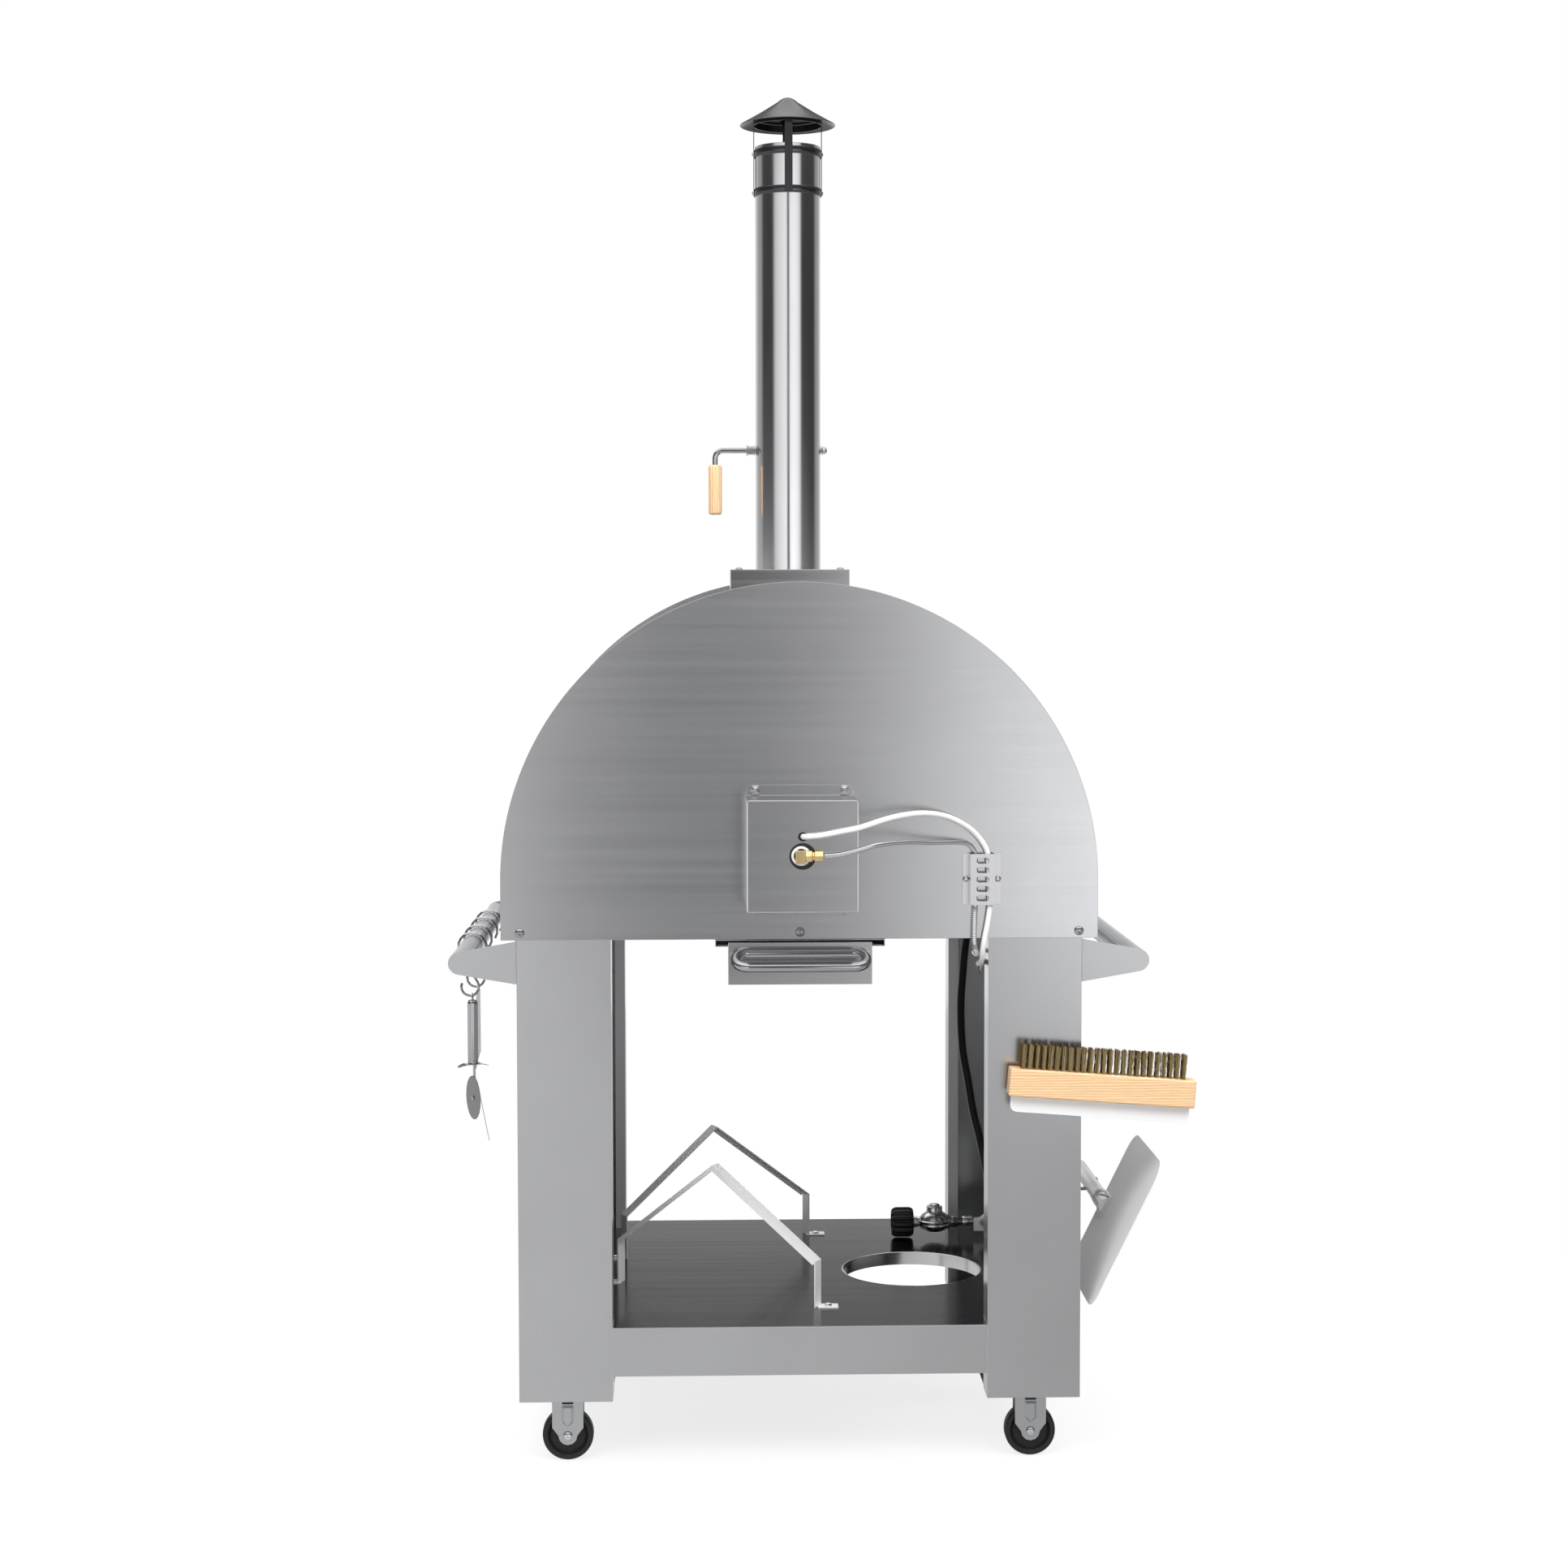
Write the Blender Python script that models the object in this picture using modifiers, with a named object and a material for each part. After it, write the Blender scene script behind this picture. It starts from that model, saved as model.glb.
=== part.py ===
"""Dual-fuel pizza oven on a wheeled steel cart, modelled piece by piece.

Metres, +Z up. The oven mouth faces -Y, the back with the burner cover faces +Y.
The pieces are laid out about the cart's own centre, and one root empty carries
them so that the origin is under the middle of the whole object.
"""

import random
from math import asin, atan2, ceil, cos, pi, radians, sin, sqrt, tan

import bmesh
import bpy
from mathutils import Matrix, Vector

# Clearances and cuts shared by every piece
fit_gap = 0.0003
weld_bite = 0.0004
weld_distance = 0.000001
cut_overrun = 0.010

# Cart: two folded side frames
cart_depth = 0.690
cart_half_width = 0.4095
leg_face_width = 0.136
leg_return_depth = 0.055
leg_lip_width = 0.0165
frame_sheet = 0.0015
leg_foot_height = 0.097
cart_top_height = 0.774
foot_plate_thickness = 0.003
foot_plate_rise = 0.001

# Casters
wheel_radius = 0.0375
wheel_width = 0.025
wheel_web_width = 0.012
wheel_rim_depth = 0.009
wheel_hub_radius = 0.011
axle_radius = 0.003
axle_clearance = 0.00025
rivet_head_radius = 0.0062
rivet_head_height = 0.0035
caster_centre_x = 0.341
caster_inset = 0.047
fork_width = 0.046
fork_sheet = 0.0022
fork_side_gap = 0.0008
fork_end_radius = 0.014
fork_taper_rise = 0.012
caster_plate_width = 0.062
caster_plate_depth = 0.046
caster_plate_thickness = 0.0025
swivel_trail = 0.022
raceway_radius = 0.021
raceway_height = 0.008
fork_crown_clearance = 0.003

# Lower shelf
shelf_height = 0.206
shelf_skirt_depth = 0.072
shelf_sheet = 0.0015
shelf_side_flange = 0.030
tank_hole_radius = 0.110
tank_hole_x = -0.1885
tank_hole_inset = 0.338
tank_rim_depth = 0.020

# Wood racks
rack_strip_width = 0.021
rack_sheet = 0.0015
rack_lip_depth = 0.007
rack_right_x = -0.0305
rack_left_x = 0.270
rack_right_inset = 0.110
rack_left_inset = 0.268
rack_corner_rise = 0.070
rack_apex_rise = 0.200
rack_apex_x = 0.1235
rack_tab_length = 0.030
rack_tab_width = 0.022

# Side rails
rail_radius = 0.016
rail_x = 0.4915
rail_height = 0.7405
bracket_thickness = 0.003
bracket_root_height = 0.062
bracket_tip_radius = 0.0165
bracket_flange_depth = 0.026
bracket_flange_thickness = 0.002

# Oven body
body_overhang = 0.008
vault_radius = 0.4315
vault_centre_rise = 0.084
skin_sheet = 0.0012
panel_sheet = 0.0015
pan_floor_sheet = 0.002
pan_rim_height = 0.020
panel_screw_inset = 0.0275
panel_screw_rise = 0.0105
screw_head_radius = 0.0055
screw_head_height = 0.0032
head_top_share = 0.62

# Fascia and mouth
fascia_overhang = 0.0145
fascia_sheet = 0.003
mouth_half_width = 0.260
mouth_sill_rise = 0.060
mouth_side_height = 0.120
mouth_crown_height = 0.105
mouth_steps = 10

# Chamber
chamber_wall = 0.0715
chamber_sheet = 0.0015
floor_insulation = 0.025
rear_insulation = 0.058
stone_thickness = 0.030
stone_side_gap = 0.0006
ash_gap = 0.050
ash_slot_half_width = 0.075
ash_slot_margin = 0.006
insulation_side_gap = 0.0015

# Burner and its cover
burner_rise = 0.1297
burner_tube_radius = 0.0145
burner_tube_inset = 0.006
burner_socket_radius = 0.0115
burner_socket_depth = 0.010
burner_head_radius = 0.019
burner_head_half_length = 0.220
burner_head_offset = 0.085
burner_hole_radius = 0.0175
cover_half_width = 0.0785
cover_depth = 0.110
cover_top_rise = 0.0785
cover_bottom_drop = 0.0795
cover_sheet = 0.0012
cover_flange_height = 0.0155
cover_flange_corner = 0.007
cover_hole_radius = 0.018
cover_cable_hole_radius = 0.006
cover_cable_hole_rise = 0.0275
cover_screw_x = 0.064
cover_screw_inset = 0.0075

# Gas elbow
elbow_spigot_radius = 0.006
elbow_block_width = 0.019
elbow_block_depth = 0.017
elbow_block_shift = 0.0065
elbow_nut_radius = 0.0088
elbow_nut_length = 0.0265
elbow_nut_rise = 0.0015
elbow_stand_off = 0.0035

# Cable guard on the rear panel
guard_centre_x = -0.2626
guard_half_width = 0.028
guard_raised_half_width = 0.018
guard_depth = 0.0155
guard_sheet = 0.0012
guard_bottom = 0.824
guard_height = 0.074
guard_slot_length = 0.0195
guard_slot_height = 0.0082
guard_slot_pitch = 0.0136
guard_slot_count = 5
guard_screw_radius = 0.004

# Igniter cable and gas line
cable_radius = 0.004
line_radius = 0.0033
line_rib_radius = 0.0041
line_rib_root_radius = 0.0032
line_rib_pitch = 0.003
line_rib_count = 24
line_bore_radius = 0.0018
cord_step = line_rib_pitch / 2
cord_longest = 0.090
cord_bend_degrees = 17
line_rib_knot = 13
hose_spacing = 0.030

# Routes of the cords, end to end
hose_route = (
    (-0.312, -0.3029, 0.728),
    (-0.312, -0.295, 0.728),
    (-0.309, -0.275, 0.724),
    (-0.296, -0.22, 0.7),
    (-0.288, -0.19, 0.649),
    (-0.282, -0.16, 0.6),
    (-0.281, -0.12, 0.539),
    (-0.287, -0.09, 0.491),
    (-0.293, -0.06, 0.443),
    (-0.3, -0.035, 0.409),
    (-0.306, -0.01, 0.374),
    (-0.314, -0.005, 0.335),
    (-0.33, -0.025, 0.29),
    (-0.349, -0.053, 0.248),
    (-0.369, -0.085, 0.22),
    (-0.39, -0.12, 0.2142),
    (-0.396, -0.155, 0.2142),
    (-0.3825, -0.187, 0.218),
    (-0.36, -0.203, 0.226),
    (-0.34, -0.208, 0.231),
    (-0.32, -0.208, 0.2316),
    (-0.298, -0.208, 0.2316),
    (-0.2903, -0.208, 0.2316),
)
cable_route = (
    (0, 0.451, 0.9315),
    (-0.0005, 0.46, 0.9315),
    (-0.005, 0.4678, 0.9318),
    (-0.027, 0.471, 0.934),
    (-0.053, 0.471, 0.939),
    (-0.079, 0.4685, 0.944),
    (-0.116, 0.449, 0.954),
    (-0.146, 0.43, 0.959),
    (-0.177, 0.411, 0.96),
    (-0.208, 0.394, 0.954),
    (-0.236, 0.378, 0.94),
    (-0.255, 0.367, 0.924),
    (-0.268, 0.3615, 0.905),
    (-0.2715, 0.3608, 0.888),
    (-0.273, 0.3608, 0.85),
    (-0.2735, 0.361, 0.822),
    (-0.271, 0.361, 0.801),
    (-0.266, 0.361, 0.774),
    (-0.264, 0.357, 0.757),
    (-0.264, 0.347, 0.744),
    (-0.264, 0.325, 0.735),
    (-0.264, 0.3, 0.731),
    (-0.271, 0.27, 0.73),
    (-0.3, 0.225, 0.732),
    (-0.35, 0.145, 0.735),
    (-0.372, 0.055, 0.735),
    (-0.375, -0.055, 0.735),
    (-0.375, -0.145, 0.733),
    (-0.37, -0.2, 0.718),
    (-0.358, -0.245, 0.688),
    (-0.347, -0.277, 0.656),
    (-0.342, -0.293, 0.6425),
    (-0.3415, -0.301, 0.64),
    (-0.3415, -0.307, 0.64),
)
line_route = (
    (-0.03, 0.475, 0.9055),
    (-0.037, 0.475, 0.9055),
    (-0.057, 0.4745, 0.908),
    (-0.085, 0.472, 0.915),
    (-0.106, 0.464, 0.92),
    (-0.145, 0.435, 0.921),
    (-0.186, 0.405, 0.9175),
    (-0.222, 0.38, 0.916),
    (-0.24, 0.3675, 0.913),
    (-0.2505, 0.3625, 0.903),
    (-0.253, 0.361, 0.888),
    (-0.253, 0.361, 0.86),
    (-0.2525, 0.361, 0.822),
    (-0.2515, 0.361, 0.801),
    (-0.251, 0.361, 0.774),
    (-0.252, 0.3595, 0.762),
    (-0.255, 0.354, 0.754),
    (-0.257, 0.345, 0.75),
    (-0.258, 0.33, 0.748),
    (-0.258, 0.3, 0.746),
    (-0.262, 0.27, 0.745),
    (-0.285, 0.225, 0.745),
    (-0.33, 0.145, 0.744),
    (-0.352, 0.045, 0.743),
    (-0.352, -0.105, 0.741),
    (-0.35, -0.215, 0.738),
    (-0.3455, -0.275, 0.735),
    (-0.345, -0.295, 0.735),
    (-0.345, -0.3029, 0.735),
)

# Flue, damper and rain cap
flue_centre_y = -0.188
collar_half_width = 0.0955
collar_sheet = 0.0015
collar_rise = 0.0261
collar_screw_inset = 0.014
collar_drop = 0.012
flue_radius = 0.053
flue_wall = 0.0012
flue_bottom_drop = 0.023
flue_rise = 0.7105
damper_rise = 0.2215
damper_rod_radius = 0.0045
damper_hole_clearance = 0.0004
damper_reach = 0.119
damper_bend_radius = 0.013
damper_rod_drop = 0.050
damper_plate_radius = 0.0495
damper_plate_thickness = 0.0015
damper_washer_radius = 0.009
damper_washer_thickness = 0.0016
damper_washer_gap = 0.0130
damper_end_reach = 0.0635
damper_nut_radius = 0.0068
damper_nut_thickness = 0.005
damper_end_thread = 0.0025
grip_radius = 0.011
grip_length = 0.081
grip_top_drop = 0.0235
grip_end_share = 0.75
spring_wire_radius = 0.0006
spring_coil_radius = 0.0066
spring_turns = 4
curl_points = 8
cap_radius = 0.0775
cap_gap = 0.035
cap_height = 0.0467
cap_sheet = 0.0014
cap_nose_radius = 0.012
nose_share = 0.55
band_height = 0.012
band_thickness = 0.0014
band_top_drop = 0.011
band_low_drop = 0.0733
strap_width = 0.0127
strap_thickness = 0.0012
strap_bite = 0.0008

# Ash drawer
drawer_half_width = 0.096
drawer_face_half_width = 0.104
drawer_face_top = 0.7700
drawer_face_bottom = 0.7090
drawer_face_sheet = 0.0015
drawer_sheet = 0.0012
drawer_length = 0.380
drawer_rim_width = 0.0235
drawer_bottom_rise = 0.0035
drawer_face_stand_off = 0.0025
runner_stop_gap = 0.002
runner_half_width = 0.1225
runner_lip_width = 0.020
runner_height = 0.010
runner_sheet = 0.0012
runner_length = 0.420
pull_radius = 0.0074
pull_half_width = 0.102
pull_reach = 0.048
pull_drop = 0.0155
pull_back_rise = 0.0140
pull_corner_radius = 0.0195

# Door and thermometer
door_margin = 0.018
door_thickness = 0.004
door_handle_radius = 0.009
door_handle_half_width = 0.110
door_handle_reach = 0.050
door_handle_rise = 0.085
door_handle_corner_radius = 0.022
door_plug_gap = 0.002
door_plug_depth = 0.012
door_plug_sheet = 0.0015
gauge_radius = 0.034
gauge_depth = 0.013
gauge_rise = 0.160
gauge_stem_radius = 0.004
gauge_stem_length = 0.045
gauge_edge_share = 0.88

# Gas controls on the front of one leg
control_half_width = 0.054
control_bottom = 0.605
control_top = 0.752
control_depth = 0.012
control_sheet = 0.0015
knob_height = 0.712
knob_radius = 0.022
knob_length = 0.024
knob_skirt_radius = 0.026
knob_skirt_length = 0.005
knob_gap = 0.0010
knob_cap = 0.008
knob_flutes = 12
knob_flute_depth = 0.0016
stem_radius = 0.004
stem_hole_radius = 0.0155
valve_boss_radius = 0.0150
igniter_height = 0.640
button_radius = 0.008
button_length = 0.020
button_proud = 0.006
button_travel = 0.004
igniter_boss_radius = 0.0115
igniter_boss_length = 0.050
igniter_hole_radius = 0.0125
valve_half_width = 0.040
valve_bottom = 0.700
valve_top = 0.745
valve_depth = 0.030
valve_port_length = 0.010
hose_port_radius = 0.0085
line_port_radius = 0.0060
hose_port_x = -0.312
hose_port_height = 0.728
line_port_x = -0.345
line_port_height = 0.735

# Regulator and hose on the shelf
hose_radius = 0.0065
regulator_inset = 0.553
regulator_axis_rise = 0.0256
handwheel_radius = 0.0253
handwheel_groove = 0.0022
handwheel_length = 0.036
handwheel_left_x = -0.1715
handwheel_bore_radius = 0.0075
handwheel_flutes = 12
handwheel_land_share = 0.62
handwheel_stem_inset = 0.004
regulator_stem_radius = 0.0071
regulator_body_radius = 0.0285
regulator_body_height = 0.0304
regulator_body_x = -0.243
regulator_shares = (
    (0, 1.0),
    (0.30, 1.0),
    (0.44, 0.92),
    (0.46, 0.56),
    (0.72, 0.43),
    (0.93, 0.16),
    (1.0, 0.09),
    (1.0, -0.09),
    (0.93, -0.16),
    (0.60, -0.44),
    (0, -0.53),
)
regulator_neck_radius = 0.009
regulator_outlet_radius = 0.0072
regulator_outlet_end_x = -0.290

# Hooks on the left rail and the tools they carry
hook_wire_radius = 0.0021
hook_upper_radius = 0.0215
hook_lower_radius = 0.0135
hook_height = 0.1010
hook_upper_x = 0.4922
hook_lower_x = 0.4960
tool_x = 0.4925
hang_gap = 0.0007
hook_upper_steps = 11
hook_lower_steps = 10
hook_lower_rise = 0.45
hook_insets = (0.220, 0.320, 0.430, 0.530)
hook_upper_tail = 0.013
cutter_ring_radius = 0.0056
cutter_ring_wire_radius = 0.0011
cutter_handle_radius = 0.0080
cutter_handle_length = 0.099
cutter_guard_half_length = 0.024
cutter_guard_half_width = 0.011
cutter_guard_sheet = 0.0012
cutter_guard_droop = 0.004
cutter_neck_width = 0.010
cutter_neck_thickness = 0.0016
cutter_wheel_radius = 0.0335
cutter_wheel_thickness = 0.0010
cutter_wheel_drop = 0.052
cutter_pin_radius = 0.0020
cutter_pin_head = 0.0012
cutter_pin_head_radius = 0.0040
cutter_bevel = 0.0030
cutter_edge_share = 0.4
cutter_turn_degrees = 66
server_handle_width = 0.018
server_handle_thickness = 0.0055
server_handle_length = 0.098
server_blade_length = 0.118
server_blade_half_width = 0.023
server_blade_thickness = 0.0012
server_neck_drop = 0.026
server_neck_radius = 0.0026
server_blade_offset = 0.007
server_blade_shares = ((-0.2, 0), (-1.0, 0.25), (-0.9, 0.45), (0, 1.0), (0.9, 0.45), (1.0, 0.25), (0.2, 0))
server_lean_degrees = 11
server_twist_degrees = 7

# Brush
brush_centre_x = -0.4345
brush_centre_height = 0.5600
brush_length = 0.270
brush_block_height = 0.0405
brush_block_depth = 0.030
brush_stand_off = 0.014
brush_lean_degrees = 4.24
brush_handle_radius = 0.0115
brush_handle_length = 0.430
brush_socket = 0.012
brush_edge = 0.0012
bristle_length = 0.036
bristle_columns = 50
bristle_rows = 6
bristle_field_length = 0.243
bristle_field_depth = 0.022
bristle_slice = 0.0015
bristle_splay_share = 0.26
bristle_short_share = 0.94
strand_half = 0.00075
scraper_length = 0.260
scraper_height = 0.024
scraper_tuck = 0.008
scraper_thickness = 0.0015
scraper_corner = 0.010

# Peel
peel_axis_x = -0.4765
peel_axis_height = 0.3360
peel_blade_width = 0.236
peel_blade_length = 0.250
peel_blade_overhang = 0.010
peel_blade_thickness = 0.0014
peel_blade_corner = 0.030
peel_lean_degrees = 63.8
peel_socket_length = 0.085
peel_socket_overlap = 0.045
peel_socket_radius = 0.0125
peel_handle_radius = 0.0105
peel_handle_length = 0.440
peel_socket_depth = 0.030
peel_tongue_half_width = 0.016
peel_tongue_half_thickness = 0.0020
peel_tongue_length = 0.058
peel_rivets = ((-0.010, 0.007), (0.010, 0.007), (0, 0.018))
peel_rivet_radius = 0.0025
peel_rivet_height = 0.0010

# Hanger for the brush and the peel
hanger_sheet = 0.002
hanger_strip_width = 0.016
hanger_tip_rise = 0.016
hanger_bar_height = 0.018
hanger_bar_rise = 0.018
hanger_bar_sheet = 0.0024
hanger_bar_inset = 0.110
hanger_bar_length = 0.520
brush_hook_insets = (0.120, 0.330)
peel_hook_insets = (0.375, 0.610)

# Facets of round shapes
arch_steps = 24
hole_steps = 36
round_steps = 20
wheel_steps = 16
small_steps = 12
screw_steps = 8
corner_steps = 3

# Places worked out from the sizes above
rear_y = cart_depth / 2
front_y = -cart_depth / 2
leg_inner_x = cart_half_width - leg_face_width
leg_centre_x = cart_half_width - leg_face_width / 2
body_foot = cart_top_height + fit_gap
vault_centre_height = cart_top_height + vault_centre_rise
vault_crown = vault_centre_height + vault_radius
fascia_radius = vault_radius + fascia_overhang
panel_screw_x = vault_radius - panel_screw_inset
chamber_radius = vault_radius - chamber_wall
burner_height = body_foot + burner_rise
collar_top_height = vault_crown + collar_rise
flue_bottom_height = vault_centre_height + chamber_radius - flue_bottom_drop
flue_top_height = vault_crown + flue_rise
damper_height = vault_crown + damper_rise
cap_rim_height = flue_top_height + cap_gap
cap_apex_height = cap_rim_height + cap_height
band_top_height = flue_top_height - band_top_drop
band_low_height = flue_top_height - band_low_drop
panel_rear_y = rear_y + body_overhang
panel_front_y = panel_rear_y - panel_sheet
pan_rear_y = panel_front_y - fit_gap
pan_front_y = front_y + fit_gap
pan_half_width = vault_radius - skin_sheet - fit_gap
pan_floor_top = body_foot + pan_floor_sheet
insulation_foot = pan_floor_top + fit_gap
insulation_radius = pan_half_width - skin_sheet - insulation_side_gap
insulation_rear_y = pan_rear_y - skin_sheet - fit_gap
insulation_front_y = pan_front_y + skin_sheet + fit_gap
chamber_floor = insulation_foot + floor_insulation
chamber_rear_y = insulation_rear_y - rear_insulation
stone_foot = chamber_floor + fit_gap
stone_top = stone_foot + stone_thickness
stone_rear_y = chamber_rear_y - ash_gap
mouth_sill = body_foot + mouth_sill_rise
mouth_spring = mouth_sill + mouth_side_height
cover_rear_y = panel_rear_y + cover_depth
cover_top = burner_height + cover_top_rise
cover_bottom = burner_height - cover_bottom_drop
burner_end_y = cover_rear_y - burner_tube_inset
elbow_front_y = cover_rear_y + elbow_stand_off
elbow_centre_y = elbow_front_y + elbow_block_depth / 2
fascia_front_y = front_y - fascia_sheet
foot_plate_bottom = leg_foot_height + foot_plate_rise
rear_caster_y = rear_y - caster_inset
front_caster_y = front_y + caster_inset
hook_top = rail_height + rail_radius + hang_gap + hook_wire_radius
hook_low = hook_top - hook_height + 2 * hook_wire_radius
tool_shift = hook_lower_x - tool_x
tool_hang_height = hook_low + hook_lower_radius - sqrt(hook_lower_radius**2 - tool_shift**2)
brush_front_y = rear_y + brush_stand_off
brush_rear_y = brush_front_y + brush_block_depth
door_front_y = fascia_front_y - fit_gap - door_thickness - fit_gap - door_handle_reach - door_handle_radius
regulator_y = rear_y - regulator_inset
regulator_axis_height = shelf_height + regulator_axis_rise

# The root carries the pieces so that the origin is under the middle of the object
brush_lean = radians(brush_lean_degrees)
brush_reach = (
    -brush_centre_x
    + cos(brush_lean) * brush_length / 2
    + sin(brush_lean) * brush_block_height / 2
)
turn_share = radians(cutter_turn_degrees)
cutter_reach = tool_x + cutter_guard_half_length * sin(turn_share) + cutter_guard_half_width * cos(turn_share)
rear_reach = elbow_front_y + elbow_block_depth
root_x = (brush_reach - cutter_reach) / 2
root_y = -(rear_reach + door_front_y) / 2


def clear_scene():
    """Start from an empty scene."""
    for ob in list(bpy.data.objects):
        bpy.data.objects.remove(ob, do_unlink=True)


def new_collection(name):
    group = bpy.data.collections.new(name)
    bpy.context.scene.collection.children.link(group)
    return group


clear_scene()
PARTS = new_collection("dual_fuel_pizza_oven")
GUIDES = new_collection("joint_guides")
ROOT = bpy.data.objects.new("oven_root", None)
ROOT.location = (root_x, root_y, 0)
GUIDES.objects.link(ROOT)


def material(name, colour, metallic, roughness):
    """A Principled material of one plain colour."""
    finish = bpy.data.materials.new(name)
    finish.use_nodes = True
    shader = finish.node_tree.nodes["Principled BSDF"]
    shader.inputs["Base Color"].default_value = (*colour, 1)
    shader.inputs["Metallic"].default_value = metallic
    shader.inputs["Roughness"].default_value = roughness
    return finish


STEEL = (0.62, 0.63, 0.64)
DARK_STEEL = (0.30, 0.31, 0.32)
ZINC = (0.66, 0.67, 0.67)
BLACK = (0.02, 0.02, 0.02)
WOOD = (0.72, 0.45, 0.22)
BRASS = (0.70, 0.47, 0.16)
STONE = (0.62, 0.52, 0.40)
FIBRE = (0.86, 0.85, 0.82)
WHITE = (0.85, 0.85, 0.83)


def evaluated(ob):
    """The object's mesh as the viewport evaluates it."""
    bpy.context.view_layer.update()
    graph = bpy.context.evaluated_depsgraph_get()
    return bpy.data.meshes.new_from_object(ob.evaluated_get(graph))


def weld(mesh):
    """Join touching points and turn every face outwards."""
    shape = bmesh.new()
    shape.from_mesh(mesh)
    bmesh.ops.remove_doubles(shape, verts=shape.verts, dist=weld_distance)
    bmesh.ops.dissolve_degenerate(shape, edges=shape.edges, dist=weld_distance / 10)
    bmesh.ops.recalc_face_normals(shape, faces=shape.faces)
    if shape.calc_volume(signed=True) < 0:
        bmesh.ops.reverse_faces(shape, faces=shape.faces)
    shape.to_mesh(mesh)
    shape.free()
    return mesh


def linked(name, data):
    ob = bpy.data.objects.new(name, data)
    bpy.context.scene.collection.objects.link(ob)
    return ob


def from_curve(curve, turn=None):
    """A closed mesh object from a curve, with its caps welded."""
    guide = linked("guide", curve)
    mesh = weld(evaluated(guide))
    bpy.data.objects.remove(guide, do_unlink=True)
    if turn is not None:
        mesh.transform(turn)
    return linked("solid", mesh)


def combine(base, tools, operation):
    """Join or cut solids with an exact Boolean and keep the result as the base's mesh."""
    for tool in tools:
        step = base.modifiers.new(operation.lower(), "BOOLEAN")
        step.operation = operation
        step.solver = "EXACT"
        step.object = tool
        mesh = evaluated(base)
        base.modifiers.clear()
        base.data = weld(mesh)
        bpy.data.objects.remove(tool, do_unlink=True)
    return base


def join(base, *tools):
    return combine(base, tools, "UNION")


def cut(base, *tools):
    return combine(base, tools, "DIFFERENCE")


def box(low, high):
    """A box between two corners."""
    shape = bmesh.new()
    bmesh.ops.create_cube(shape, size=1)
    size = [b - a for a, b in zip(low, high)]
    middle = [(a + b) / 2 for a, b in zip(low, high)]
    bmesh.ops.scale(shape, vec=size, verts=shape.verts)
    bmesh.ops.translate(shape, vec=middle, verts=shape.verts)
    mesh = bpy.data.meshes.new("box")
    shape.to_mesh(mesh)
    shape.free()
    return linked("solid", mesh)


def rod(start, end, radius, sides=small_steps, end_radius=None):
    """A round bar between two points, or a cone with an end radius."""
    start, end = Vector(start), Vector(end)
    along = end - start
    shape = bmesh.new()
    bmesh.ops.create_cone(
        shape,
        cap_ends=True,
        segments=sides,
        radius1=radius,
        radius2=radius if end_radius is None else end_radius,
        depth=along.length,
    )
    turn = along.to_track_quat("Z", "Y").to_matrix().to_4x4()
    move = Matrix.Translation((start + end) / 2)
    bmesh.ops.transform(shape, matrix=move @ turn, verts=shape.verts)
    mesh = bpy.data.meshes.new("rod")
    shape.to_mesh(mesh)
    shape.free()
    return linked("solid", mesh)


PLANES = {
    "X": Matrix(((0, 0, 1, 0), (1, 0, 0, 0), (0, 1, 0, 0), (0, 0, 0, 1))),
    "Y": Matrix(((1, 0, 0, 0), (0, 0, -1, 0), (0, 1, 0, 0), (0, 0, 0, 1))),
    "Z": Matrix.Identity(4),
}


def plate(outline, axis, low, high, holes=()):
    """A flat outline, with any holes, made thick along one axis between two places."""
    curve = bpy.data.curves.new("plate", "CURVE")
    curve.dimensions = "2D"
    curve.fill_mode = "BOTH"
    curve.extrude = (high - low) / 2
    for loop in (outline, *holes):
        spline = curve.splines.new("POLY")
        spline.points.add(len(loop) - 1)
        for point, place in zip(spline.points, loop):
            point.co = (place[0], place[1], 0, 1)
        spline.use_cyclic_u = True
    middle = [0, 0, 0]
    middle["XYZ".index(axis)] = (low + high) / 2
    return from_curve(curve, Matrix.Translation(middle) @ PLANES[axis])


def tube(points, radius, resolution=2, closed=False, radii=None):
    """A round tube or wire along a path, with filled ends."""
    curve = bpy.data.curves.new("tube", "CURVE")
    curve.dimensions = "3D"
    curve.bevel_depth = radius
    curve.bevel_resolution = resolution
    curve.use_fill_caps = True
    spline = curve.splines.new("POLY")
    spline.points.add(len(points) - 1)
    for index, (point, place) in enumerate(zip(spline.points, points)):
        point.co = (*place, 1)
        if radii is not None:
            point.radius = radii[index] / radius
    spline.use_cyclic_u = closed
    return from_curve(curve)


def turned(profile, at, axis, steps=round_steps):
    """A profile of (radius, height) turned about an axis. It runs down its outer side."""
    mesh = bpy.data.meshes.new("profile")
    edges = [(i, i + 1) for i in range(len(profile) - 1)]
    if profile[0][0] > 0:
        edges.append((len(profile) - 1, 0))
    mesh.from_pydata([(r, 0, h) for r, h in profile], edges, [])
    ob = linked("solid", mesh)
    screw = ob.modifiers.new("turn", "SCREW")
    screw.steps = steps
    screw.render_steps = steps
    screw.use_merge_vertices = True
    screw.merge_threshold = weld_distance
    solid = weld(evaluated(ob))
    ob.modifiers.clear()
    turn = Vector(axis).to_track_quat("Z", "Y").to_matrix().to_4x4()
    solid.transform(Matrix.Translation(at) @ turn)
    ob.data = solid
    return ob


def arc(centre, radius, start, end, steps):
    """Points round part of a circle, both ends included."""
    turns = [start + (end - start) * i / steps for i in range(steps + 1)]
    return [(centre[0] + radius * cos(a), centre[1] + radius * sin(a)) for a in turns]


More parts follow.
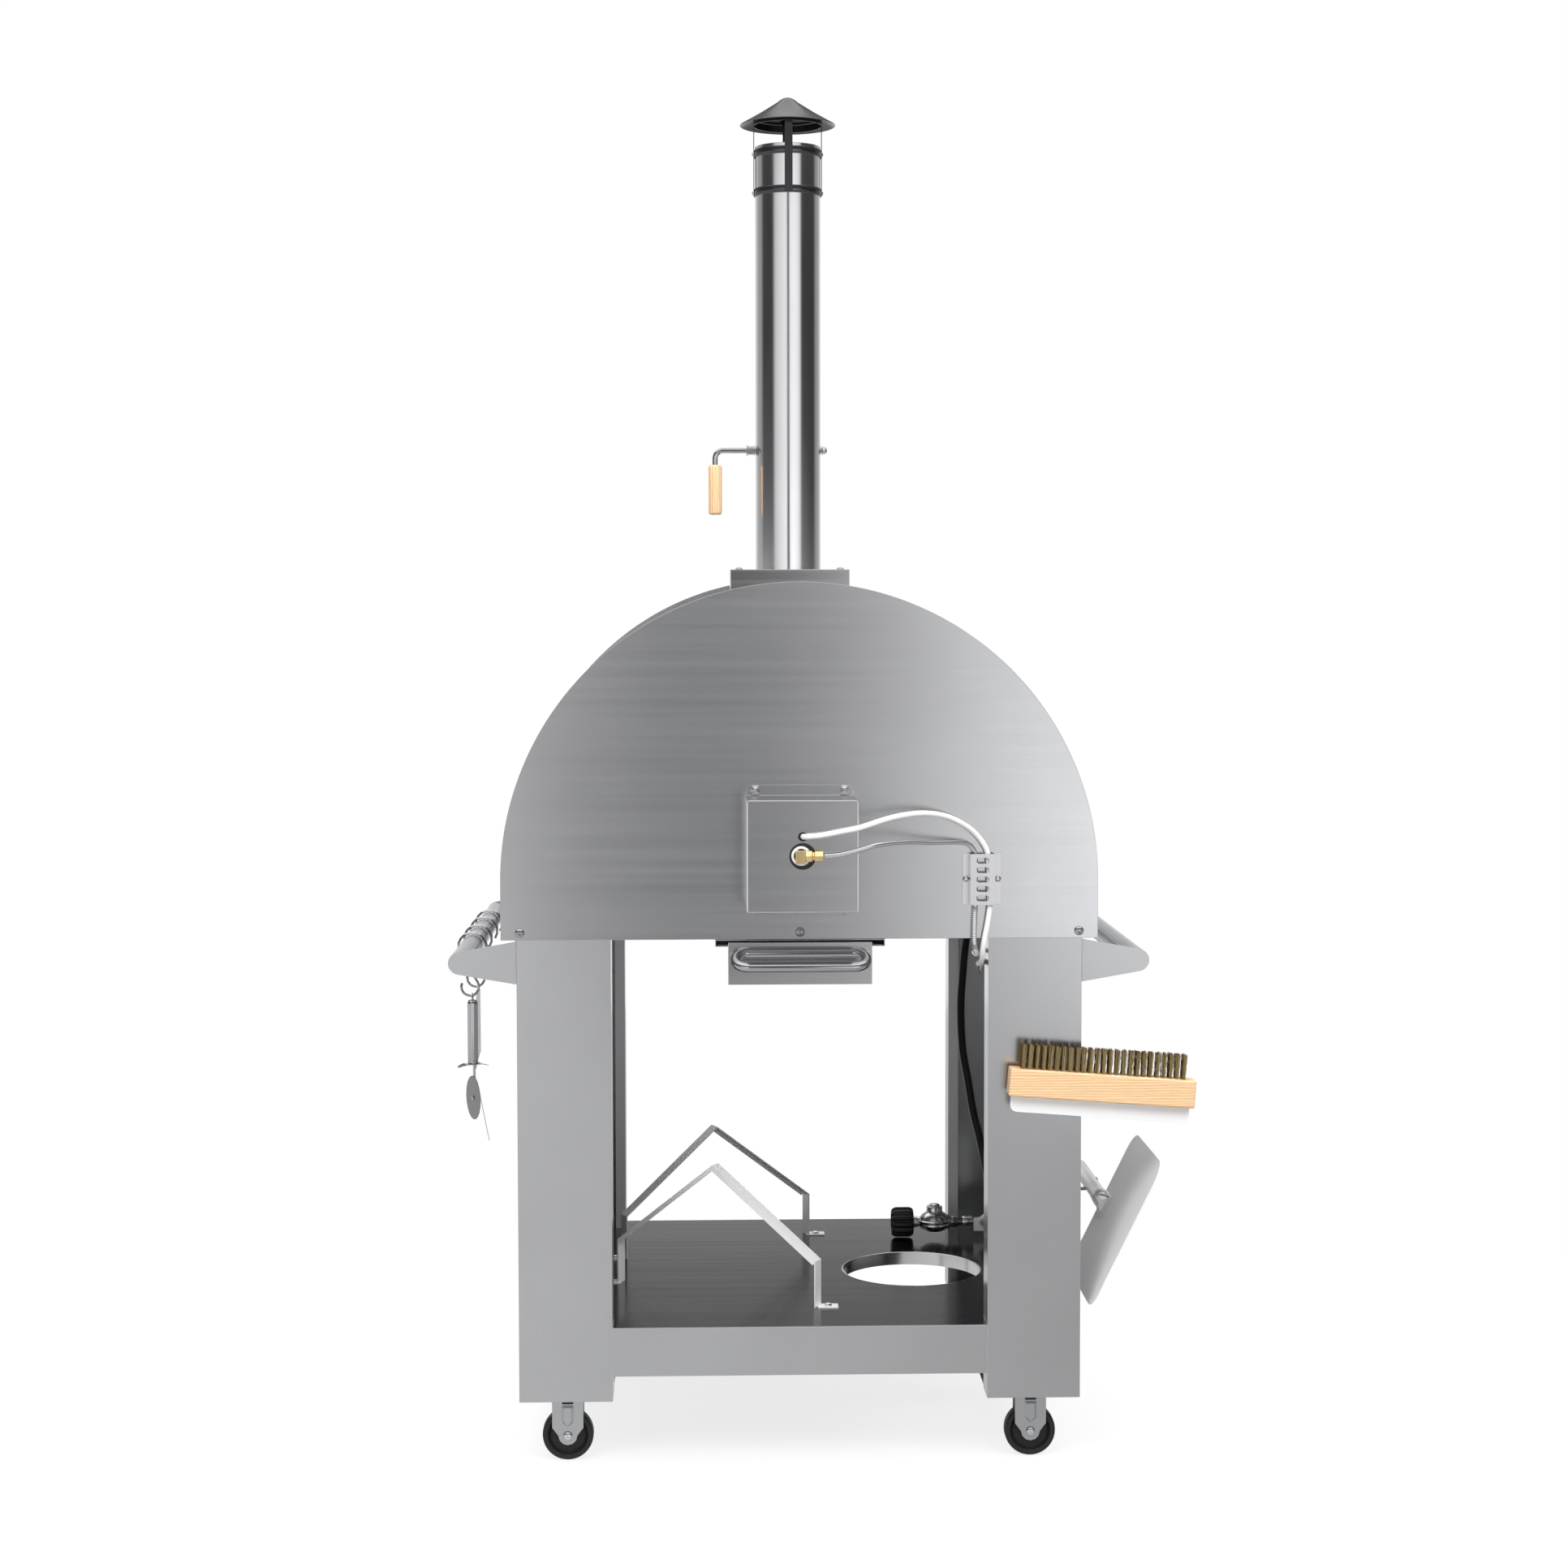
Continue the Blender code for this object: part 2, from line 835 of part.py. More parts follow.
def rounded(outline, radii, steps=corner_steps):
    """A polygon with its corners rounded. radii is one value, or one for each corner."""
    if not isinstance(radii, (list, tuple)):
        radii = [radii] * len(outline)
    points = []
    for index, corner in enumerate(outline):
        radius = radii[index]
        corner = Vector(corner)
        before = (Vector(outline[index - 1]) - corner).normalized()
        after = (Vector(outline[(index + 1) % len(outline)]) - corner).normalized()
        if radius <= 0:
            points.append(tuple(corner))
            continue
        half = before.angle(after) / 2
        centre = corner + (before + after).normalized() * radius / sin(half)
        first = corner + before * radius / tan(half) - centre
        last = corner + after * radius / tan(half) - centre
        start = atan2(first.y, first.x)
        sweep = (atan2(last.y, last.x) - start + pi) % (2 * pi) - pi
        points += arc(centre, radius, start, start + sweep, steps)
    return points


def folded(path, sheet):
    """The outline of a folded strip: the path and the same path one sheet to its right."""
    path = [Vector(p) for p in path]
    other = []
    for index, point in enumerate(path):
        sides = []
        if index > 0:
            run = (point - path[index - 1]).normalized()
            sides.append(Vector((run.y, -run.x)))
        if index < len(path) - 1:
            run = (path[index + 1] - point).normalized()
            sides.append(Vector((run.y, -run.x)))
        mitre = sum(sides, Vector((0, 0))).normalized()
        other.append(point + mitre * sheet / mitre.dot(sides[0]))
    return [tuple(p) for p in path + other[::-1]]


def smooth_route(points, step):
    """Points one small step apart along a smooth curve through the given ones."""
    knots = [Vector(p) for p in points]
    knots = [knots[0] * 2 - knots[1], *knots, knots[-1] * 2 - knots[-2]]
    fine = []
    for index in range(1, len(knots) - 2):
        a, b, c, d = knots[index - 1 : index + 3]
        count = max(4, ceil((c - b).length / step) * 4)
        fine += [catmull(a, b, c, d, i / count) for i in range(count)]
    fine.append(knots[-2])
    lengths = [0]
    for before, after in zip(fine, fine[1:]):
        lengths.append(lengths[-1] + (after - before).length)
    count = max(2, round(lengths[-1] / step))
    places, index = [], 0
    for stop in range(count + 1):
        want = lengths[-1] * stop / count
        while index < len(fine) - 2 and lengths[index + 1] < want:
            index += 1
        share = (want - lengths[index]) / (lengths[index + 1] - lengths[index])
        places.append(fine[index].lerp(fine[index + 1], min(share, 1)))
    return places


def thinned(points, longest, bend, kept=range(0)):
    """The points where a path has bent or run on enough, its ends and a kept range."""
    chosen = [0, 1]
    for index in range(2, len(points) - 2):
        last = chosen[-1]
        run = (points[index] - points[last]).length
        first_way = points[last + 1] - points[last]
        way = points[index + 1] - points[index]
        far = run >= longest or last in kept and run > cord_step
        if index in kept or far or first_way.angle(way) >= bend:
            chosen.append(index)
    return [*chosen, len(points) - 2, len(points) - 1]


def catmull(a, b, c, d, t):
    """A point on the smooth curve between b and c."""
    bend = (a * 2 - b * 5 + c * 4 - d) * t * t
    twist = (b * 3 - a - c * 3 + d) * t * t * t
    return (b * 2 + (c - a) * t + bend + twist) / 2


def mirrored(outline, side):
    """The outline on the left (side 1) or the right (side -1) of the cart."""
    return [(side * a, b) for a, b in outline]


def screw_head(at, axis, radius=screw_head_radius, height=screw_head_height):
    """A screw head with a sloping edge, sunk one bite into the sheet it holds."""
    at, axis = Vector(at), Vector(axis)
    return rod(at - axis * weld_bite, at + axis * height, radius, screw_steps, radius * head_top_share)


def pivot(name, place):
    """An empty on a joint's axis, in cart coordinates."""
    guide = bpy.data.objects.new(name, None)
    guide.parent = ROOT
    guide.location = place
    GUIDES.objects.link(guide)
    return guide


def keep(name, ob, finish, carrier=None):
    """Name a finished solid, give it its material and hang it on the root or a pivot."""
    bpy.context.scene.collection.objects.unlink(ob)
    PARTS.objects.link(ob)
    ob.name = name
    ob.data.name = name
    ob.data.materials.clear()
    ob.data.materials.append(finish)
    ob.data.shade_smooth()
    ob.data.set_sharp_from_angle(angle=radians(35))
    ob.parent = carrier or ROOT
    if carrier is not None:
        ob.location = -carrier.location
    return ob


# Materials
brushed = material("brushed_steel", STEEL, 1.0, 0.38)
satin = material("satin_steel", STEEL, 1.0, 0.30)
polished = material("polished_steel", STEEL, 1.0, 0.18)
flue_steel = material("flue_steel", STEEL, 1.0, 0.25)
black_coat = material("black_coating", BLACK, 0.6, 0.35)
zinc_plate = material("zinc_plate", ZINC, 1.0, 0.42)
black_tyre = material("black_tyre", BLACK, 0.0, 0.55)
black_knob = material("black_plastic", BLACK, 0.0, 0.40)
shelf_steel = material("shelf_steel", DARK_STEEL, 1.0, 0.28)
beech = material("beech", WOOD, 0.0, 0.50)
brass = material("brass", BRASS, 1.0, 0.30)
fire_stone = material("fire_stone", STONE, 0.0, 0.85)
ceramic_fibre = material("ceramic_fibre", FIBRE, 0.0, 0.95)
sleeve = material("white_sleeve", WHITE, 0.0, 0.60)
hose_rubber = material("hose_rubber", BLACK, 0.0, 0.45)
gauge_finish = material("gauge_steel", STEEL, 1.0, 0.22)
bristle_wire = material("bristle_wire", BRASS, 1.0, 0.45)


def arch(half_width, foot):
    """The outline of the vault: a half circle on two short straight sides."""
    crown = arc((0, vault_centre_height), half_width, 0, pi, arch_steps)
    return [(half_width, foot), *crown, (-half_width, foot)]


def tray(low, high, sheet, open_side):
    """A box of sheet with one side left open, such as open_side (2, 1) for the top."""
    axis, end = open_side
    inner_low = [a + sheet for a in low]
    inner_high = [b - sheet for b in high]
    if end > 0:
        inner_high[axis] = high[axis] + cut_overrun
    else:
        inner_low[axis] = low[axis] - cut_overrun
    return cut(box(low, high), box(inner_low, inner_high))


def side_frame(name, side):
    """One folded side of the cart: two legs, the side panel and the caster floor."""
    lip_y = rear_y - leg_return_depth
    half = [(leg_inner_x + leg_lip_width, lip_y), (leg_inner_x, lip_y), (leg_inner_x, rear_y)]
    half.append((cart_half_width, rear_y))
    path = half + [(x, -y) for x, y in reversed(half)]
    outline = mirrored(folded(path, frame_sheet), side)
    frame = plate(outline, "Z", leg_foot_height, cart_top_height)
    edges = (leg_inner_x + frame_sheet / 2, cart_half_width - frame_sheet / 2)
    low_x, high_x = sorted(side * e for e in edges)
    floor_y = rear_y - frame_sheet / 2
    floor_top = foot_plate_bottom + foot_plate_thickness
    floor = box((low_x, -floor_y, foot_plate_bottom), (high_x, floor_y, floor_top))
    plate_top = foot_plate_bottom + weld_bite
    plate_bottom = foot_plate_bottom - caster_plate_thickness
    mid_x = side * caster_centre_x
    top_plate = box(
        (mid_x - caster_plate_width / 2, front_caster_y - caster_plate_depth / 2, plate_bottom),
        (mid_x + caster_plate_width / 2, front_caster_y + caster_plate_depth / 2, plate_top),
    )
    race_low = plate_bottom - raceway_height
    race = rod(
        (mid_x, front_caster_y, race_low),
        (mid_x, front_caster_y, plate_bottom + weld_bite),
        raceway_radius,
        round_steps,
    )
    join(frame, floor, top_plate, race)
    if side < 0:
        for height, radius in ((knob_height, stem_hole_radius), (igniter_height, igniter_hole_radius)):
            start = (-leg_centre_x, front_y - cut_overrun, height)
            end = (-leg_centre_x, front_y + cut_overrun, height)
            cut(frame, rod(start, end, radius))
    keep(name, frame, brushed)


def caster_wheel_mesh():
    """A solid wheel with hub, thinner web and tread, turned about Y at the origin."""
    half = wheel_width / 2
    web = wheel_web_width / 2
    rim = wheel_radius - wheel_rim_depth
    bore = axle_radius + axle_clearance
    upper = [(bore, half), (wheel_hub_radius, half), (rim, web), (wheel_radius, half)]
    lower = [(r, -h) for r, h in reversed(upper)]
    return turned(upper + lower, (0, 0, 0), (0, 1, 0), wheel_steps)


def fork_leg_outline(top, shift):
    """One leg of a caster fork, seen along the axle, from the plate down past the axle."""
    half = fork_width / 2
    taper = wheel_radius + fork_taper_rise
    foot = arc((0, wheel_radius), fork_end_radius, 0, -pi, 6)
    return [(half + shift, top), (half, taper), *foot, (-half, taper), (-half + shift, top)]


def caster_fork(top, shift):
    """Two fork legs and a riveted axle at the origin's wheel."""
    inner = wheel_width / 2 + fork_side_gap
    outer = inner + fork_sheet
    outline = fork_leg_outline(top, shift)
    legs = [plate(outline, "Y", -outer, -inner), plate(outline, "Y", inner, outer)]
    reach = outer + weld_bite
    axle = rod((0, -reach, wheel_radius), (0, reach, wheel_radius), axle_radius)
    heads = []
    for end in (-1, 1):
        at = (0, end * outer, wheel_radius)
        heads.append(screw_head(at, (0, end, 0), rivet_head_radius, rivet_head_height))
    return join(legs[0], axle, legs[1], *heads)


def casters():
    """Rigid casters at the back, swivel casters at the front."""
    sides = (("left", 1), ("right", -1))
    plate_top = foot_plate_bottom - fit_gap
    plate_low = plate_top - caster_plate_thickness
    for label, side in sides:
        centre = Vector((side * caster_centre_x, rear_caster_y, 0))
        fork = caster_fork(plate_low + weld_bite, 0)
        low = (-caster_plate_width / 2, -caster_plate_depth / 2, plate_low)
        high = (caster_plate_width / 2, caster_plate_depth / 2, plate_top)
        join(fork, box(low, high))
        fork.data.transform(Matrix.Translation(centre))
        keep(f"caster_fork_rear_{label}", fork, zinc_plate)
        axle = pivot(f"axle_rear_{label}", centre + Vector((0, 0, wheel_radius)))
        wheel = caster_wheel_mesh()
        wheel.data.transform(Matrix.Translation(axle.location))
        keep(f"caster_wheel_rear_{label}", wheel, black_tyre, axle)
    crown_top = foot_plate_bottom - caster_plate_thickness - raceway_height - fit_gap
    crown_low = 2 * wheel_radius + fork_crown_clearance
    for label, side in sides:
        centre = Vector((side * caster_centre_x, front_caster_y, 0))
        swivel = pivot(f"swivel_front_{label}", centre)
        fork = caster_fork(crown_low + weld_bite, swivel_trail)
        outer = wheel_width / 2 + fork_side_gap + fork_sheet
        low = (swivel_trail - fork_width / 2, -outer, crown_low)
        high = (swivel_trail + fork_width / 2, outer, crown_top)
        join(fork, box(low, high))
        wheel_centre = centre - Vector((swivel_trail, 0, 0))
        fork.data.transform(Matrix.Translation(wheel_centre))
        keep(f"caster_fork_front_{label}", fork, zinc_plate, swivel)
        axle = pivot(f"axle_front_{label}", wheel_centre + Vector((0, 0, wheel_radius)))
        wheel = caster_wheel_mesh()
        wheel.data.transform(Matrix.Translation(axle.location))
        keep(f"caster_wheel_front_{label}", wheel, black_tyre, axle)


def lower_shelf():
    """The shelf between the frames, with skirts, side flanges and the tank hole."""
    wide = cart_half_width - frame_sheet - fit_gap
    narrow = leg_inner_x - fit_gap
    short = rear_y - leg_return_depth - fit_gap
    top_low = shelf_height - shelf_sheet
    shelf = box((-wide, -rear_y, top_low), (wide, rear_y, shelf_height))
    for x in (-1, 1):
        for y in (-1, 1):
            xs = sorted((x * narrow, x * (wide + cut_overrun)))
            ys = sorted((y * short, y * (rear_y + cut_overrun)))
            low = (xs[0], ys[0], top_low - cut_overrun)
            cut(shelf, box(low, (xs[1], ys[1], shelf_height + cut_overrun)))
    skirt_low = shelf_height - shelf_skirt_depth
    skirt_half = narrow - fit_gap
    for end in (-1, 1):
        near, far = sorted((end * (rear_y - fit_gap), end * (rear_y - shelf_sheet)))
        join(shelf, box((-skirt_half, near, skirt_low), (skirt_half, far, top_low + weld_bite)))
        near, far = sorted((end * (wide - fit_gap), end * (wide - shelf_sheet)))
        flange_low = shelf_height - shelf_side_flange
        flange_half = short - fit_gap
        join(shelf, box((near, -flange_half, flange_low), (far, flange_half, top_low + weld_bite)))
    hole_y = rear_y - tank_hole_inset
    rim_low = shelf_height - tank_rim_depth
    rim = rod(
        (tank_hole_x, hole_y, rim_low),
        (tank_hole_x, hole_y, top_low + weld_bite),
        tank_hole_radius + shelf_sheet,
        hole_steps,
    )
    join(shelf, rim)
    hole = rod(
        (tank_hole_x, hole_y, rim_low - cut_overrun),
        (tank_hole_x, hole_y, shelf_height + cut_overrun),
        tank_hole_radius,
        hole_steps,
    )
    cut(shelf, hole)
    keep("lower_shelf", shelf, shelf_steel)


def wood_rack(name, end):
    """A bent strip that stands on the shelf, set at an angle in plan. end is 1 at the back."""
    right = Vector((rack_right_x, end * (rear_y - rack_right_inset)))
    left = Vector((rack_left_x, end * (rear_y - rack_left_inset)))
    run = left - right
    span = run.length
    turn = atan2(run.y, run.x)
    apex = span * (rack_apex_x - rack_right_x) / (rack_left_x - rack_right_x)
    foot = shelf_height + fit_gap
    path = [
        (0, foot),
        (0, shelf_height + rack_corner_rise),
        (apex, shelf_height + rack_apex_rise),
        (span, shelf_height + rack_corner_rise),
        (span, foot),
    ]
    half = rack_strip_width / 2
    strip = plate(folded(path, rack_sheet), "Y", -half, half)
    lip_path = [(a, b) for a, b in path[1:4]]
    lip_at = end * (half - rack_sheet)
    low, high = sorted((lip_at, end * half))
    lip = plate(folded(lip_path, rack_lip_depth), "Y", low, high)
    join(strip, lip)
    place = Matrix.Translation((*right, 0)) @ Matrix.Rotation(turn, 4, "Z")
    strip.data.transform(place)
    for corner, way in ((right, -1), (left, 1)):
        across = sorted((corner.x - way * weld_bite, corner.x + way * rack_tab_length))
        low = (across[0], corner.y - rack_tab_width / 2, foot)
        high = (across[1], corner.y + rack_tab_width / 2, foot + rack_sheet)
        join(strip, box(low, high))
        screw_x = corner.x + way * rack_tab_length / 2
        join(strip, screw_head((screw_x, corner.y, foot + rack_sheet), (0, 0, 1)))
    keep(name, strip, satin)


def bracket_outline():
    """A rail bracket seen from the back, from the leg out to its round tip."""
    root_x_in = cart_half_width + fit_gap
    half = bracket_root_height / 2
    lean = asin((half - bracket_tip_radius) / (rail_x - root_x_in))
    tip = arc((rail_x, rail_height), bracket_tip_radius, pi / 2 - lean, -pi / 2 + lean, 8)
    return [(root_x_in, rail_height + half), *tip, (root_x_in, rail_height - half)]


def side_rail(name, side):
    """A round rail welded between two tapered brackets with bolting flanges."""
    outline = mirrored(bracket_outline(), side)
    inner = rear_y - bracket_thickness
    bar = rod(
        (side * rail_x, -inner - weld_bite, rail_height),
        (side * rail_x, inner + weld_bite, rail_height),
        rail_radius,
        round_steps,
    )
    half = bracket_root_height / 2
    for end in (-1, 1):
        low, high = sorted((end * inner, end * rear_y))
        join(bar, plate(outline, "Y", low, high))
        edge = cart_half_width + fit_gap
        x_pair = sorted((side * edge, side * (edge + bracket_flange_thickness)))
        y_pair = sorted((end * (inner + weld_bite), end * (inner - bracket_flange_depth)))
        low = (x_pair[0], y_pair[0], rail_height - half)
        high = (x_pair[1], y_pair[1], rail_height + half)
        join(bar, box(low, high))
    keep(name, bar, satin)


def oven_base():
    """The pan that floors the body, with a slot for ash."""
    low = (-pan_half_width, pan_front_y, body_foot)
    high = (pan_half_width, pan_rear_y, body_foot + pan_rim_height)
    inner_low = (low[0] + skin_sheet, low[1] + skin_sheet, pan_floor_top)
    inner_high = (high[0] - skin_sheet, high[1] - skin_sheet, high[2] + cut_overrun)
    pan = cut(box(low, high), box(inner_low, inner_high), ash_slot())
    keep("oven_base", pan, brushed)


def ash_slot():
    """The cutter of the ash slot behind the hearth stone."""
    low = (-ash_slot_half_width, stone_rear_y + ash_slot_margin, body_foot - cut_overrun)
    high_y = chamber_rear_y - ash_slot_margin
    return box(low, (ash_slot_half_width, high_y, chamber_floor + cut_overrun))


def flue_cutter(radius, low, high):
    return rod((0, flue_centre_y, low), (0, flue_centre_y, high), radius, round_steps)


def burner_cutter(radius, low_y, high_y):
    return rod((0, low_y, burner_height), (0, high_y, burner_height), radius, round_steps)


def body_shells():
    """The outer skin, rear panel, fascia, insulation and inner chamber."""
    outline = arch(vault_radius, body_foot) + arch(vault_radius - skin_sheet, body_foot)[::-1]
    skin = plate(outline, "Y", pan_front_y, pan_rear_y)
    cut(skin, flue_cutter(flue_radius + fit_gap, vault_centre_height, vault_crown + cut_overrun))
    keep("outer_vault", skin, brushed)

    panel = plate(arch(vault_radius, body_foot), "Y", panel_front_y, panel_rear_y)
    cut(panel, burner_cutter(burner_hole_radius, panel_front_y - cut_overrun, panel_rear_y + cut_overrun))
    for place in (-panel_screw_x, 0, panel_screw_x):
        at = (place, panel_rear_y, body_foot + panel_screw_rise)
        join(panel, screw_head(at, (0, 1, 0)))
    keep("rear_panel", panel, brushed)

    front = plate(arch(fascia_radius, body_foot), "Y", fascia_front_y, front_y, [mouth_outline(0)])
    keep("front_fascia", front, brushed)

    block = plate(arch(insulation_radius, insulation_foot), "Y", insulation_front_y, insulation_rear_y)
    hollow = plate(
        arch(chamber_radius + fit_gap, chamber_floor),
        "Y",
        insulation_front_y - cut_overrun,
        chamber_rear_y,
    )
    hole_ends = (chamber_rear_y - cut_overrun, insulation_rear_y + cut_overrun)
    burner_hole = burner_cutter(burner_hole_radius, *hole_ends)
    flue_hole = flue_cutter(flue_radius + fit_gap, vault_centre_height, vault_crown + cut_overrun)
    cut(block, hollow, burner_hole, flue_hole, ash_slot())
    keep("insulation", block, ceramic_fibre)

    foot = chamber_floor + fit_gap
    outline = arch(chamber_radius, foot) + arch(chamber_radius - chamber_sheet, foot)[::-1]
    rear = chamber_rear_y - fit_gap
    inner = plate(outline, "Y", pan_front_y, rear)
    back = plate(arch(chamber_radius - chamber_sheet / 2, foot), "Y", rear - chamber_sheet, rear)
    join(inner, back)
    cut(inner, burner_cutter(burner_tube_radius + fit_gap, rear - cut_overrun, rear + cut_overrun))
    cut(inner, flue_cutter(flue_radius + fit_gap, vault_centre_height, vault_crown))
    keep("inner_vault", inner, satin)


def mouth_outline(margin):
    """The mouth's outline: straight sides under a low crown, grown by a margin."""
    half = mouth_half_width + margin
    rise = mouth_crown_height + margin / 2
    radius = (half * half + rise * rise) / (2 * rise)
    centre = (0, mouth_spring + rise - radius)
    spread = asin(half / radius)
    crown = arc(centre, radius, pi / 2 - spread, pi / 2 + spread, mouth_steps)
    foot = mouth_sill - margin
    return [(half, foot), *crown, (-half, foot)]


def hearth():
    """The baking stone on the chamber floor."""
    half = chamber_radius - chamber_sheet - stone_side_gap
    front = pan_front_y
    stone = box((-half, front, stone_foot), (half, stone_rear_y, stone_top))
    keep("hearth_stone", stone, fire_stone)


def burner():
    """The gas burner through the back wall, its cover, elbow and cable guard."""
    head_y = chamber_rear_y - burner_head_offset
    pipe = rod((0, head_y, burner_height), (0, burner_end_y, burner_height), burner_tube_radius, round_steps)
    head = rod(
        (-burner_head_half_length, head_y, burner_height),
        (burner_head_half_length, head_y, burner_height),
        burner_head_radius,
        round_steps,
    )
    join(pipe, head)
    socket_y = burner_end_y - burner_socket_depth
    cut(pipe, burner_cutter(burner_socket_radius, socket_y, burner_end_y + cut_overrun))
    keep("burner_tube", pipe, satin)

    base_y = panel_rear_y + fit_gap
    low = (-cover_half_width, base_y, cover_bottom)
    cover = tray(low, (cover_half_width, cover_rear_y, cover_top), cover_sheet, (1, -1))
    flange_top = cover_top + cover_flange_height
    flange_half = cover_half_width - cover_sheet
    flange = [(-flange_half, cover_top - cover_sheet), (flange_half, cover_top - cover_sheet)]
    flange += [(flange_half, flange_top), (-flange_half, flange_top)]
    corners = (0, 0, cover_flange_corner, cover_flange_corner)
    join(cover, plate(rounded(flange, corners), "Y", base_y, base_y + cover_sheet))
    flange_low = cover_bottom - cover_flange_height
    flange = [(flange_half, cover_bottom + cover_sheet), (-flange_half, cover_bottom + cover_sheet)]
    flange += [(-flange_half, flange_low), (flange_half, flange_low)]
    join(cover, plate(rounded(flange, corners), "Y", base_y, base_y + cover_sheet))
    for place in (-cover_screw_x, cover_screw_x):
        for height in (flange_top - cover_screw_inset, flange_low + cover_screw_inset):
            join(cover, screw_head((place, base_y + cover_sheet, height), (0, 1, 0)))
    near, far = cover_rear_y - cut_overrun, cover_rear_y + cut_overrun
    cut(cover, burner_cutter(cover_hole_radius, near, far))
    cable_height = burner_height + cover_cable_hole_rise
    cut(cover, rod((0, near, cable_height), (0, far, cable_height), cover_cable_hole_radius))
    keep("burner_cover", cover, brushed)

    spigot_y = socket_y + fit_gap
    half = elbow_block_width / 2
    block = box(
        (elbow_block_shift - half, elbow_front_y, burner_height - half),
        (elbow_block_shift + half, elbow_front_y + elbow_block_depth, burner_height + half),
    )
    spigot = rod((0, spigot_y, burner_height), (0, elbow_centre_y, burner_height), elbow_spigot_radius)
    nut_start = elbow_block_shift - half + weld_bite
    nut_end = nut_start - weld_bite - elbow_nut_length
    nut_height = burner_height + elbow_nut_rise
    nut_ends = [(x, elbow_centre_y, nut_height) for x in (nut_start, nut_end)]
    nut = rod(*nut_ends, elbow_nut_radius, 6)
    join(block, spigot, nut)
    keep("gas_elbow", block, brass)


def cable_guard():
    """The slotted bridge over the cable and the gas line on the rear panel."""
    foot_y = panel_rear_y + fit_gap
    top_y = foot_y + guard_depth
    x = guard_centre_x
    path = [
        (x - guard_half_width, foot_y),
        (x - guard_raised_half_width, foot_y),
        (x - guard_raised_half_width, top_y),
        (x + guard_raised_half_width, top_y),
        (x + guard_raised_half_width, foot_y),
        (x + guard_half_width, foot_y),
    ]
    path = [(a, b + guard_sheet if b == foot_y else b) for a, b in path]
    guard = plate(folded(path, guard_sheet), "Z", guard_bottom, guard_bottom + guard_height)
    middle = guard_bottom + guard_height / 2
    end = guard_slot_height / 2
    reach = guard_slot_length / 2 - end
    for index in range(guard_slot_count):
        height = middle + (index - (guard_slot_count - 1) / 2) * guard_slot_pitch
        left = arc((x - reach, height), end, pi / 2, 3 * pi / 2, 3)
        right = arc((x + reach, height), end, -pi / 2, pi / 2, 3)
        low_y = top_y - guard_sheet - weld_bite
        cut(guard, plate(left + right, "Y", low_y, top_y + cut_overrun))
    screw_x = (guard_half_width + guard_raised_half_width) / 2
    for way in (-1, 1):
        at = (x + way * screw_x, foot_y + guard_sheet, middle)
        join(guard, screw_head(at, (0, 1, 0), guard_screw_radius))
    keep("cable_guard", guard, satin)


def flue():
    """The collar on the vault, the flue pipe and the rain cap on its straps."""
    foot = vault_centre_height + vault_radius * cos(asin(collar_half_width / vault_radius))
    low = (-collar_half_width, flue_centre_y - collar_half_width, foot - collar_drop)
    high = (collar_half_width, flue_centre_y + collar_half_width, collar_top_height)
    collar = tray(low, high, collar_sheet, (2, -1))
    reach = 2 * collar_half_width
    outline = arch(vault_radius + fit_gap, body_foot)
    cut(collar, plate(outline, "Y", flue_centre_y - reach, flue_centre_y + reach))
    cut(collar, flue_cutter(flue_radius + fit_gap, foot, collar_top_height + cut_overrun))
    screw = collar_half_width - collar_screw_inset
    for x in (-screw, screw):
        for y in (-screw, screw):
            at = (x, flue_centre_y + y, collar_top_height)
            join(collar, screw_head(at, (0, 0, 1)))
    keep("flue_collar", collar, brushed)

    inner = flue_radius - flue_wall
    length = flue_top_height - flue_bottom_height
    profile = [(flue_radius, length), (flue_radius, 0), (inner, 0), (inner, length)]
    pipe = turned(profile, (0, flue_centre_y, flue_bottom_height), (0, 0, 1))
    reach = flue_radius + cut_overrun
    hole = rod(
        (-reach, flue_centre_y, damper_height),
        (reach, flue_centre_y, damper_height),
        damper_rod_radius + damper_hole_clearance,
    )
    cut(pipe, hole)
    keep("flue_pipe", pipe, flue_steel)


def rain_cap():
    """The conical cap with its two bands and four straps."""
    rise = cap_apex_height - cap_rim_height
    slope = rise / cap_radius
    nose_rise = cap_nose_radius * slope * nose_share
    rim_inner = cap_radius - cap_sheet / slope
    profile = [
        (0, rise - nose_rise / 2),
        (cap_nose_radius / 2, rise - nose_rise),
        (cap_nose_radius, rise - cap_nose_radius * slope),
        (cap_radius, 0),
        (rim_inner, 0),
        (0, rim_inner * slope),
    ]
    cap = turned(profile, (0, flue_centre_y, cap_rim_height), (0, 0, 1))
    inner = flue_radius + fit_gap
    outer = inner + band_thickness
    for height in (band_top_height, band_low_height):
        ring = [(outer, band_height), (outer, 0), (inner, 0), (inner, band_height)]
        join(cap, turned(ring, (0, flue_centre_y, height - band_height / 2), (0, 0, 1)))
    strap_inner = outer - strap_bite
    strap_outer = outer + strap_thickness
    under = cap_rim_height + (rim_inner - strap_outer) * slope
    half = strap_width / 2
    low_end = band_low_height - band_height / 2
    for turn in range(4):
        strap = box((strap_inner, -half, low_end), (strap_outer, half, under + weld_bite))
        place = Matrix.Translation((0, flue_centre_y, 0)) @ Matrix.Rotation(turn * pi / 2, 4, "Z")
        strap.data.transform(place)
        join(cap, strap)
    keep("rain_cap", cap, black_coat)


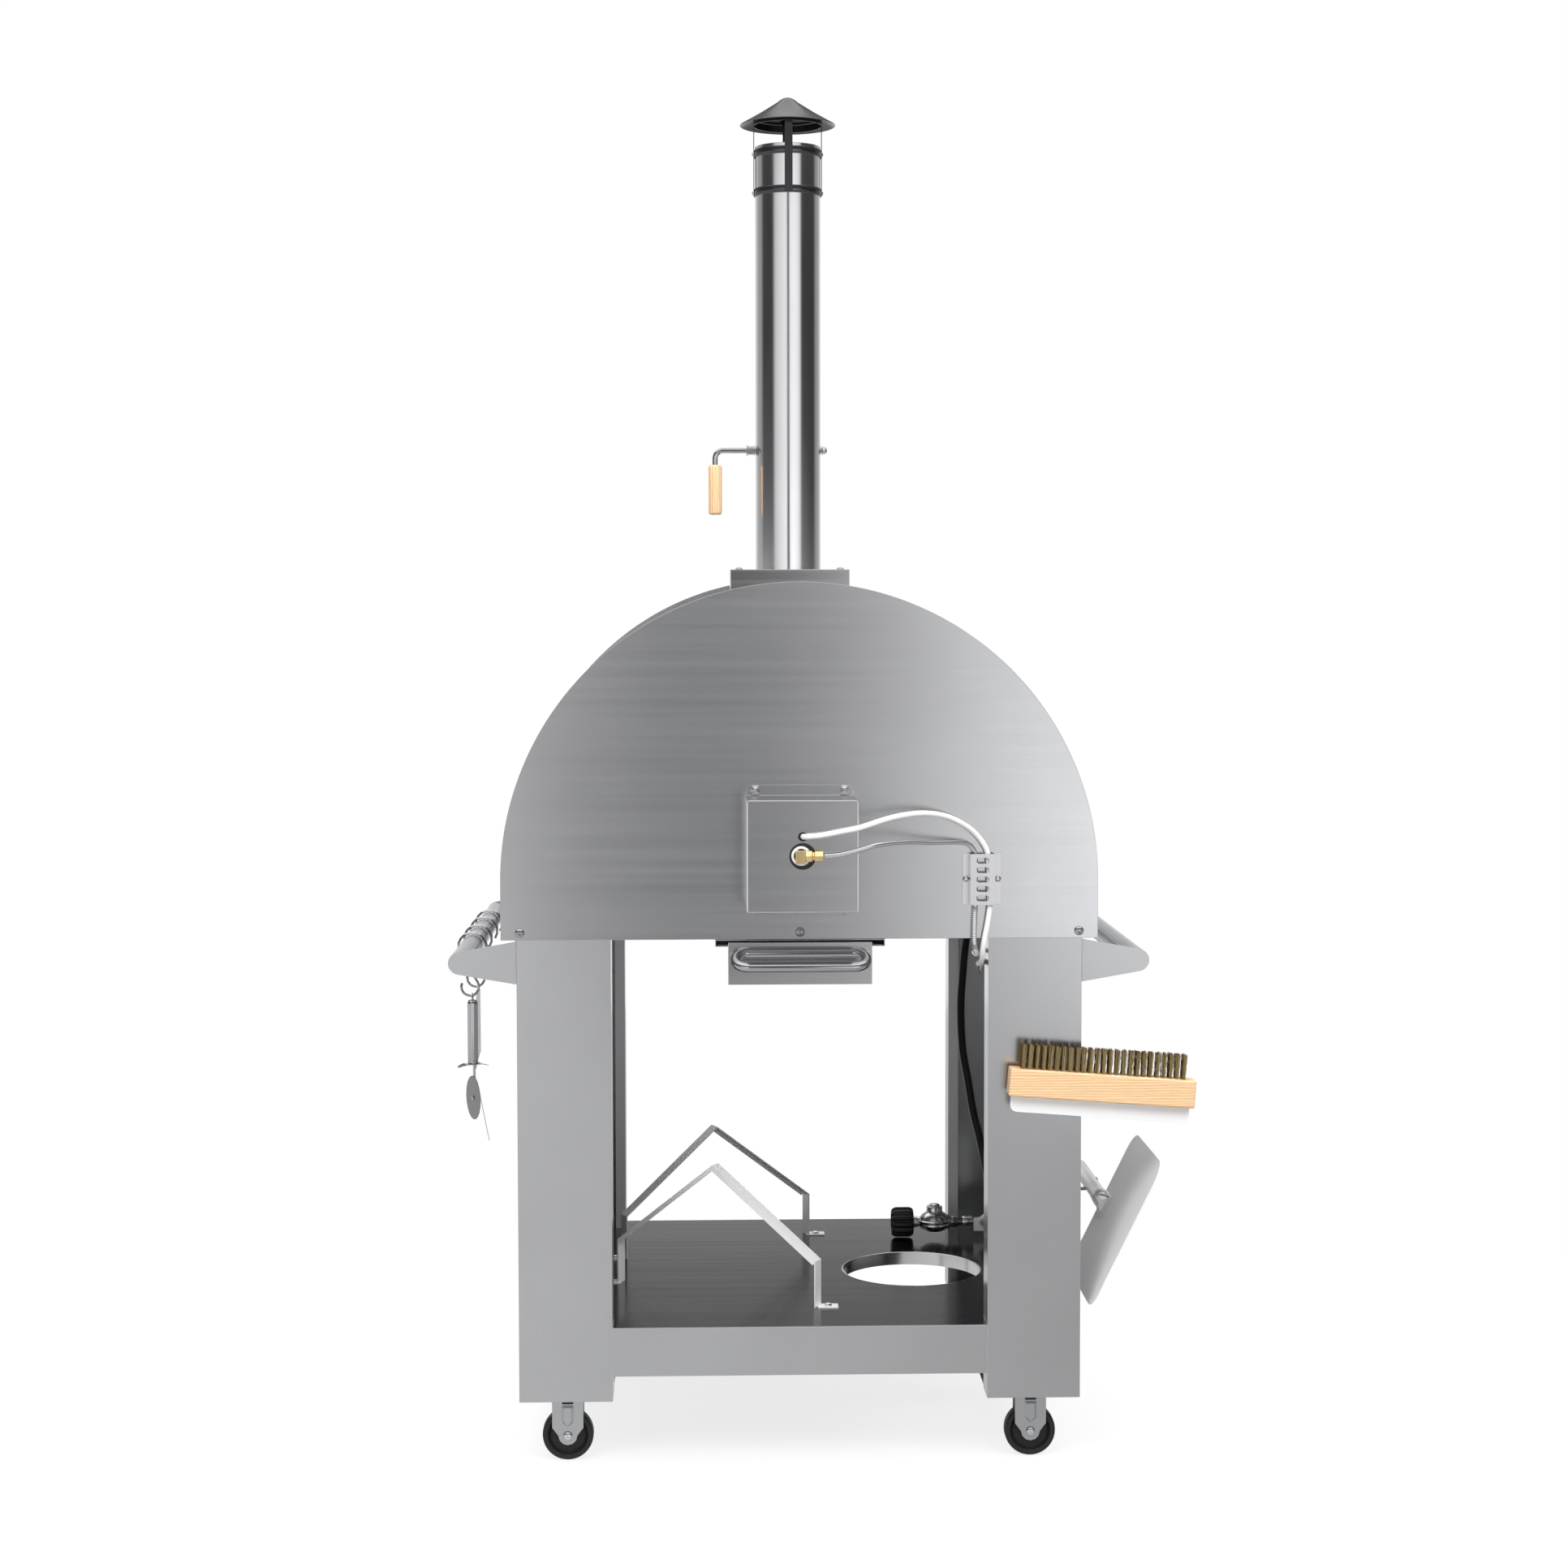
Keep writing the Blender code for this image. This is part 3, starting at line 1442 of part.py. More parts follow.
def damper():
    """The damper plate on its bent rod, the wooden grip and the spring."""
    hinge = pivot("damper_axis", (0, flue_centre_y, damper_height))
    bend = damper_bend_radius
    corner = arc((damper_reach - bend, damper_height - bend), bend, pi / 2, 0, 6)
    foot = damper_height - damper_rod_drop
    path = [(-damper_end_reach, damper_height), *corner, (damper_reach, foot)]
    bar = tube([(x, flue_centre_y, z) for x, z in path], damper_rod_radius)
    half = damper_plate_thickness / 2
    disc = rod(
        (0, flue_centre_y - half, damper_height),
        (0, flue_centre_y + half, damper_height),
        damper_plate_radius,
        round_steps,
    )
    washer_x = flue_radius + damper_washer_gap
    washer = rod(
        (washer_x, flue_centre_y, damper_height),
        (washer_x + damper_washer_thickness, flue_centre_y, damper_height),
        damper_washer_radius,
    )
    nut_x = damper_end_reach - damper_end_thread
    nut = rod(
        (-nut_x, flue_centre_y, damper_height),
        (-nut_x + damper_nut_thickness, flue_centre_y, damper_height),
        damper_nut_radius,
        6,
    )
    join(bar, disc, washer, nut)
    keep("damper", bar, satin, hinge)

    top = damper_height - grip_top_drop
    bore = damper_rod_radius + fit_gap
    bore_end = foot - fit_gap - top
    waist = grip_radius * grip_end_share
    edge = grip_radius - waist
    profile = [
        (0, bore_end),
        (bore, bore_end),
        (bore, 0),
        (waist, 0),
        (grip_radius, -edge),
        (grip_radius, edge - grip_length),
        (waist, -grip_length),
        (0, -grip_length),
    ]
    grip = turned(profile, (damper_reach, flue_centre_y, top), (0, 0, 1), small_steps)
    keep("damper_grip", grip, beech, hinge)

    start = flue_radius + fit_gap + spring_wire_radius
    end = washer_x - fit_gap - spring_wire_radius
    steps = spring_turns * curl_points
    coil = []
    for step in range(steps + 1):
        turn = 2 * pi * spring_turns * step / steps
        x = start + (end - start) * step / steps
        y = flue_centre_y + spring_coil_radius * sin(turn)
        z = damper_height + spring_coil_radius * cos(turn)
        coil.append((x, y, z))
    spring = tube(coil, spring_wire_radius, 1)
    pitch = (end - start) / spring_turns
    print("least gap between spring curls", round(pitch - 2 * spring_wire_radius, 5))
    keep("damper_spring", spring, satin)


def drawer():
    """The ash drawer, its pull and the channels that carry it."""
    top = cart_top_height
    low = top - runner_height
    lip = runner_half_width - runner_lip_width
    path = [
        (-lip, low),
        (-runner_half_width, low),
        (-runner_half_width, top),
        (runner_half_width, top),
        (runner_half_width, low),
        (lip, low),
    ]
    face_inner = panel_rear_y + drawer_face_stand_off
    runner_rear = face_inner - fit_gap
    runner = plate(folded(path, runner_sheet), "Y", runner_rear - runner_length, runner_rear)
    cut(runner, ash_slot())
    keep("drawer_carrier", runner, zinc_plate)

    slide = pivot("drawer_slide", (0, face_inner, drawer_face_bottom))
    rim_low = low + runner_sheet + fit_gap
    rim_top = rim_low + drawer_sheet
    floor = drawer_face_bottom + drawer_bottom_rise
    low_y = face_inner - drawer_length
    corner_low = (-drawer_half_width, low_y, floor)
    corner_high = (drawer_half_width, face_inner + weld_bite, rim_top)
    ash_box = tray(corner_low, corner_high, drawer_sheet, (2, 1))
    for side in (-1, 1):
        pair = (side * (drawer_half_width - weld_bite), side * (drawer_half_width + drawer_rim_width))
        x_low, x_high = sorted(pair)
        join(ash_box, box((x_low, low_y, rim_low), (x_high, face_inner - runner_stop_gap, rim_top)))
    face = box(
        (-drawer_face_half_width, face_inner, drawer_face_bottom),
        (drawer_face_half_width, face_inner + drawer_face_sheet, drawer_face_top),
    )
    join(ash_box, face)
    keep("ash_drawer", ash_box, brushed, slide)

    back_y = face_inner + drawer_face_sheet + fit_gap + pull_radius
    front_y_pull = back_y + pull_reach - pull_radius
    lean = pull_drop / (front_y_pull - back_y)
    half = pull_half_width - pull_radius
    corners = [(half, back_y), (half, front_y_pull), (-half, front_y_pull), (-half, back_y)]
    loop = rounded(corners, pull_corner_radius, 4)
    back_z = drawer_face_top - pull_back_rise
    ring = tube([(x, y, back_z - (y - back_y) * lean) for x, y in loop], pull_radius, 2, True)
    keep("drawer_handle", ring, polished, slide)


def door():
    """The lift-off door over the mouth, its handle and the thermometer."""
    slide = pivot("door_slide", (0, fascia_front_y, mouth_sill))
    face_rear = fascia_front_y - fit_gap
    face_front = face_rear - door_thickness
    leaf = plate(mouth_outline(door_margin), "Y", face_front, face_rear)
    inner = mouth_outline(-door_plug_gap - door_plug_sheet)
    rear = face_rear + door_plug_depth
    plug = plate(mouth_outline(-door_plug_gap), "Y", face_rear - weld_bite, rear, [inner])
    join(leaf, plug)
    gauge_z = mouth_sill + gauge_rise
    gauge_hole = rod(
        (0, face_front - cut_overrun, gauge_z),
        (0, face_rear + cut_overrun, gauge_z),
        gauge_stem_radius + fit_gap,
    )
    cut(leaf, gauge_hole)
    keep("door", leaf, brushed, slide)

    height = mouth_sill + door_handle_rise
    start_y = face_front - fit_gap
    front = start_y - door_handle_reach
    half = door_handle_half_width
    turn = door_handle_corner_radius
    path = [(half, start_y)]
    path += arc((half - turn, front + turn), turn, 0, -pi / 2, 5)
    path += arc((-half + turn, front + turn), turn, -pi / 2, -pi, 5)
    path += [(-half, start_y)]
    bar = tube([(x, y, height) for x, y in path], door_handle_radius)
    keep("door_handle", bar, polished, slide)

    edge = gauge_radius * gauge_edge_share
    profile = [
        (0, gauge_depth),
        (edge, gauge_depth),
        (gauge_radius, gauge_depth * gauge_edge_share),
        (gauge_radius, 0),
        (gauge_stem_radius, 0),
        (gauge_stem_radius, -gauge_stem_length),
        (0, -gauge_stem_length),
    ]
    gauge = turned(profile, (0, face_front - fit_gap, gauge_z), (0, -1, 0))
    keep("thermometer", gauge, gauge_finish, slide)


def controls():
    """The control panel with its valve and igniter body, the knob and the button."""
    x = -leg_centre_x
    rear = front_y - fit_gap
    front = rear - control_depth
    low = (x - control_half_width, front, control_bottom)
    high = (x + control_half_width, rear, control_top)
    panel = tray(low, high, control_sheet, (1, 1))
    block_front = front_y + frame_sheet + fit_gap
    block_rear = block_front + valve_depth
    block = box(
        (x - valve_half_width, block_front, valve_bottom),
        (x + valve_half_width, block_rear, valve_top),
    )
    boss_ends = [(x, y + weld_bite, knob_height) for y in (front, block_front)]
    boss = rod(*boss_ends, valve_boss_radius)
    stem_end = front - knob_gap - knob_length + knob_cap
    stem = rod((x, stem_end, knob_height), (x, front + weld_bite * 2, knob_height), stem_radius)
    join(panel, boss, block, stem)
    ports = [(hose_port_x, hose_port_height, hose_port_radius)]
    ports.append((line_port_x, line_port_height, line_port_radius))
    for port_x, port_z, radius in ports:
        start = (port_x, block_rear - weld_bite, port_z)
        join(panel, rod(start, (port_x, block_rear + valve_port_length, port_z), radius))
    boss_rear = front + igniter_boss_length
    boss_ends = [(x, y, igniter_height) for y in (front + weld_bite, boss_rear)]
    join(panel, rod(*boss_ends, igniter_boss_radius))
    bore_end = front + button_length - button_proud + button_travel + fit_gap
    bore = button_radius + fit_gap
    cut(panel, rod((x, front - cut_overrun, igniter_height), (x, bore_end, igniter_height), bore))
    keep("control_panel", panel, satin)

    turn = pivot("knob_axis", (x, front, knob_height))
    base_y = front - knob_gap
    flutes = []
    for step in range(knob_flutes * 2):
        radius = knob_radius - (knob_flute_depth if step % 2 else 0)
        angle = pi * step / knob_flutes
        flutes.append((x + radius * cos(angle), knob_height + radius * sin(angle)))
    knob = plate(flutes, "Y", base_y - knob_length, base_y - knob_skirt_length + weld_bite)
    skirt = rod((x, base_y - knob_skirt_length, knob_height), (x, base_y, knob_height), knob_skirt_radius)
    join(knob, skirt)
    socket_end = stem_end - fit_gap
    socket = rod((x, socket_end, knob_height), (x, base_y + cut_overrun, knob_height), stem_radius + fit_gap)
    cut(knob, socket)
    keep("control_knob", knob, black_knob, turn)

    push = pivot("button_slide", (x, front, igniter_height))
    start = front - button_proud
    button = rod((x, start, igniter_height), (x, start + button_length, igniter_height), button_radius)
    keep("igniter_button", button, black_knob, push)


def regulator():
    """The regulator on the shelf with its handwheel."""
    y, z = regulator_y, regulator_axis_height
    profile = [(regulator_body_radius * a, regulator_body_height * b) for a, b in regulator_shares]
    body = turned(profile, (regulator_body_x, y, z), (0, 0, 1), wheel_steps)
    neck_end = handwheel_left_x - handwheel_length
    stem_end = handwheel_left_x - handwheel_stem_inset
    neck = rod((regulator_body_x, y, z), (neck_end - fit_gap, y, z), regulator_neck_radius)
    stem = rod((neck_end - weld_bite, y, z), (stem_end, y, z), regulator_stem_radius)
    outlet = rod((regulator_body_x, y, z), (regulator_outlet_end_x, y, z), regulator_outlet_radius)
    join(body, neck, stem, outlet)
    keep("regulator", body, satin)

    turn = pivot("handwheel_axis", (neck_end, y, z))
    outline = []
    for step in range(handwheel_flutes):
        middle = 2 * pi * step / handwheel_flutes + pi / 2
        land = pi / handwheel_flutes * handwheel_land_share
        for angle, radius in ((-land, 0), (land, 0), (pi / handwheel_flutes, handwheel_groove)):
            length = handwheel_radius - radius
            place = middle + angle
            outline.append((y + length * cos(place), z + length * sin(place)))
    wheel = plate(outline, "X", neck_end, handwheel_left_x)
    bore_low = (neck_end - cut_overrun, y, z)
    cut(wheel, rod(bore_low, (handwheel_left_x + cut_overrun, y, z), handwheel_bore_radius))
    keep("regulator_handwheel", wheel, black_knob, turn)


def cords():
    """The gas hose, the ignition cable and the gas line."""
    points = [hose_route[0], *smooth_route(hose_route[1:-1], hose_spacing), hose_route[-1]]
    keep("gas_hose", tube(points, hose_radius, 2), hose_rubber)
    points = smooth_route(cable_route, cord_step)
    picks = thinned(points, cord_longest, radians(cord_bend_degrees))
    keep("igniter_cable", tube([points[i] for i in picks], cable_radius), sleeve)
    points = smooth_route(line_route, cord_step)
    first = len(smooth_route(line_route[:line_rib_knot], cord_step))
    ribbed = range(first, first + line_rib_count * 2)
    picks = thinned(points, cord_longest, radians(cord_bend_degrees), ribbed)
    radii = []
    for i in picks:
        rib = line_rib_radius if (i - first) % 2 else line_rib_root_radius
        radii.append(rib if i in ribbed else line_radius)
    line = tube([points[i] for i in picks], line_radius, 2, False, radii)
    inner = [points[i] for i in thinned(points, cord_longest, radians(cord_bend_degrees))]
    inner[0] = inner[0] + (inner[0] - inner[1]).normalized() * cut_overrun
    inner[-1] = inner[-1] + (inner[-1] - inner[-2]).normalized() * cut_overrun
    cut(line, tube(inner, line_bore_radius, 1))
    keep("gas_line", line, satin)


def hook_points(y):
    """The S shape of a rail hook, from its upper end over the rail to its lower end."""
    upper = Vector((hook_upper_x, hook_top - hook_upper_radius))
    lower = Vector((hook_lower_x, hook_low + hook_lower_radius))
    across = upper - lower
    turn = asin((hook_upper_radius + hook_lower_radius) / across.length)
    leave = atan2(across.y, across.x) - pi / 2 - turn
    tail = pi + hook_upper_tail / hook_upper_radius
    path = arc(upper, hook_upper_radius, tail, leave, hook_upper_steps)
    path += arc(lower, hook_lower_radius, pi + leave, 2 * pi + hook_lower_rise, hook_lower_steps)
    return [(x, y, z) for x, z in path]


def tool_ring(y):
    """The small ring by which a tool hangs on a hook."""
    top = tool_hang_height + hook_wire_radius + hang_gap + cutter_ring_wire_radius
    centre = (y, top - cutter_ring_radius)
    loop = arc(centre, cutter_ring_radius, 0, 2 * pi, 12)[:-1]
    ring = tube([(tool_x, a, b) for a, b in loop], cutter_ring_wire_radius, 1, True)
    return ring, centre[1] - cutter_ring_radius + cutter_ring_wire_radius


def rail_tools():
    """Four hooks on the left rail, the pizza cutter and the server."""
    for index, inset in enumerate(hook_insets, 1):
        hook = tube(hook_points(rear_y - inset), hook_wire_radius, 1)
        keep(f"rail_hook_{index}", hook, polished)

    y = rear_y - hook_insets[0]
    hang = pivot("cutter_hang", (tool_x, y, tool_hang_height))
    ring, top = tool_ring(y)
    foot = top - cutter_handle_length
    handle = rod((0, 0, foot), (0, 0, top), cutter_handle_radius)
    guard_path = [
        (-cutter_guard_half_length, foot - cutter_guard_droop),
        (-cutter_guard_half_length / 2, foot),
        (cutter_guard_half_length / 2, foot),
        (cutter_guard_half_length, foot - cutter_guard_droop),
    ]
    half = cutter_guard_half_width
    guard = plate(folded(guard_path, cutter_guard_sheet), "Y", -half, half)
    wheel_z = foot - cutter_wheel_drop
    near = cutter_wheel_thickness / 2 + fit_gap
    far = near + cutter_neck_thickness
    width = cutter_neck_width / 2
    outline = [(width, foot + weld_bite), (-width, foot + weld_bite)]
    outline += arc((0, wheel_z), width, pi, 2 * pi, 8)
    neck = plate(outline, "X", near, far)
    pin = rod((-near - cutter_pin_head, 0, wheel_z), (far, 0, wheel_z), cutter_pin_radius)
    head = rod((-near - cutter_pin_head, 0, wheel_z), (-near, 0, wheel_z), cutter_pin_head_radius)
    join(handle, guard, neck, pin, head)
    turn = Matrix.Rotation(radians(90 - cutter_turn_degrees), 4, "Z")
    place = Matrix.Translation((tool_x, y, 0)) @ turn
    handle.data.transform(place)
    join(handle, ring)
    keep("cutter_handle", handle, polished, hang)

    spin = pivot("cutter_axis", (tool_x, y, wheel_z))
    thick = cutter_wheel_thickness / 2
    edge = cutter_wheel_radius - cutter_bevel
    bore = cutter_pin_radius + axle_clearance
    profile = [
        (bore, thick),
        (edge, thick),
        (cutter_wheel_radius, thick * cutter_edge_share),
        (cutter_wheel_radius, -thick * cutter_edge_share),
        (edge, -thick),
        (bore, -thick),
    ]
    wheel = turned(profile, (0, 0, 0), (1, 0, 0), round_steps)
    wheel.data.transform(Matrix.Translation((0, 0, wheel_z)))
    wheel.data.transform(place)
    keep("cutter_wheel", wheel, satin, spin)

    y = rear_y - hook_insets[1]
    hang = pivot("server_hang", (tool_x, y, tool_hang_height))
    ring, top = tool_ring(y)
    foot = top - server_handle_length
    x_half, y_half = server_handle_thickness / 2, server_handle_width / 2
    handle = box((tool_x - x_half, y - y_half, foot), (tool_x + x_half, y + y_half, top))
    blade_x = tool_x + server_blade_offset
    blade_top = foot - server_neck_drop
    neck = rod((tool_x, y, foot + x_half), (blade_x, y, blade_top), server_neck_radius, 8)
    outline = [(server_blade_half_width * a, -server_blade_length * b) for a, b in server_blade_shares]
    blade = plate(outline, "X", -server_blade_thickness / 2, server_blade_thickness / 2)
    lean = Matrix.Rotation(radians(server_lean_degrees), 4, "Y")
    twist = Matrix.Rotation(radians(server_twist_degrees), 4, "Z")
    blade.data.transform(Matrix.Translation((blade_x, y, blade_top + server_neck_radius)) @ lean @ twist)
    join(handle, neck, blade, ring)
    keep("server", handle, satin, hang)


def brush_place():
    """From the brush's own frame to the cart: x along the block, z up through the bristles."""
    middle = Matrix.Translation((brush_centre_x, (brush_front_y + brush_rear_y) / 2, brush_centre_height))
    return middle @ Matrix.Rotation(-brush_lean, 4, "Y")


def bristle_mesh(low_z):
    """Strands standing on a thin slice of the block, all one closed mesh."""
    rng = random.Random(7)
    half_x, half_y = bristle_field_length / 2, bristle_field_depth / 2
    step_x = bristle_field_length / bristle_columns
    step_y = bristle_field_depth / bristle_rows
    top_z = low_z + bristle_slice
    shape = bmesh.new()
    grid = []
    for row in range(bristle_rows + 1):
        y = -half_y + row * step_y
        line = [shape.verts.new((-half_x + c * step_x, y, top_z)) for c in range(bristle_columns + 1)]
        grid.append(line)
    corners = ((-1, -1), (1, -1), (0, 1))
    for row in range(bristle_rows):
        for column in range(bristle_columns):
            around = [grid[row][column], grid[row][column + 1]]
            around += [grid[row + 1][column + 1], grid[row + 1][column]]
            x = -half_x + (column + 1 / 2) * step_x
            y = -half_y + (row + 1 / 2) * step_y
            lean_x = rng.uniform(-1, 1) * step_x * bristle_splay_share
            lean_y = rng.uniform(-1, 1) * step_y * bristle_splay_share
            tip_z = top_z + bristle_length * rng.uniform(bristle_short_share, 1)
            places = [(x + a * strand_half, y + b * strand_half, top_z) for a, b in corners]
            base = [shape.verts.new(place) for place in places]
            tip = shape.verts.new((x + lean_x, y + lean_y, tip_z))
            shape.faces.new((around[0], around[1], base[1], base[0]))
            shape.faces.new((around[1], around[2], base[2], base[1]))
            shape.faces.new((around[2], around[3], base[2]))
            shape.faces.new((around[3], around[0], base[0], base[2]))
            for i in range(3):
                j = (i + 1) % 3
                shape.faces.new((base[i], base[j], tip))
    corners = ((-half_x, -half_y), (half_x, -half_y), (half_x, half_y), (-half_x, half_y))
    low = [shape.verts.new((x, y, low_z)) for x, y in corners]
    rows = [grid[0], [r[-1] for r in grid], grid[-1][::-1], [r[0] for r in grid][::-1]]
    for side, (a, b) in zip(rows, zip(low, low[1:] + low[:1])):
        shape.faces.new((a, b, *side[::-1]))
    shape.faces.new(low[::-1])
    bmesh.ops.recalc_face_normals(shape, faces=shape.faces)
    mesh = bpy.data.meshes.new("bristles")
    shape.to_mesh(mesh)
    shape.free()
    return mesh


def brush():
    """The brush: beech block, wire bristles, scraper and handle."""
    place = brush_place()
    half_x, half_y, half_z = brush_length / 2, brush_block_depth / 2, brush_block_height / 2
    block = box((-half_x, -half_y, -half_z), (half_x, half_y, half_z))
    bevel = block.modifiers.new("edges", "BEVEL")
    bevel.width = brush_edge
    bevel.segments = 2
    mesh = evaluated(block)
    block.modifiers.clear()
    block.data = mesh
    slot_half = scraper_thickness / 2 + fit_gap
    slot_x = scraper_length / 2 + fit_gap
    slot_top = -half_z + scraper_tuck
    cut(block, box((-slot_x, -slot_half, -half_z - cut_overrun), (slot_x, slot_half, slot_top)))
    handle_start = -half_y + brush_socket
    bore = brush_handle_radius + fit_gap
    cut(block, rod((0, -half_y - cut_overrun, 0), (0, handle_start, 0), bore))
    block.data.transform(place)
    keep("brush_head", block, beech)

    wires = linked("solid", bristle_mesh(half_z + fit_gap))
    wires.data.transform(place)
    keep("brush_bristles", wires, bristle_wire)

    low = -half_z - scraper_height
    edge = scraper_length / 2
    outline = [(-edge, slot_top - fit_gap), (edge, slot_top - fit_gap), (edge, low), (-edge, low)]
    corners = (0, 0, scraper_corner, scraper_corner)
    thick = scraper_thickness / 2
    scraper = plate(rounded(outline, corners), "Y", -thick, thick)
    scraper.data.transform(place)
    keep("brush_scraper", scraper, satin)

    handle_end = -half_y - brush_handle_length
    handle = rod((0, handle_end, 0), (0, handle_start - fit_gap, 0), brush_handle_radius)
    handle.data.transform(place)
    keep("brush_handle", handle, beech)


def peel():
    """The peel: thin blade with a riveted socket, and its long handle."""
    rear = rear_y + peel_blade_overhang
    front = rear - peel_blade_length
    half = peel_blade_width / 2
    corners = [(half, front), (half, rear), (-half, rear), (-half, front)]
    thick = peel_blade_thickness / 2
    blade = plate(rounded(corners, peel_blade_corner, 6), "Z", -thick, thick)
    socket_front = front - peel_socket_length + peel_socket_overlap
    socket = rod((0, socket_front, 0), (0, front + peel_socket_overlap, 0), peel_socket_radius)
    tongue = box(
        (-peel_tongue_half_width, front, -peel_tongue_half_thickness),
        (peel_tongue_half_width, front + peel_tongue_length, peel_tongue_half_thickness),
    )
    join(blade, socket, tongue)
    for x, back in peel_rivets:
        at = (x, front + peel_tongue_length - back, peel_tongue_half_thickness)
        join(blade, screw_head(at, (0, 0, 1), peel_rivet_radius, peel_rivet_height))
    bore = peel_handle_radius + fit_gap
    bore_end = socket_front + peel_socket_depth
    cut(blade, rod((0, socket_front - cut_overrun, 0), (0, bore_end, 0), bore))
    turn = Matrix.Rotation(radians(peel_lean_degrees), 4, "Y")
    place = Matrix.Translation((peel_axis_x, 0, peel_axis_height)) @ turn
    blade.data.transform(place)
    keep("peel_blade", blade, satin)

    handle_end = bore_end - fit_gap
    handle = rod((0, handle_end - peel_handle_length, 0), (0, handle_end, 0), peel_handle_radius)
    handle.data.transform(place)
    keep("peel_handle", handle, beech)


def tool_hanger():
    """A bar on the right side panel with hooked strips under the brush and the peel."""
    wall = -cart_half_width - fit_gap
    bar_low = brush_centre_height + hanger_bar_rise
    rear = rear_y - hanger_bar_inset
    front = rear - hanger_bar_length
    bar = box((wall - hanger_bar_sheet, front, bar_low), (wall, rear, bar_low + hanger_bar_height))
    brush_hold = (brush_centre_x, brush_centre_height, brush_handle_radius)
    brush_set = [(inset, *brush_hold) for inset in brush_hook_insets]
    peel_set = [(inset, peel_axis_x, peel_axis_height, peel_handle_radius) for inset in peel_hook_insets]
    for inset, x, z, radius in brush_set + peel_set:
        low = z - radius - fit_gap
        out = x - radius - fit_gap
        path = [
            (wall, bar_low + hanger_bar_height / 2),
            (wall, low - hanger_sheet),
            (out - hanger_sheet, low - hanger_sheet),
            (out - hanger_sheet, low + hanger_tip_rise),
        ]
        strip = plate(folded(path, hanger_sheet), "Y", -hanger_strip_width / 2, hanger_strip_width / 2)
        strip.data.transform(Matrix.Translation((0, rear_y - inset, 0)))
        join(bar, strip)
    keep("tool_hanger", bar, black_coat)


def build():
    side_frame("side_frame_left", 1)
    side_frame("side_frame_right", -1)
    casters()
    lower_shelf()
    wood_rack("wood_rack_rear", 1)
    wood_rack("wood_rack_front", -1)
    side_rail("side_rail_left", 1)
    side_rail("side_rail_right", -1)
    oven_base()
    body_shells()
    hearth()
    burner()
    cable_guard()
    flue()
    rain_cap()
    damper()
    drawer()
    door()
    controls()
    regulator()
    cords()
    rail_tools()
    brush()
    peel()
    tool_hanger()


build()
bpy.context.view_layer.update()
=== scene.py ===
"""Finishes, fine pieces and a small studio for a dual-fuel pizza oven on a wheeled steel cart."""

import random
from math import asin, atan2, copysign, cos, pi, radians, sin, sqrt

import bmesh
import bpy
from bpy.props import (
    BoolProperty,
    FloatProperty,
    FloatVectorProperty,
    IntProperty,
    PointerProperty,
)
from mathutils import Matrix, Vector


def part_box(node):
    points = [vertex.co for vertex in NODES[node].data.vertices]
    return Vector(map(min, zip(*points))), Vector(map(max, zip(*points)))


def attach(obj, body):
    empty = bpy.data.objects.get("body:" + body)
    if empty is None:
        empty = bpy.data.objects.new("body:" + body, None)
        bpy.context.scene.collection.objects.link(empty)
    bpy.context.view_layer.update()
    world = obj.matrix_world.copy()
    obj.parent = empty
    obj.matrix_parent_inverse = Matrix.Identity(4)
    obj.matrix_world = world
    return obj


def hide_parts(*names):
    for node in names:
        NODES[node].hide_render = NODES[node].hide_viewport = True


bl_info = {
    "name": "Pizza Oven Finishes",
    "version": (1, 0, 0),
    "blender": (4, 5, 0),
    "location": "View3D > Sidebar > Pizza Oven",
    "description": "Gives the pizza oven its finishes, fine pieces and studio",
    "category": "Add Mesh",
}

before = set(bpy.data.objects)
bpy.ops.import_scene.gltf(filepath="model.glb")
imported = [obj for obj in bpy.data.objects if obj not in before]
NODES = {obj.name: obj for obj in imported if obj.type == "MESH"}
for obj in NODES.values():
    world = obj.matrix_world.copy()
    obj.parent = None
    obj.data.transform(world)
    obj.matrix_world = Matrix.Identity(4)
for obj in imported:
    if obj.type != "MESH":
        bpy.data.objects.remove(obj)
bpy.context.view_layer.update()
X, Y, Z = (1, 0, 0), (0, 1, 0), (0, 0, 1)


def span(node):
    """A node's lowest and highest corner and its middle."""
    low, high = (Vector(corner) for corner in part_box(node))
    return low, high, (low + high) / 2


FLUE_LOW, FLUE_HIGH, FLUE_MIDDLE = span("flue_pipe")
FLUE_RADIUS = (FLUE_HIGH.x - FLUE_LOW.x) / 2

# The cart's middle on the floor. The flue stands this far in front of it.
FLUE_INSET = 0.188
CART = Vector((FLUE_MIDDLE.x, FLUE_MIDDLE.y + FLUE_INSET, 0))
CART_TOP = 0.774

# Outer faces of the rear panel and of the burner cover, and the height of the vault's centre
PANEL_Y = CART.y + 0.353
COVER_Y = PANEL_Y + 0.110
VAULT_CENTRE = 0.858

# The front legs' inner lips: from and to in X, and their place in Y
LIP_INNER, LIP_OUTER, LIP_BACK = 0.2735, 0.2900, -0.2892

# Middle and radius of the bottle's hole in the shelf
TANK_HOLE = (-0.1885, 0.0070)
TANK_RADIUS = 0.110

# Heights of the rain cap's two bands and of its rim
BAND_HEIGHTS = (1.989, 1.9267)
CAP_RIM = 2.035

PEEL_LEAN = radians(63.8)

# How far the folded legs and brackets lean out of flat, as a slope
LEG_BOW = 0.013

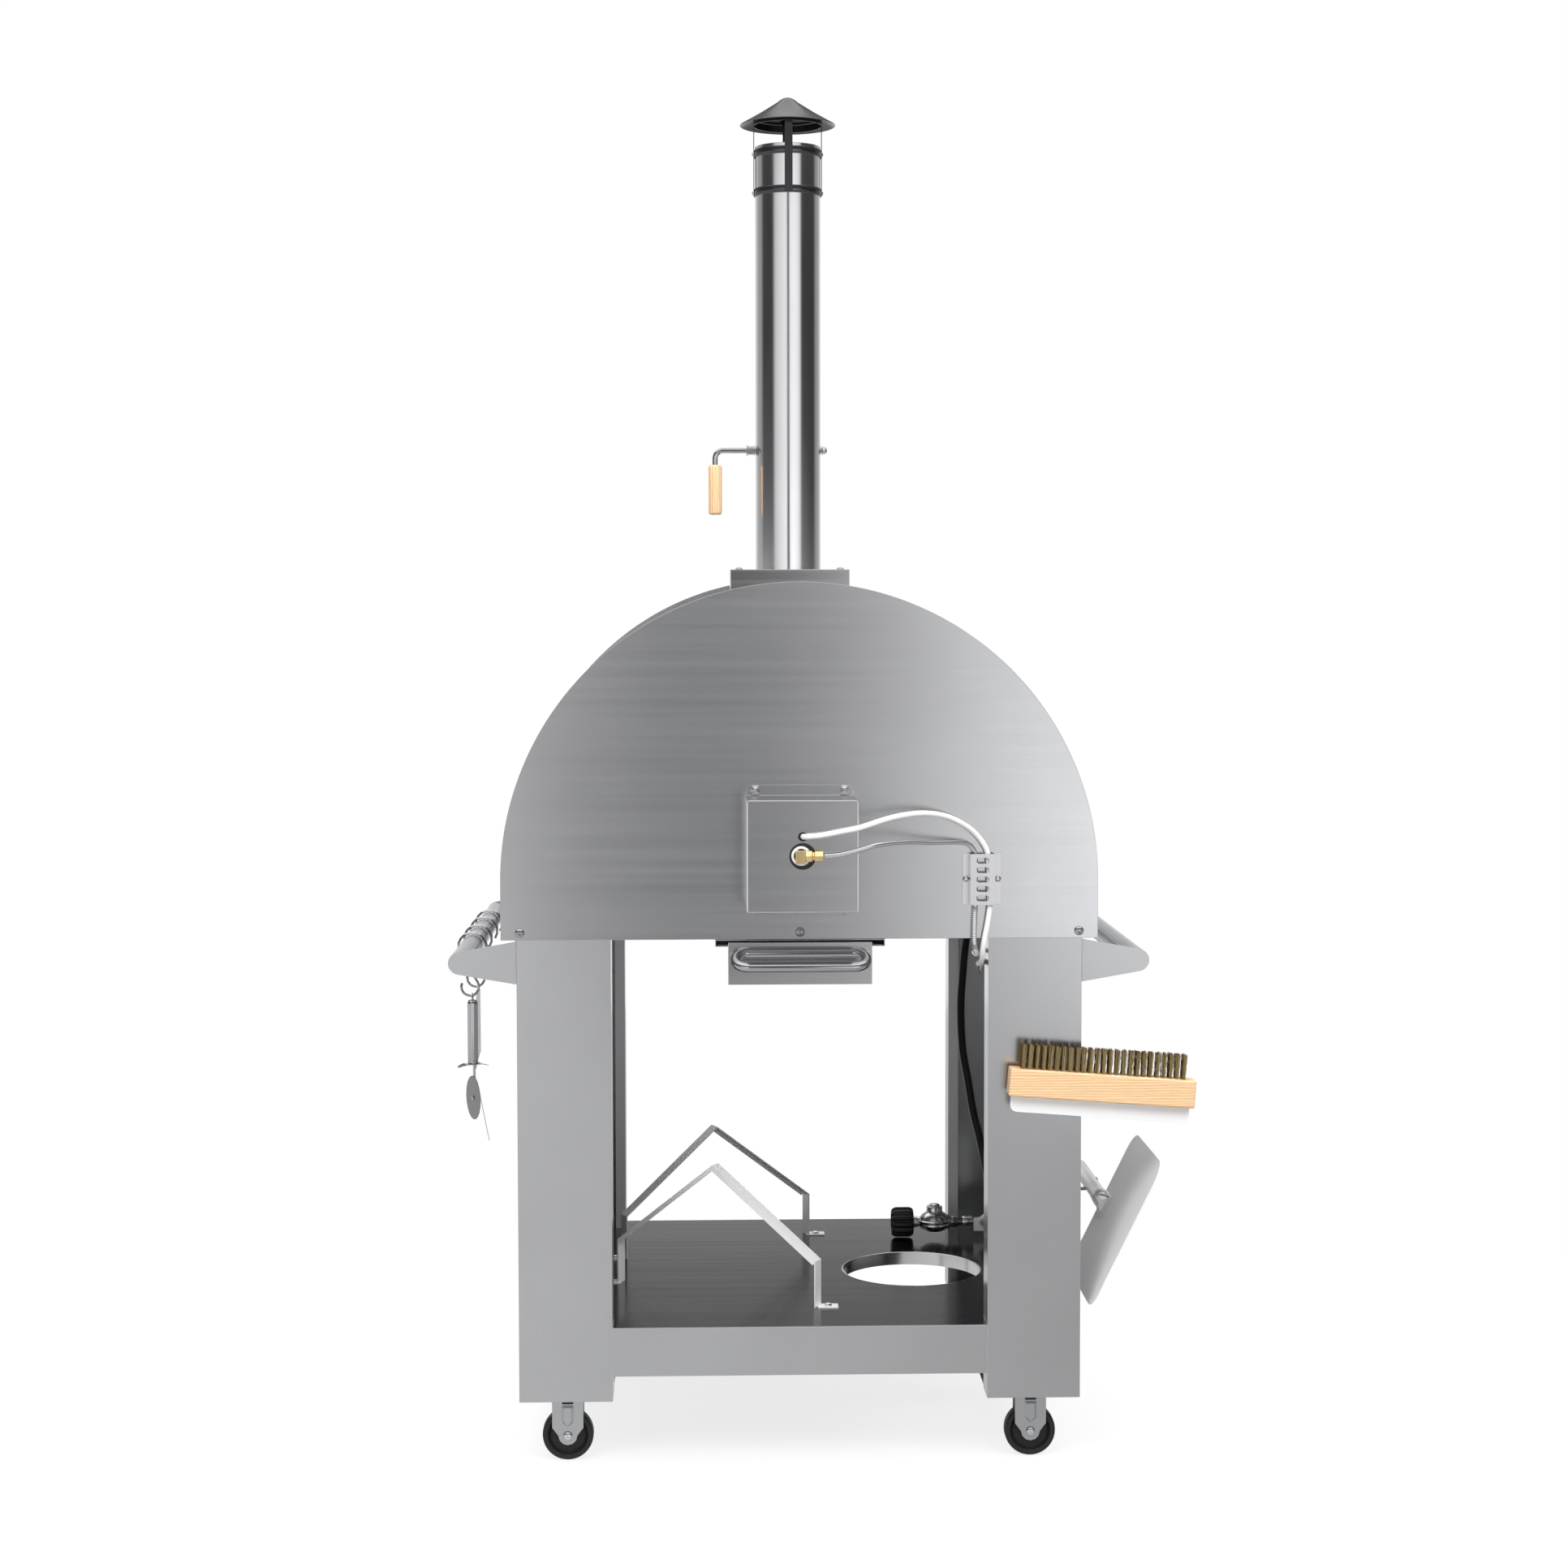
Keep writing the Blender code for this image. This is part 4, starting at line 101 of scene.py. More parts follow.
# Routes of the hose, the ignition cable and the gas line, measured from the cart's middle
HOSE_ROUTE = (
    (-0.312, -0.3029, 0.728), (-0.312, -0.295, 0.728), (-0.309, -0.275, 0.724),
    (-0.296, -0.22, 0.7), (-0.288, -0.19, 0.649), (-0.282, -0.16, 0.6),
    (-0.281, -0.12, 0.539), (-0.287, -0.09, 0.491), (-0.293, -0.06, 0.443),
    (-0.3, -0.035, 0.409), (-0.306, -0.01, 0.374), (-0.314, -0.005, 0.335),
    (-0.33, -0.025, 0.29), (-0.349, -0.053, 0.248), (-0.369, -0.085, 0.22),
    (-0.39, -0.12, 0.2142), (-0.396, -0.155, 0.2142), (-0.3825, -0.187, 0.218),
    (-0.36, -0.203, 0.226), (-0.34, -0.208, 0.231), (-0.32, -0.208, 0.2316),
    (-0.298, -0.208, 0.2316), (-0.2903, -0.208, 0.2316),
)
CABLE_ROUTE = (
    (0, 0.451, 0.9315), (-0.0005, 0.46, 0.9315), (-0.005, 0.4678, 0.9318),
    (-0.027, 0.471, 0.934), (-0.053, 0.471, 0.939), (-0.079, 0.4685, 0.944),
    (-0.116, 0.449, 0.954), (-0.146, 0.43, 0.959), (-0.177, 0.411, 0.96),
    (-0.208, 0.394, 0.954), (-0.236, 0.378, 0.94), (-0.255, 0.367, 0.924),
    (-0.268, 0.3615, 0.905), (-0.2715, 0.3608, 0.888), (-0.273, 0.3608, 0.85),
    (-0.2735, 0.361, 0.822), (-0.271, 0.361, 0.801), (-0.266, 0.361, 0.774),
    (-0.264, 0.357, 0.757), (-0.264, 0.347, 0.744), (-0.264, 0.325, 0.735),
    (-0.264, 0.3, 0.731), (-0.271, 0.27, 0.73), (-0.3, 0.225, 0.732),
    (-0.35, 0.145, 0.735), (-0.372, 0.055, 0.735), (-0.375, -0.055, 0.735),
    (-0.375, -0.145, 0.733), (-0.37, -0.2, 0.718), (-0.358, -0.245, 0.688),
    (-0.347, -0.277, 0.656), (-0.342, -0.293, 0.6425), (-0.3415, -0.301, 0.64),
    (-0.3415, -0.307, 0.64),
)
LINE_ROUTE = (
    (-0.03, 0.475, 0.9055), (-0.037, 0.475, 0.9055), (-0.057, 0.4745, 0.908),
    (-0.085, 0.472, 0.915), (-0.106, 0.464, 0.92), (-0.145, 0.435, 0.921),
    (-0.186, 0.405, 0.9175), (-0.222, 0.38, 0.916), (-0.24, 0.3675, 0.913),
    (-0.2505, 0.3625, 0.903), (-0.253, 0.361, 0.888), (-0.253, 0.361, 0.86),
    (-0.2525, 0.361, 0.822), (-0.2515, 0.361, 0.801), (-0.251, 0.361, 0.774),
    (-0.252, 0.3595, 0.762), (-0.255, 0.354, 0.754), (-0.257, 0.345, 0.75),
    (-0.258, 0.33, 0.748), (-0.258, 0.3, 0.746), (-0.262, 0.27, 0.745),
    (-0.285, 0.225, 0.745), (-0.33, 0.145, 0.744), (-0.352, 0.045, 0.743),
    (-0.352, -0.105, 0.741), (-0.35, -0.215, 0.738), (-0.3455, -0.275, 0.735),
    (-0.345, -0.295, 0.735), (-0.345, -0.3029, 0.735),
)


# Mesh shapes, each added to an open bmesh


def at_cart(x, y, z):
    """A point given from the cart's middle, in the frame."""
    return CART + Vector((x, y, z))


def mm(*rows):
    """Rows of sizes in millimetres, as rows in metres."""
    return [tuple(size / 1000 for size in row) for row in rows]


def upright(axis):
    """The turn that brings Z onto an axis."""
    return Vector(axis).to_track_quat("Z", "Y").to_matrix().to_4x4()


def add_turned(shape, profile, at=(0, 0, 0), axis=Z, steps=48, slot=0, closed=False):
    """Turns a profile of (radius, height) about an axis. A closed profile makes a ring."""
    place = Matrix.Translation(at) @ upright(axis)
    rings = []
    for radius, height in profile:
        if radius == 0:
            rings.append([shape.verts.new(place @ Vector((0, 0, height)))])
            continue
        ring = []
        for step in range(steps):
            turn = 2 * pi * step / steps
            ring.append(shape.verts.new(place @ Vector((radius * cos(turn), radius * sin(turn), height))))
        rings.append(ring)
    pairs = list(zip(rings, rings[1:]))
    if closed:
        pairs.append((rings[-1], rings[0]))
    faces = []
    for one, other in pairs:
        for step in range(steps):
            after = (step + 1) % steps
            corners = [one[step % len(one)], one[after % len(one)]]
            corners += [other[after % len(other)], other[step % len(other)]]
            corners = list(dict.fromkeys(corners))
            if len(corners) > 2:
                faces.append(shape.faces.new(corners))
    for face in faces:
        face.material_index = slot
        face.smooth = True
    bmesh.ops.recalc_face_normals(shape, faces=faces)
    return faces


def add_ring(shape, profile, at, axis, steps):
    """Turns a closed profile, which makes a ring."""
    return add_turned(shape, profile, at, axis, steps, closed=True)


def bridge(shape, one, other):
    """Faces between two closed loops of equal count."""
    pairs = list(zip(one, other))
    return [
        shape.faces.new((a, b, d, c)) for (a, c), (b, d) in zip(pairs, pairs[1:] + pairs[:1])
    ]


def add_tube(shape, points, radius, sides=16, slot=0, closed=False, radii=None, up=None):
    """Sweeps a round section along a path, with capped ends."""
    path = [Vector(p) for p in points]
    count = len(path)
    ways = []
    for index in range(count):
        before = path[index - 1] if closed or index else path[index]
        after = path[(index + 1) % count] if closed or index < count - 1 else path[index]
        ways.append((after - before).normalized())
    side = Vector(up) if up else ways[0].orthogonal()
    rings = []
    for index, (point, way) in enumerate(zip(path, ways)):
        side = (side - way * side.dot(way)).normalized()
        across = way.cross(side)
        reach = radii[index] if radii else radius
        ring = []
        for step in range(sides):
            turn = 2 * pi * step / sides
            ring.append(shape.verts.new(point + (side * cos(turn) + across * sin(turn)) * reach))
        rings.append(ring)
    pairs = list(zip(rings, rings[1:]))
    if closed:
        pairs.append((rings[-1], rings[0]))
    faces = []
    for one, other in pairs:
        faces += bridge(shape, one, other)
    if not closed:
        faces.append(shape.faces.new(rings[0][::-1]))
        faces.append(shape.faces.new(rings[-1]))
    for face in faces:
        face.material_index = slot
        face.smooth = True
    return faces


def add_slab(shape, outline, place, low, high, slot=0):
    """A flat outline pushed out along its own Z from low to high."""
    lower = [shape.verts.new(place @ Vector((x, y, low))) for x, y in outline]
    upper = [shape.verts.new(place @ Vector((x, y, high))) for x, y in outline]
    faces = [shape.faces.new(lower[::-1]), shape.faces.new(upper)]
    faces += bridge(shape, lower, upper)
    for face in faces:
        face.material_index = slot
    bmesh.ops.recalc_face_normals(shape, faces=faces)
    return faces


def add_block(shape, low, high, place=Matrix.Identity(4), slot=0):
    """A plain block between two corners."""
    outline = [(low[0], low[1]), (high[0], low[1]), (high[0], high[1]), (low[0], high[1])]
    return add_slab(shape, outline, place, low[2], high[2], slot)


def add_dome(shape, at, axis, radius, height, slot=0, cross=False, steps=24):
    """A domed screw or rivet head, with a cross recess in a screw."""
    place = Matrix.Translation(at) @ upright(axis)
    rings = []
    for share in (0.16, 0.30, 0.42, 0.54, 0.68, 0.84, 0.96, 1.0):
        ring = []
        for step in range(steps):
            turn = 2 * pi * (step + 0.5) / steps
            x, y = share * cos(turn), share * sin(turn)
            rise = height * sqrt(max(0, 1 - (share * 0.985) ** 2)) ** 0.8
            thin, long = min(abs(x), abs(y)), max(abs(x), abs(y))
            if cross and thin < 0.15 and long < 0.5:
                rise -= height * 0.5
            ring.append(shape.verts.new(place @ Vector((x * radius, y * radius, rise))))
        rings.append(ring)
    drop = height * (0.45 if cross else 1.0)
    middle = shape.verts.new(place @ Vector((0, 0, drop)))
    faces = []
    for step in range(steps):
        after = (step + 1) % steps
        faces.append(shape.faces.new((middle, rings[0][step], rings[0][after])))
        for one, other in zip(rings, rings[1:]):
            faces.append(shape.faces.new((one[step], other[step], other[after], one[after])))
    for face in faces:
        face.material_index = slot
        face.smooth = True
    return faces


def arc(centre, radius, start, end, steps):
    """Points on a flat arc, both ends included."""
    turns = [start + (end - start) * i / steps for i in range(steps + 1)]
    return [(centre[0] + radius * cos(a), centre[1] + radius * sin(a)) for a in turns]


def rounded(outline, radius, steps=6):
    """A polygon with every corner rounded."""
    points = []
    for index, corner in enumerate(outline):
        corner = Vector(corner)
        before = (Vector(outline[index - 1]) - corner).normalized()
        after = (Vector(outline[(index + 1) % len(outline)]) - corner).normalized()
        half = before.angle(after) / 2
        centre = corner + (before + after).normalized() * radius / sin(half)
        reach = radius * cos(half) / sin(half)
        first = corner + before * reach - centre
        last = corner + after * reach - centre
        start = atan2(first.y, first.x)
        sweep = (atan2(last.y, last.x) - start + pi) % (2 * pi) - pi
        points += arc(centre, radius, start, start + sweep, steps)
    return points


def smooth_points(points, step):
    """Evenly spaced points on the smooth curve through the given ones."""
    knots = [Vector(p) for p in points]
    knots = [knots[0] * 2 - knots[1], *knots, knots[-1] * 2 - knots[-2]]
    fine = []
    for a, b, c, d in zip(knots, knots[1:], knots[2:], knots[3:]):
        count = max(4, int((c - b).length / step) * 4 + 4)
        for i in range(count):
            t = i / count
            bend = (a * 2 - b * 5 + c * 4 - d) * t * t
            twist = (b * 3 - a - c * 3 + d) * t * t * t
            fine.append((b * 2 + (c - a) * t + bend + twist) / 2)
    fine.append(knots[-2])
    lengths = [0]
    for before, after in zip(fine, fine[1:]):
        lengths.append(lengths[-1] + (after - before).length)
    count = max(2, round(lengths[-1] / step))
    places, index = [], 0
    for stop in range(count + 1):
        want = lengths[-1] * stop / count
        while index < len(fine) - 2 and lengths[index + 1] < want:
            index += 1
        share = (want - lengths[index]) / (lengths[index + 1] - lengths[index])
        places.append(fine[index].lerp(fine[index + 1], min(share, 1)))
    return places


def piece(name, shape, labels, body, stands_for=(), bevel=0, segments=2, angle=40):
    """Closes a shape into a named piece that rides on a body."""
    mesh = bpy.data.meshes.new(name)
    shape.to_mesh(mesh)
    shape.free()
    for label in labels:
        mesh.materials.append(FINISHES[label])
    ob = bpy.data.objects.new(name, mesh)
    bpy.context.scene.collection.objects.link(ob)
    soften(ob, bevel, segments, angle)
    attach(ob, body)
    if stands_for:
        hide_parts(*stands_for)
    return ob


def soften(ob, width, segments=2, angle=40, weld=False):
    """Rounds the sharp edges a little, so that they catch the light."""
    if weld:
        joined = ob.modifiers.new("joined corners", "WELD")
        joined.merge_threshold = 0.00001
    else:
        ob.data.shade_smooth()
        ob.data.set_sharp_from_angle(angle=radians(angle))
    if width:
        edge = ob.modifiers.new("rounded edges", "BEVEL")
        edge.width = width
        edge.segments = segments
        edge.limit_method = "ANGLE"
        edge.angle_limit = radians(angle)
        edge.harden_normals = True


# Shader node groups that several finishes share


def new_group(name, inputs, outputs):
    """An empty shader group. Inputs are (name, socket type, default), outputs are names of values."""
    group = bpy.data.node_groups.new(name, "ShaderNodeTree")
    for label, kind, default in inputs:
        socket = group.interface.new_socket(label, in_out="INPUT", socket_type=kind)
        if default is not None:
            socket.default_value = default
    for label in outputs:
        group.interface.new_socket(label, in_out="OUTPUT", socket_type="NodeSocketFloat")
    return group, group.nodes.new("NodeGroupInput"), group.nodes.new("NodeGroupOutput")


def fill(tree, node, links):
    """Sets a node's inputs: each to a value, or linked to another node's output."""
    for key, value in links.items():
        if isinstance(value, bpy.types.NodeSocket):
            tree.links.new(value, node.inputs[key])
        else:
            node.inputs[key].default_value = value


def put(tree, kind, links=None, **settings):
    """Adds a node with its settings and inputs."""
    node = tree.nodes.new(kind)
    for key, value in settings.items():
        setattr(node, key, value)
    fill(tree, node, links or {})
    return node


def ranged(tree, value, low, high, from_low=0.0, from_high=1.0):
    """Maps a value from one range onto another."""
    links = {"Value": value, "From Min": from_low, "From Max": from_high, "To Min": low, "To Max": high}
    return put(tree, "ShaderNodeMapRange", links).outputs["Result"]


def eased(tree, value, start, end):
    """Rises softly from 0 to 1 between start and end."""
    links = {"Value": value, "From Min": start, "From Max": end}
    return put(tree, "ShaderNodeMapRange", links, interpolation_type="SMOOTHSTEP").outputs[0]


def maths(tree, operation, *values):
    return put(tree, "ShaderNodeMath", dict(enumerate(values)), operation=operation).outputs[0]


def scaled(tree, vector, by):
    return put(tree, "ShaderNodeVectorMath", {0: vector, 1: by}, operation="MULTIPLY").outputs[0]


def noise(tree, vector, scale, detail, roughness=0.5):
    links = {"Vector": vector, "Scale": scale, "Detail": detail, "Roughness": roughness}
    return put(tree, "ShaderNodeTexNoise", links).outputs[0]


def mixed(tree, share, one, other):
    """A mix of two shaders."""
    return put(tree, "ShaderNodeMixShader", {0: share, 1: one.outputs[0], 2: other.outputs[0]})


def own_coordinates(tree):
    return put(tree, "ShaderNodeTexCoord").outputs["Object"]


def blended(tree, share, one, other, mode="MIX"):
    """A colour mix. one and other are colours or colour outputs."""
    node = put(tree, "ShaderNodeMix", data_type="RGBA", blend_type=mode)
    fill(tree, node, {0: share, 6: one, 7: other})
    return node.outputs[2]


def grain_group():
    """Long fine scratches of brushed sheet, in two sizes."""
    group, source, target = new_group(
        "Brushed Grain",
        [("Vector", "NodeSocketVector", None), ("Stretch", "NodeSocketVector", (4.0, 260.0, 260.0))],
        ["Scratches", "Bands"],
    )
    fine = scaled(group, source.outputs["Vector"], source.outputs["Stretch"])
    group.links.new(noise(group, fine, 3.0, 3.0, 0.7), target.inputs["Scratches"])
    group.links.new(noise(group, fine, 0.35, 2.0), target.inputs["Bands"])
    return group


def marks_group():
    """Soft clouds of handling and rolling marks over a sheet."""
    group, source, target = new_group(
        "Handling Marks",
        [("Vector", "NodeSocketVector", None), ("Size", "NodeSocketFloat", 6.0)],
        ["Clouds"],
    )
    clouds = noise(group, source.outputs["Vector"], source.outputs["Size"], 4.0, 0.55)
    group.links.new(ranged(group, clouds, 0, 1, 0.3, 0.7), target.inputs["Clouds"])
    return group


def timber_group():
    """Long growth lines and short pores of pale wood, along local X."""
    group, source, target = new_group(
        "Timber Grain",
        [("Vector", "NodeSocketVector", None), ("Rings", "NodeSocketFloat", 60.0)],
        ["Growth", "Pores"],
    )
    flat = scaled(group, source.outputs["Vector"], (0.9, 6.0, 9.0))
    wave = put(
        group,
        "ShaderNodeTexWave",
        {"Vector": flat, "Scale": 9.0, "Distortion": 5.5, "Detail": 3.0, "Detail Scale": 1.4},
        bands_direction="Z",
    )
    pores = noise(group, scaled(group, source.outputs["Vector"], (14.0, 300.0, 300.0)), 3.0, 2.0)
    broad = noise(group, flat, source.outputs["Rings"], 3.0)
    growth = maths(group, "MULTIPLY_ADD", broad, 0.35, maths(group, "MULTIPLY", wave.outputs[1], 0.65))
    group.links.new(growth, target.inputs["Growth"])
    group.links.new(ranged(group, pores, 0, 1, 0.56, 0.75), target.inputs["Pores"])
    return group


def speckle_group():
    """Fine even texture of moulded, cast or fibrous surfaces."""
    group, source, target = new_group(
        "Fine Speckle",
        [("Vector", "NodeSocketVector", None), ("Size", "NodeSocketFloat", 400.0)],
        ["Specks", "Lumps"],
    )
    vector = source.outputs["Vector"]
    group.links.new(noise(group, vector, source.outputs["Size"], 3.0, 0.7), target.inputs["Specks"])
    group.links.new(noise(group, vector, 24.0, 3.0), target.inputs["Lumps"])
    return group


# Shader groups and finishes by name, as they are made
GROUPS = {}
FINISHES = {}


def grouped(tree, label, **values):
    """Places a shared group, fed with the object's own coordinates unless others are given."""
    makers = {
        "Brushed Grain": grain_group,
        "Handling Marks": marks_group,
        "Timber Grain": timber_group,
        "Fine Speckle": speckle_group,
    }
    if label not in GROUPS:
        GROUPS[label] = makers[label]()
    links = {"Vector": own_coordinates(tree), **values} if "Vector" not in values else values
    node = put(tree, "ShaderNodeGroup", node_tree=GROUPS[label])
    fill(tree, node, links)
    return node.outputs


def new_finish(name):
    paint = bpy.data.materials.new(name)
    paint.use_nodes = True
    tree = paint.node_tree
    return paint, tree, tree.nodes["Principled BSDF"]


def bump(tree, shader, height, distance, strength=1.0):
    node = put(tree, "ShaderNodeBump", {"Height": height, "Distance": distance, "Strength": strength})
    tree.links.new(node.outputs[0], shader.inputs["Normal"])


def shades(colour, spread):
    """A darker and a lighter version of one colour."""
    low = [max(0, c * (1 - spread)) for c in colour[:3]] + [1]
    high = [min(1, c * (1 + spread)) for c in colour[:3]] + [1]
    return low, high


def steel(name, colour, roughness, stretch, spread=0.035, depth=0.000003, swing=0.008, bow=0.0):
    """Brushed or drawn metal with its grain along one direction. bow leans the sheet a little in X."""
    paint, tree, shader = new_finish(name)
    grain = grouped(tree, "Brushed Grain", Stretch=stretch)
    marks = grouped(tree, "Handling Marks", Size=5.0)
    toned = blended(tree, grain["Scratches"], *shades(colour, spread))
    tint = blended(tree, 1.0, toned, ranged(tree, marks["Clouds"], 0.94, 1.0), "MULTIPLY")
    tree.links.new(tint, shader.inputs["Base Color"])
    rough = ranged(tree, grain["Bands"], roughness - swing, roughness + swing, 0.3, 0.7)
    tree.links.new(rough, shader.inputs["Roughness"])
    shader.inputs["Metallic"].default_value = 1.0
    if bow:
        across = put(tree, "ShaderNodeSeparateXYZ", {0: own_coordinates(tree)}).outputs[0]
        leaning = maths(tree, "MULTIPLY", across, bow)
        height = maths(tree, "MULTIPLY_ADD", grain["Scratches"], depth * 0.5, leaning)
        bump(tree, shader, height, 1.0)
    elif depth:
        bump(tree, shader, grain["Scratches"], depth, 0.5)
    return paint


def moulded(name, colour, roughness, size=400.0, depth=0.00006, metallic=0.0, spread=0.2):
    """Plastic, rubber, paint, stone or fibre with an even fine texture."""
    paint, tree, shader = new_finish(name)
    specks = grouped(tree, "Fine Speckle", Size=size)
    toned = blended(tree, specks["Lumps"], *shades(colour, spread))
    tree.links.new(toned, shader.inputs["Base Color"])
    rough = ranged(tree, specks["Specks"], roughness - 0.06, roughness + 0.06, 0.3, 0.7)
    tree.links.new(rough, shader.inputs["Roughness"])
    shader.inputs["Metallic"].default_value = metallic
    bump(tree, shader, specks["Specks"], depth, 0.6)
    return paint


def timber(name, light, dark, turn):
    """Pale waxed wood. turn brings the wood's length onto X."""
    paint, tree, shader = new_finish(name)
    turned = put(tree, "ShaderNodeMapping", {"Vector": own_coordinates(tree), "Rotation": turn})
    grain = grouped(tree, "Timber Grain", Vector=turned.outputs[0])
    body = blended(tree, ranged(tree, grain["Growth"], 0, 1, 0.25, 0.8), light, dark)
    pore_colour = [c * 0.62 for c in dark[:3]] + [1]
    toned = blended(tree, ranged(tree, grain["Pores"], 0, 0.35), body, pore_colour)
    tree.links.new(toned, shader.inputs["Base Color"])
    tree.links.new(ranged(tree, grain["Pores"], 0.42, 0.58), shader.inputs["Roughness"])
    shader.inputs["Coat Weight"].default_value = 0.12
    shader.inputs["Coat Roughness"].default_value = 0.3
    bump(tree, shader, grain["Pores"], -0.00008, 0.6)
    return paint


def woven_sleeve(name, colour):
    """White braided sleeving: two crossing waves for the plait."""
    paint, tree, shader = new_finish(name)
    coordinates = own_coordinates(tree)
    waves = []
    for turn in (0.8, -0.8):
        links = {"Vector": coordinates, "Rotation": (turn, turn, 0.3)}
        mapping = put(tree, "ShaderNodeMapping", links)
        wave = put(tree, "ShaderNodeTexWave", {"Vector": mapping.outputs[0], "Scale": 190.0})
        waves.append(wave.outputs[1])
    plait = maths(tree, "MULTIPLY", *waves)
    tree.links.new(blended(tree, plait, *shades(colour, 0.12)), shader.inputs["Base Color"])
    tree.links.new(ranged(tree, plait, 0.62, 0.5), shader.inputs["Roughness"])
    bump(tree, shader, plait, 0.0001, 0.5)
    return paint


# Stretch of the brushed grain
ALONG_X = (4.0, 260.0, 260.0)
ALONG_Y = (260.0, 4.0, 260.0)
ALONG_Z = (260.0, 260.0, 4.0)
ALL_WAYS = (60.0, 60.0, 60.0)


def colour_setting(name, description, *default):
    return FloatVectorProperty(
        name=name, description=description, subtype="COLOR", size=4, min=0, max=1, default=(*default, 1),
    )


def count_setting(name, description, least, most, default):
    return IntProperty(name=name, description=description, min=least, max=most, default=default)


class OvenFinishes(bpy.types.PropertyGroup):
    """Colours and gloss of the oven's finishes."""

    sheet_steel: colour_setting(
        "Sheet Steel", "Reflection colour of the brushed body", 0.60, 0.605, 0.615,
    )
    bright_steel: colour_setting(
        "Bright Steel", "Reflection colour of rods, flue and handles", 0.74, 0.74, 0.75,
    )
    # Painted shade: the shelf's top gets a far darker steel than the body, for the shade under the oven.
    shelf_steel: colour_setting("Shelf Steel", "Reflection colour of the lower shelf", 0.15, 0.152, 0.156)
    zinc: colour_setting("Zinc", "Colour of the plated forks and channels", 0.55, 0.56, 0.57)
    brass: colour_setting("Brass", "Colour of the gas fittings", 0.97, 0.72, 0.38)
    black: colour_setting("Black", "Colour of the black coating and plastic", 0.016, 0.016, 0.017)
    rubber: colour_setting("Rubber", "Colour of the hose and tyres", 0.010, 0.010, 0.011)
    wood_light: colour_setting("Wood, Light", "Pale part of the wood", 0.86, 0.60, 0.36)
    wood_dark: colour_setting("Wood, Dark", "Growth lines of the wood", 0.72, 0.44, 0.22)
    sheet_gloss: FloatProperty(
        name="Sheet Roughness", description="Roughness of the brushed body", subtype="FACTOR",
        min=0.05, max=1, default=0.19,
    )
    flue_gloss: FloatProperty(
        name="Flue Roughness", description="Roughness of the flue pipe", subtype="FACTOR",
        min=0.05, max=1, default=0.15,
    )


class OvenDetails(bpy.types.PropertyGroup):
    """Sizes of the fine pieces."""

    screw_radius: FloatProperty(
        name="Screw Head Radius", description="Radius of the panel screws", unit="LENGTH",
        min=0.002, max=0.01, default=0.0068,
    )
    edge_width: FloatProperty(
        name="Edge Rounding", description="How far sheet edges are rounded", unit="LENGTH",
        min=0, max=0.002, default=0.0004,
    )
    tuft_columns: count_setting("Tuft Columns", "Tufts of wire along the brush", 8, 60, 25)
    tuft_rows: count_setting("Tuft Rows", "Tufts of wire across the brush", 2, 10, 4)
    tuft_wires: count_setting("Wires in a Tuft", "Wires in each tuft", 4, 40, 20)
    spring_turns: count_setting("Spring Turns", "Turns of the damper spring", 3, 12, 6)
    line_ribs: BoolProperty(
        name="Ribbed Gas Line", description="Ribs on the flexible part of the line", default=True,
    )


class OvenStage(bpy.types.PropertyGroup):
    """Camera, floor and lights."""

    focal_length: FloatProperty(
        name="Focal Length", description="Camera lens on a 36 mm sensor", unit="CAMERA",
        min=10, max=300, default=60.643,
    )
    camera_place: FloatVectorProperty(
        name="Camera Place", description="Where the camera stands, from the cart's middle",
        subtype="TRANSLATION", default=(0.1321, 4.145, 1.2327),
    )
    floor_colour: colour_setting("Floor", "Colour of the floor", 0.93, 0.93, 0.93)
    floor_glow: FloatProperty(
        name="Floor in Mirrors", description="Brightness of the floor as the metal mirrors it",
        min=0, max=2, default=0.50,
    )
    key_power: FloatProperty(
        name="Key Light", description="Power of the key light", unit="POWER", min=0, default=95,
    )
    fill_power: FloatProperty(
        name="Fill Light", description="Power of the fill lights", unit="POWER", min=0, default=45,
    )


# Soft boxes and dark gaps round the camera's side: (angle in degrees, level)
UPPER_RING = (
    (-180, 1.05), (-150, 0.75), (-128, 0.42), (-110, 0.36), (-99, 0.05), (-57, 0.03),
    (-46, 0.75), (-30, 0.95), (-9, 1.15), (-5.2, 1.15), (-3.0, 0.10), (2.6, 0.10),
    (4.8, 1.25), (28, 1.25), (40, 0.95), (48, 0.04), (102, 0.05), (116, 0.36),
    (130, 0.42), (150, 0.75), (180, 1.05),
)

# Brightness overhead: (height on the unit sphere, level)
OVERHEAD = (
    (0.24, 0.22), (0.36, 0.28), (0.50, 0.20), (0.62, 0.20), (0.70, 1.50), (0.93, 1.50),
    (0.99, 1.10),
)
LOWER_RING = (
    (-180, 1.05), (-140, 0.60), (-90, 0.90), (-45, 0.70), (-20, 1.10), (-7, 1.20),
    (-4.4, 0.70), (-3.0, 0.14), (-1.8, 0.02), (2.6, 0.02), (3.6, 0.18), (6.6, 1.50),
    (20, 1.70), (50, 0.60), (90, 0.25), (140, 0.60), (180, 1.05),
)


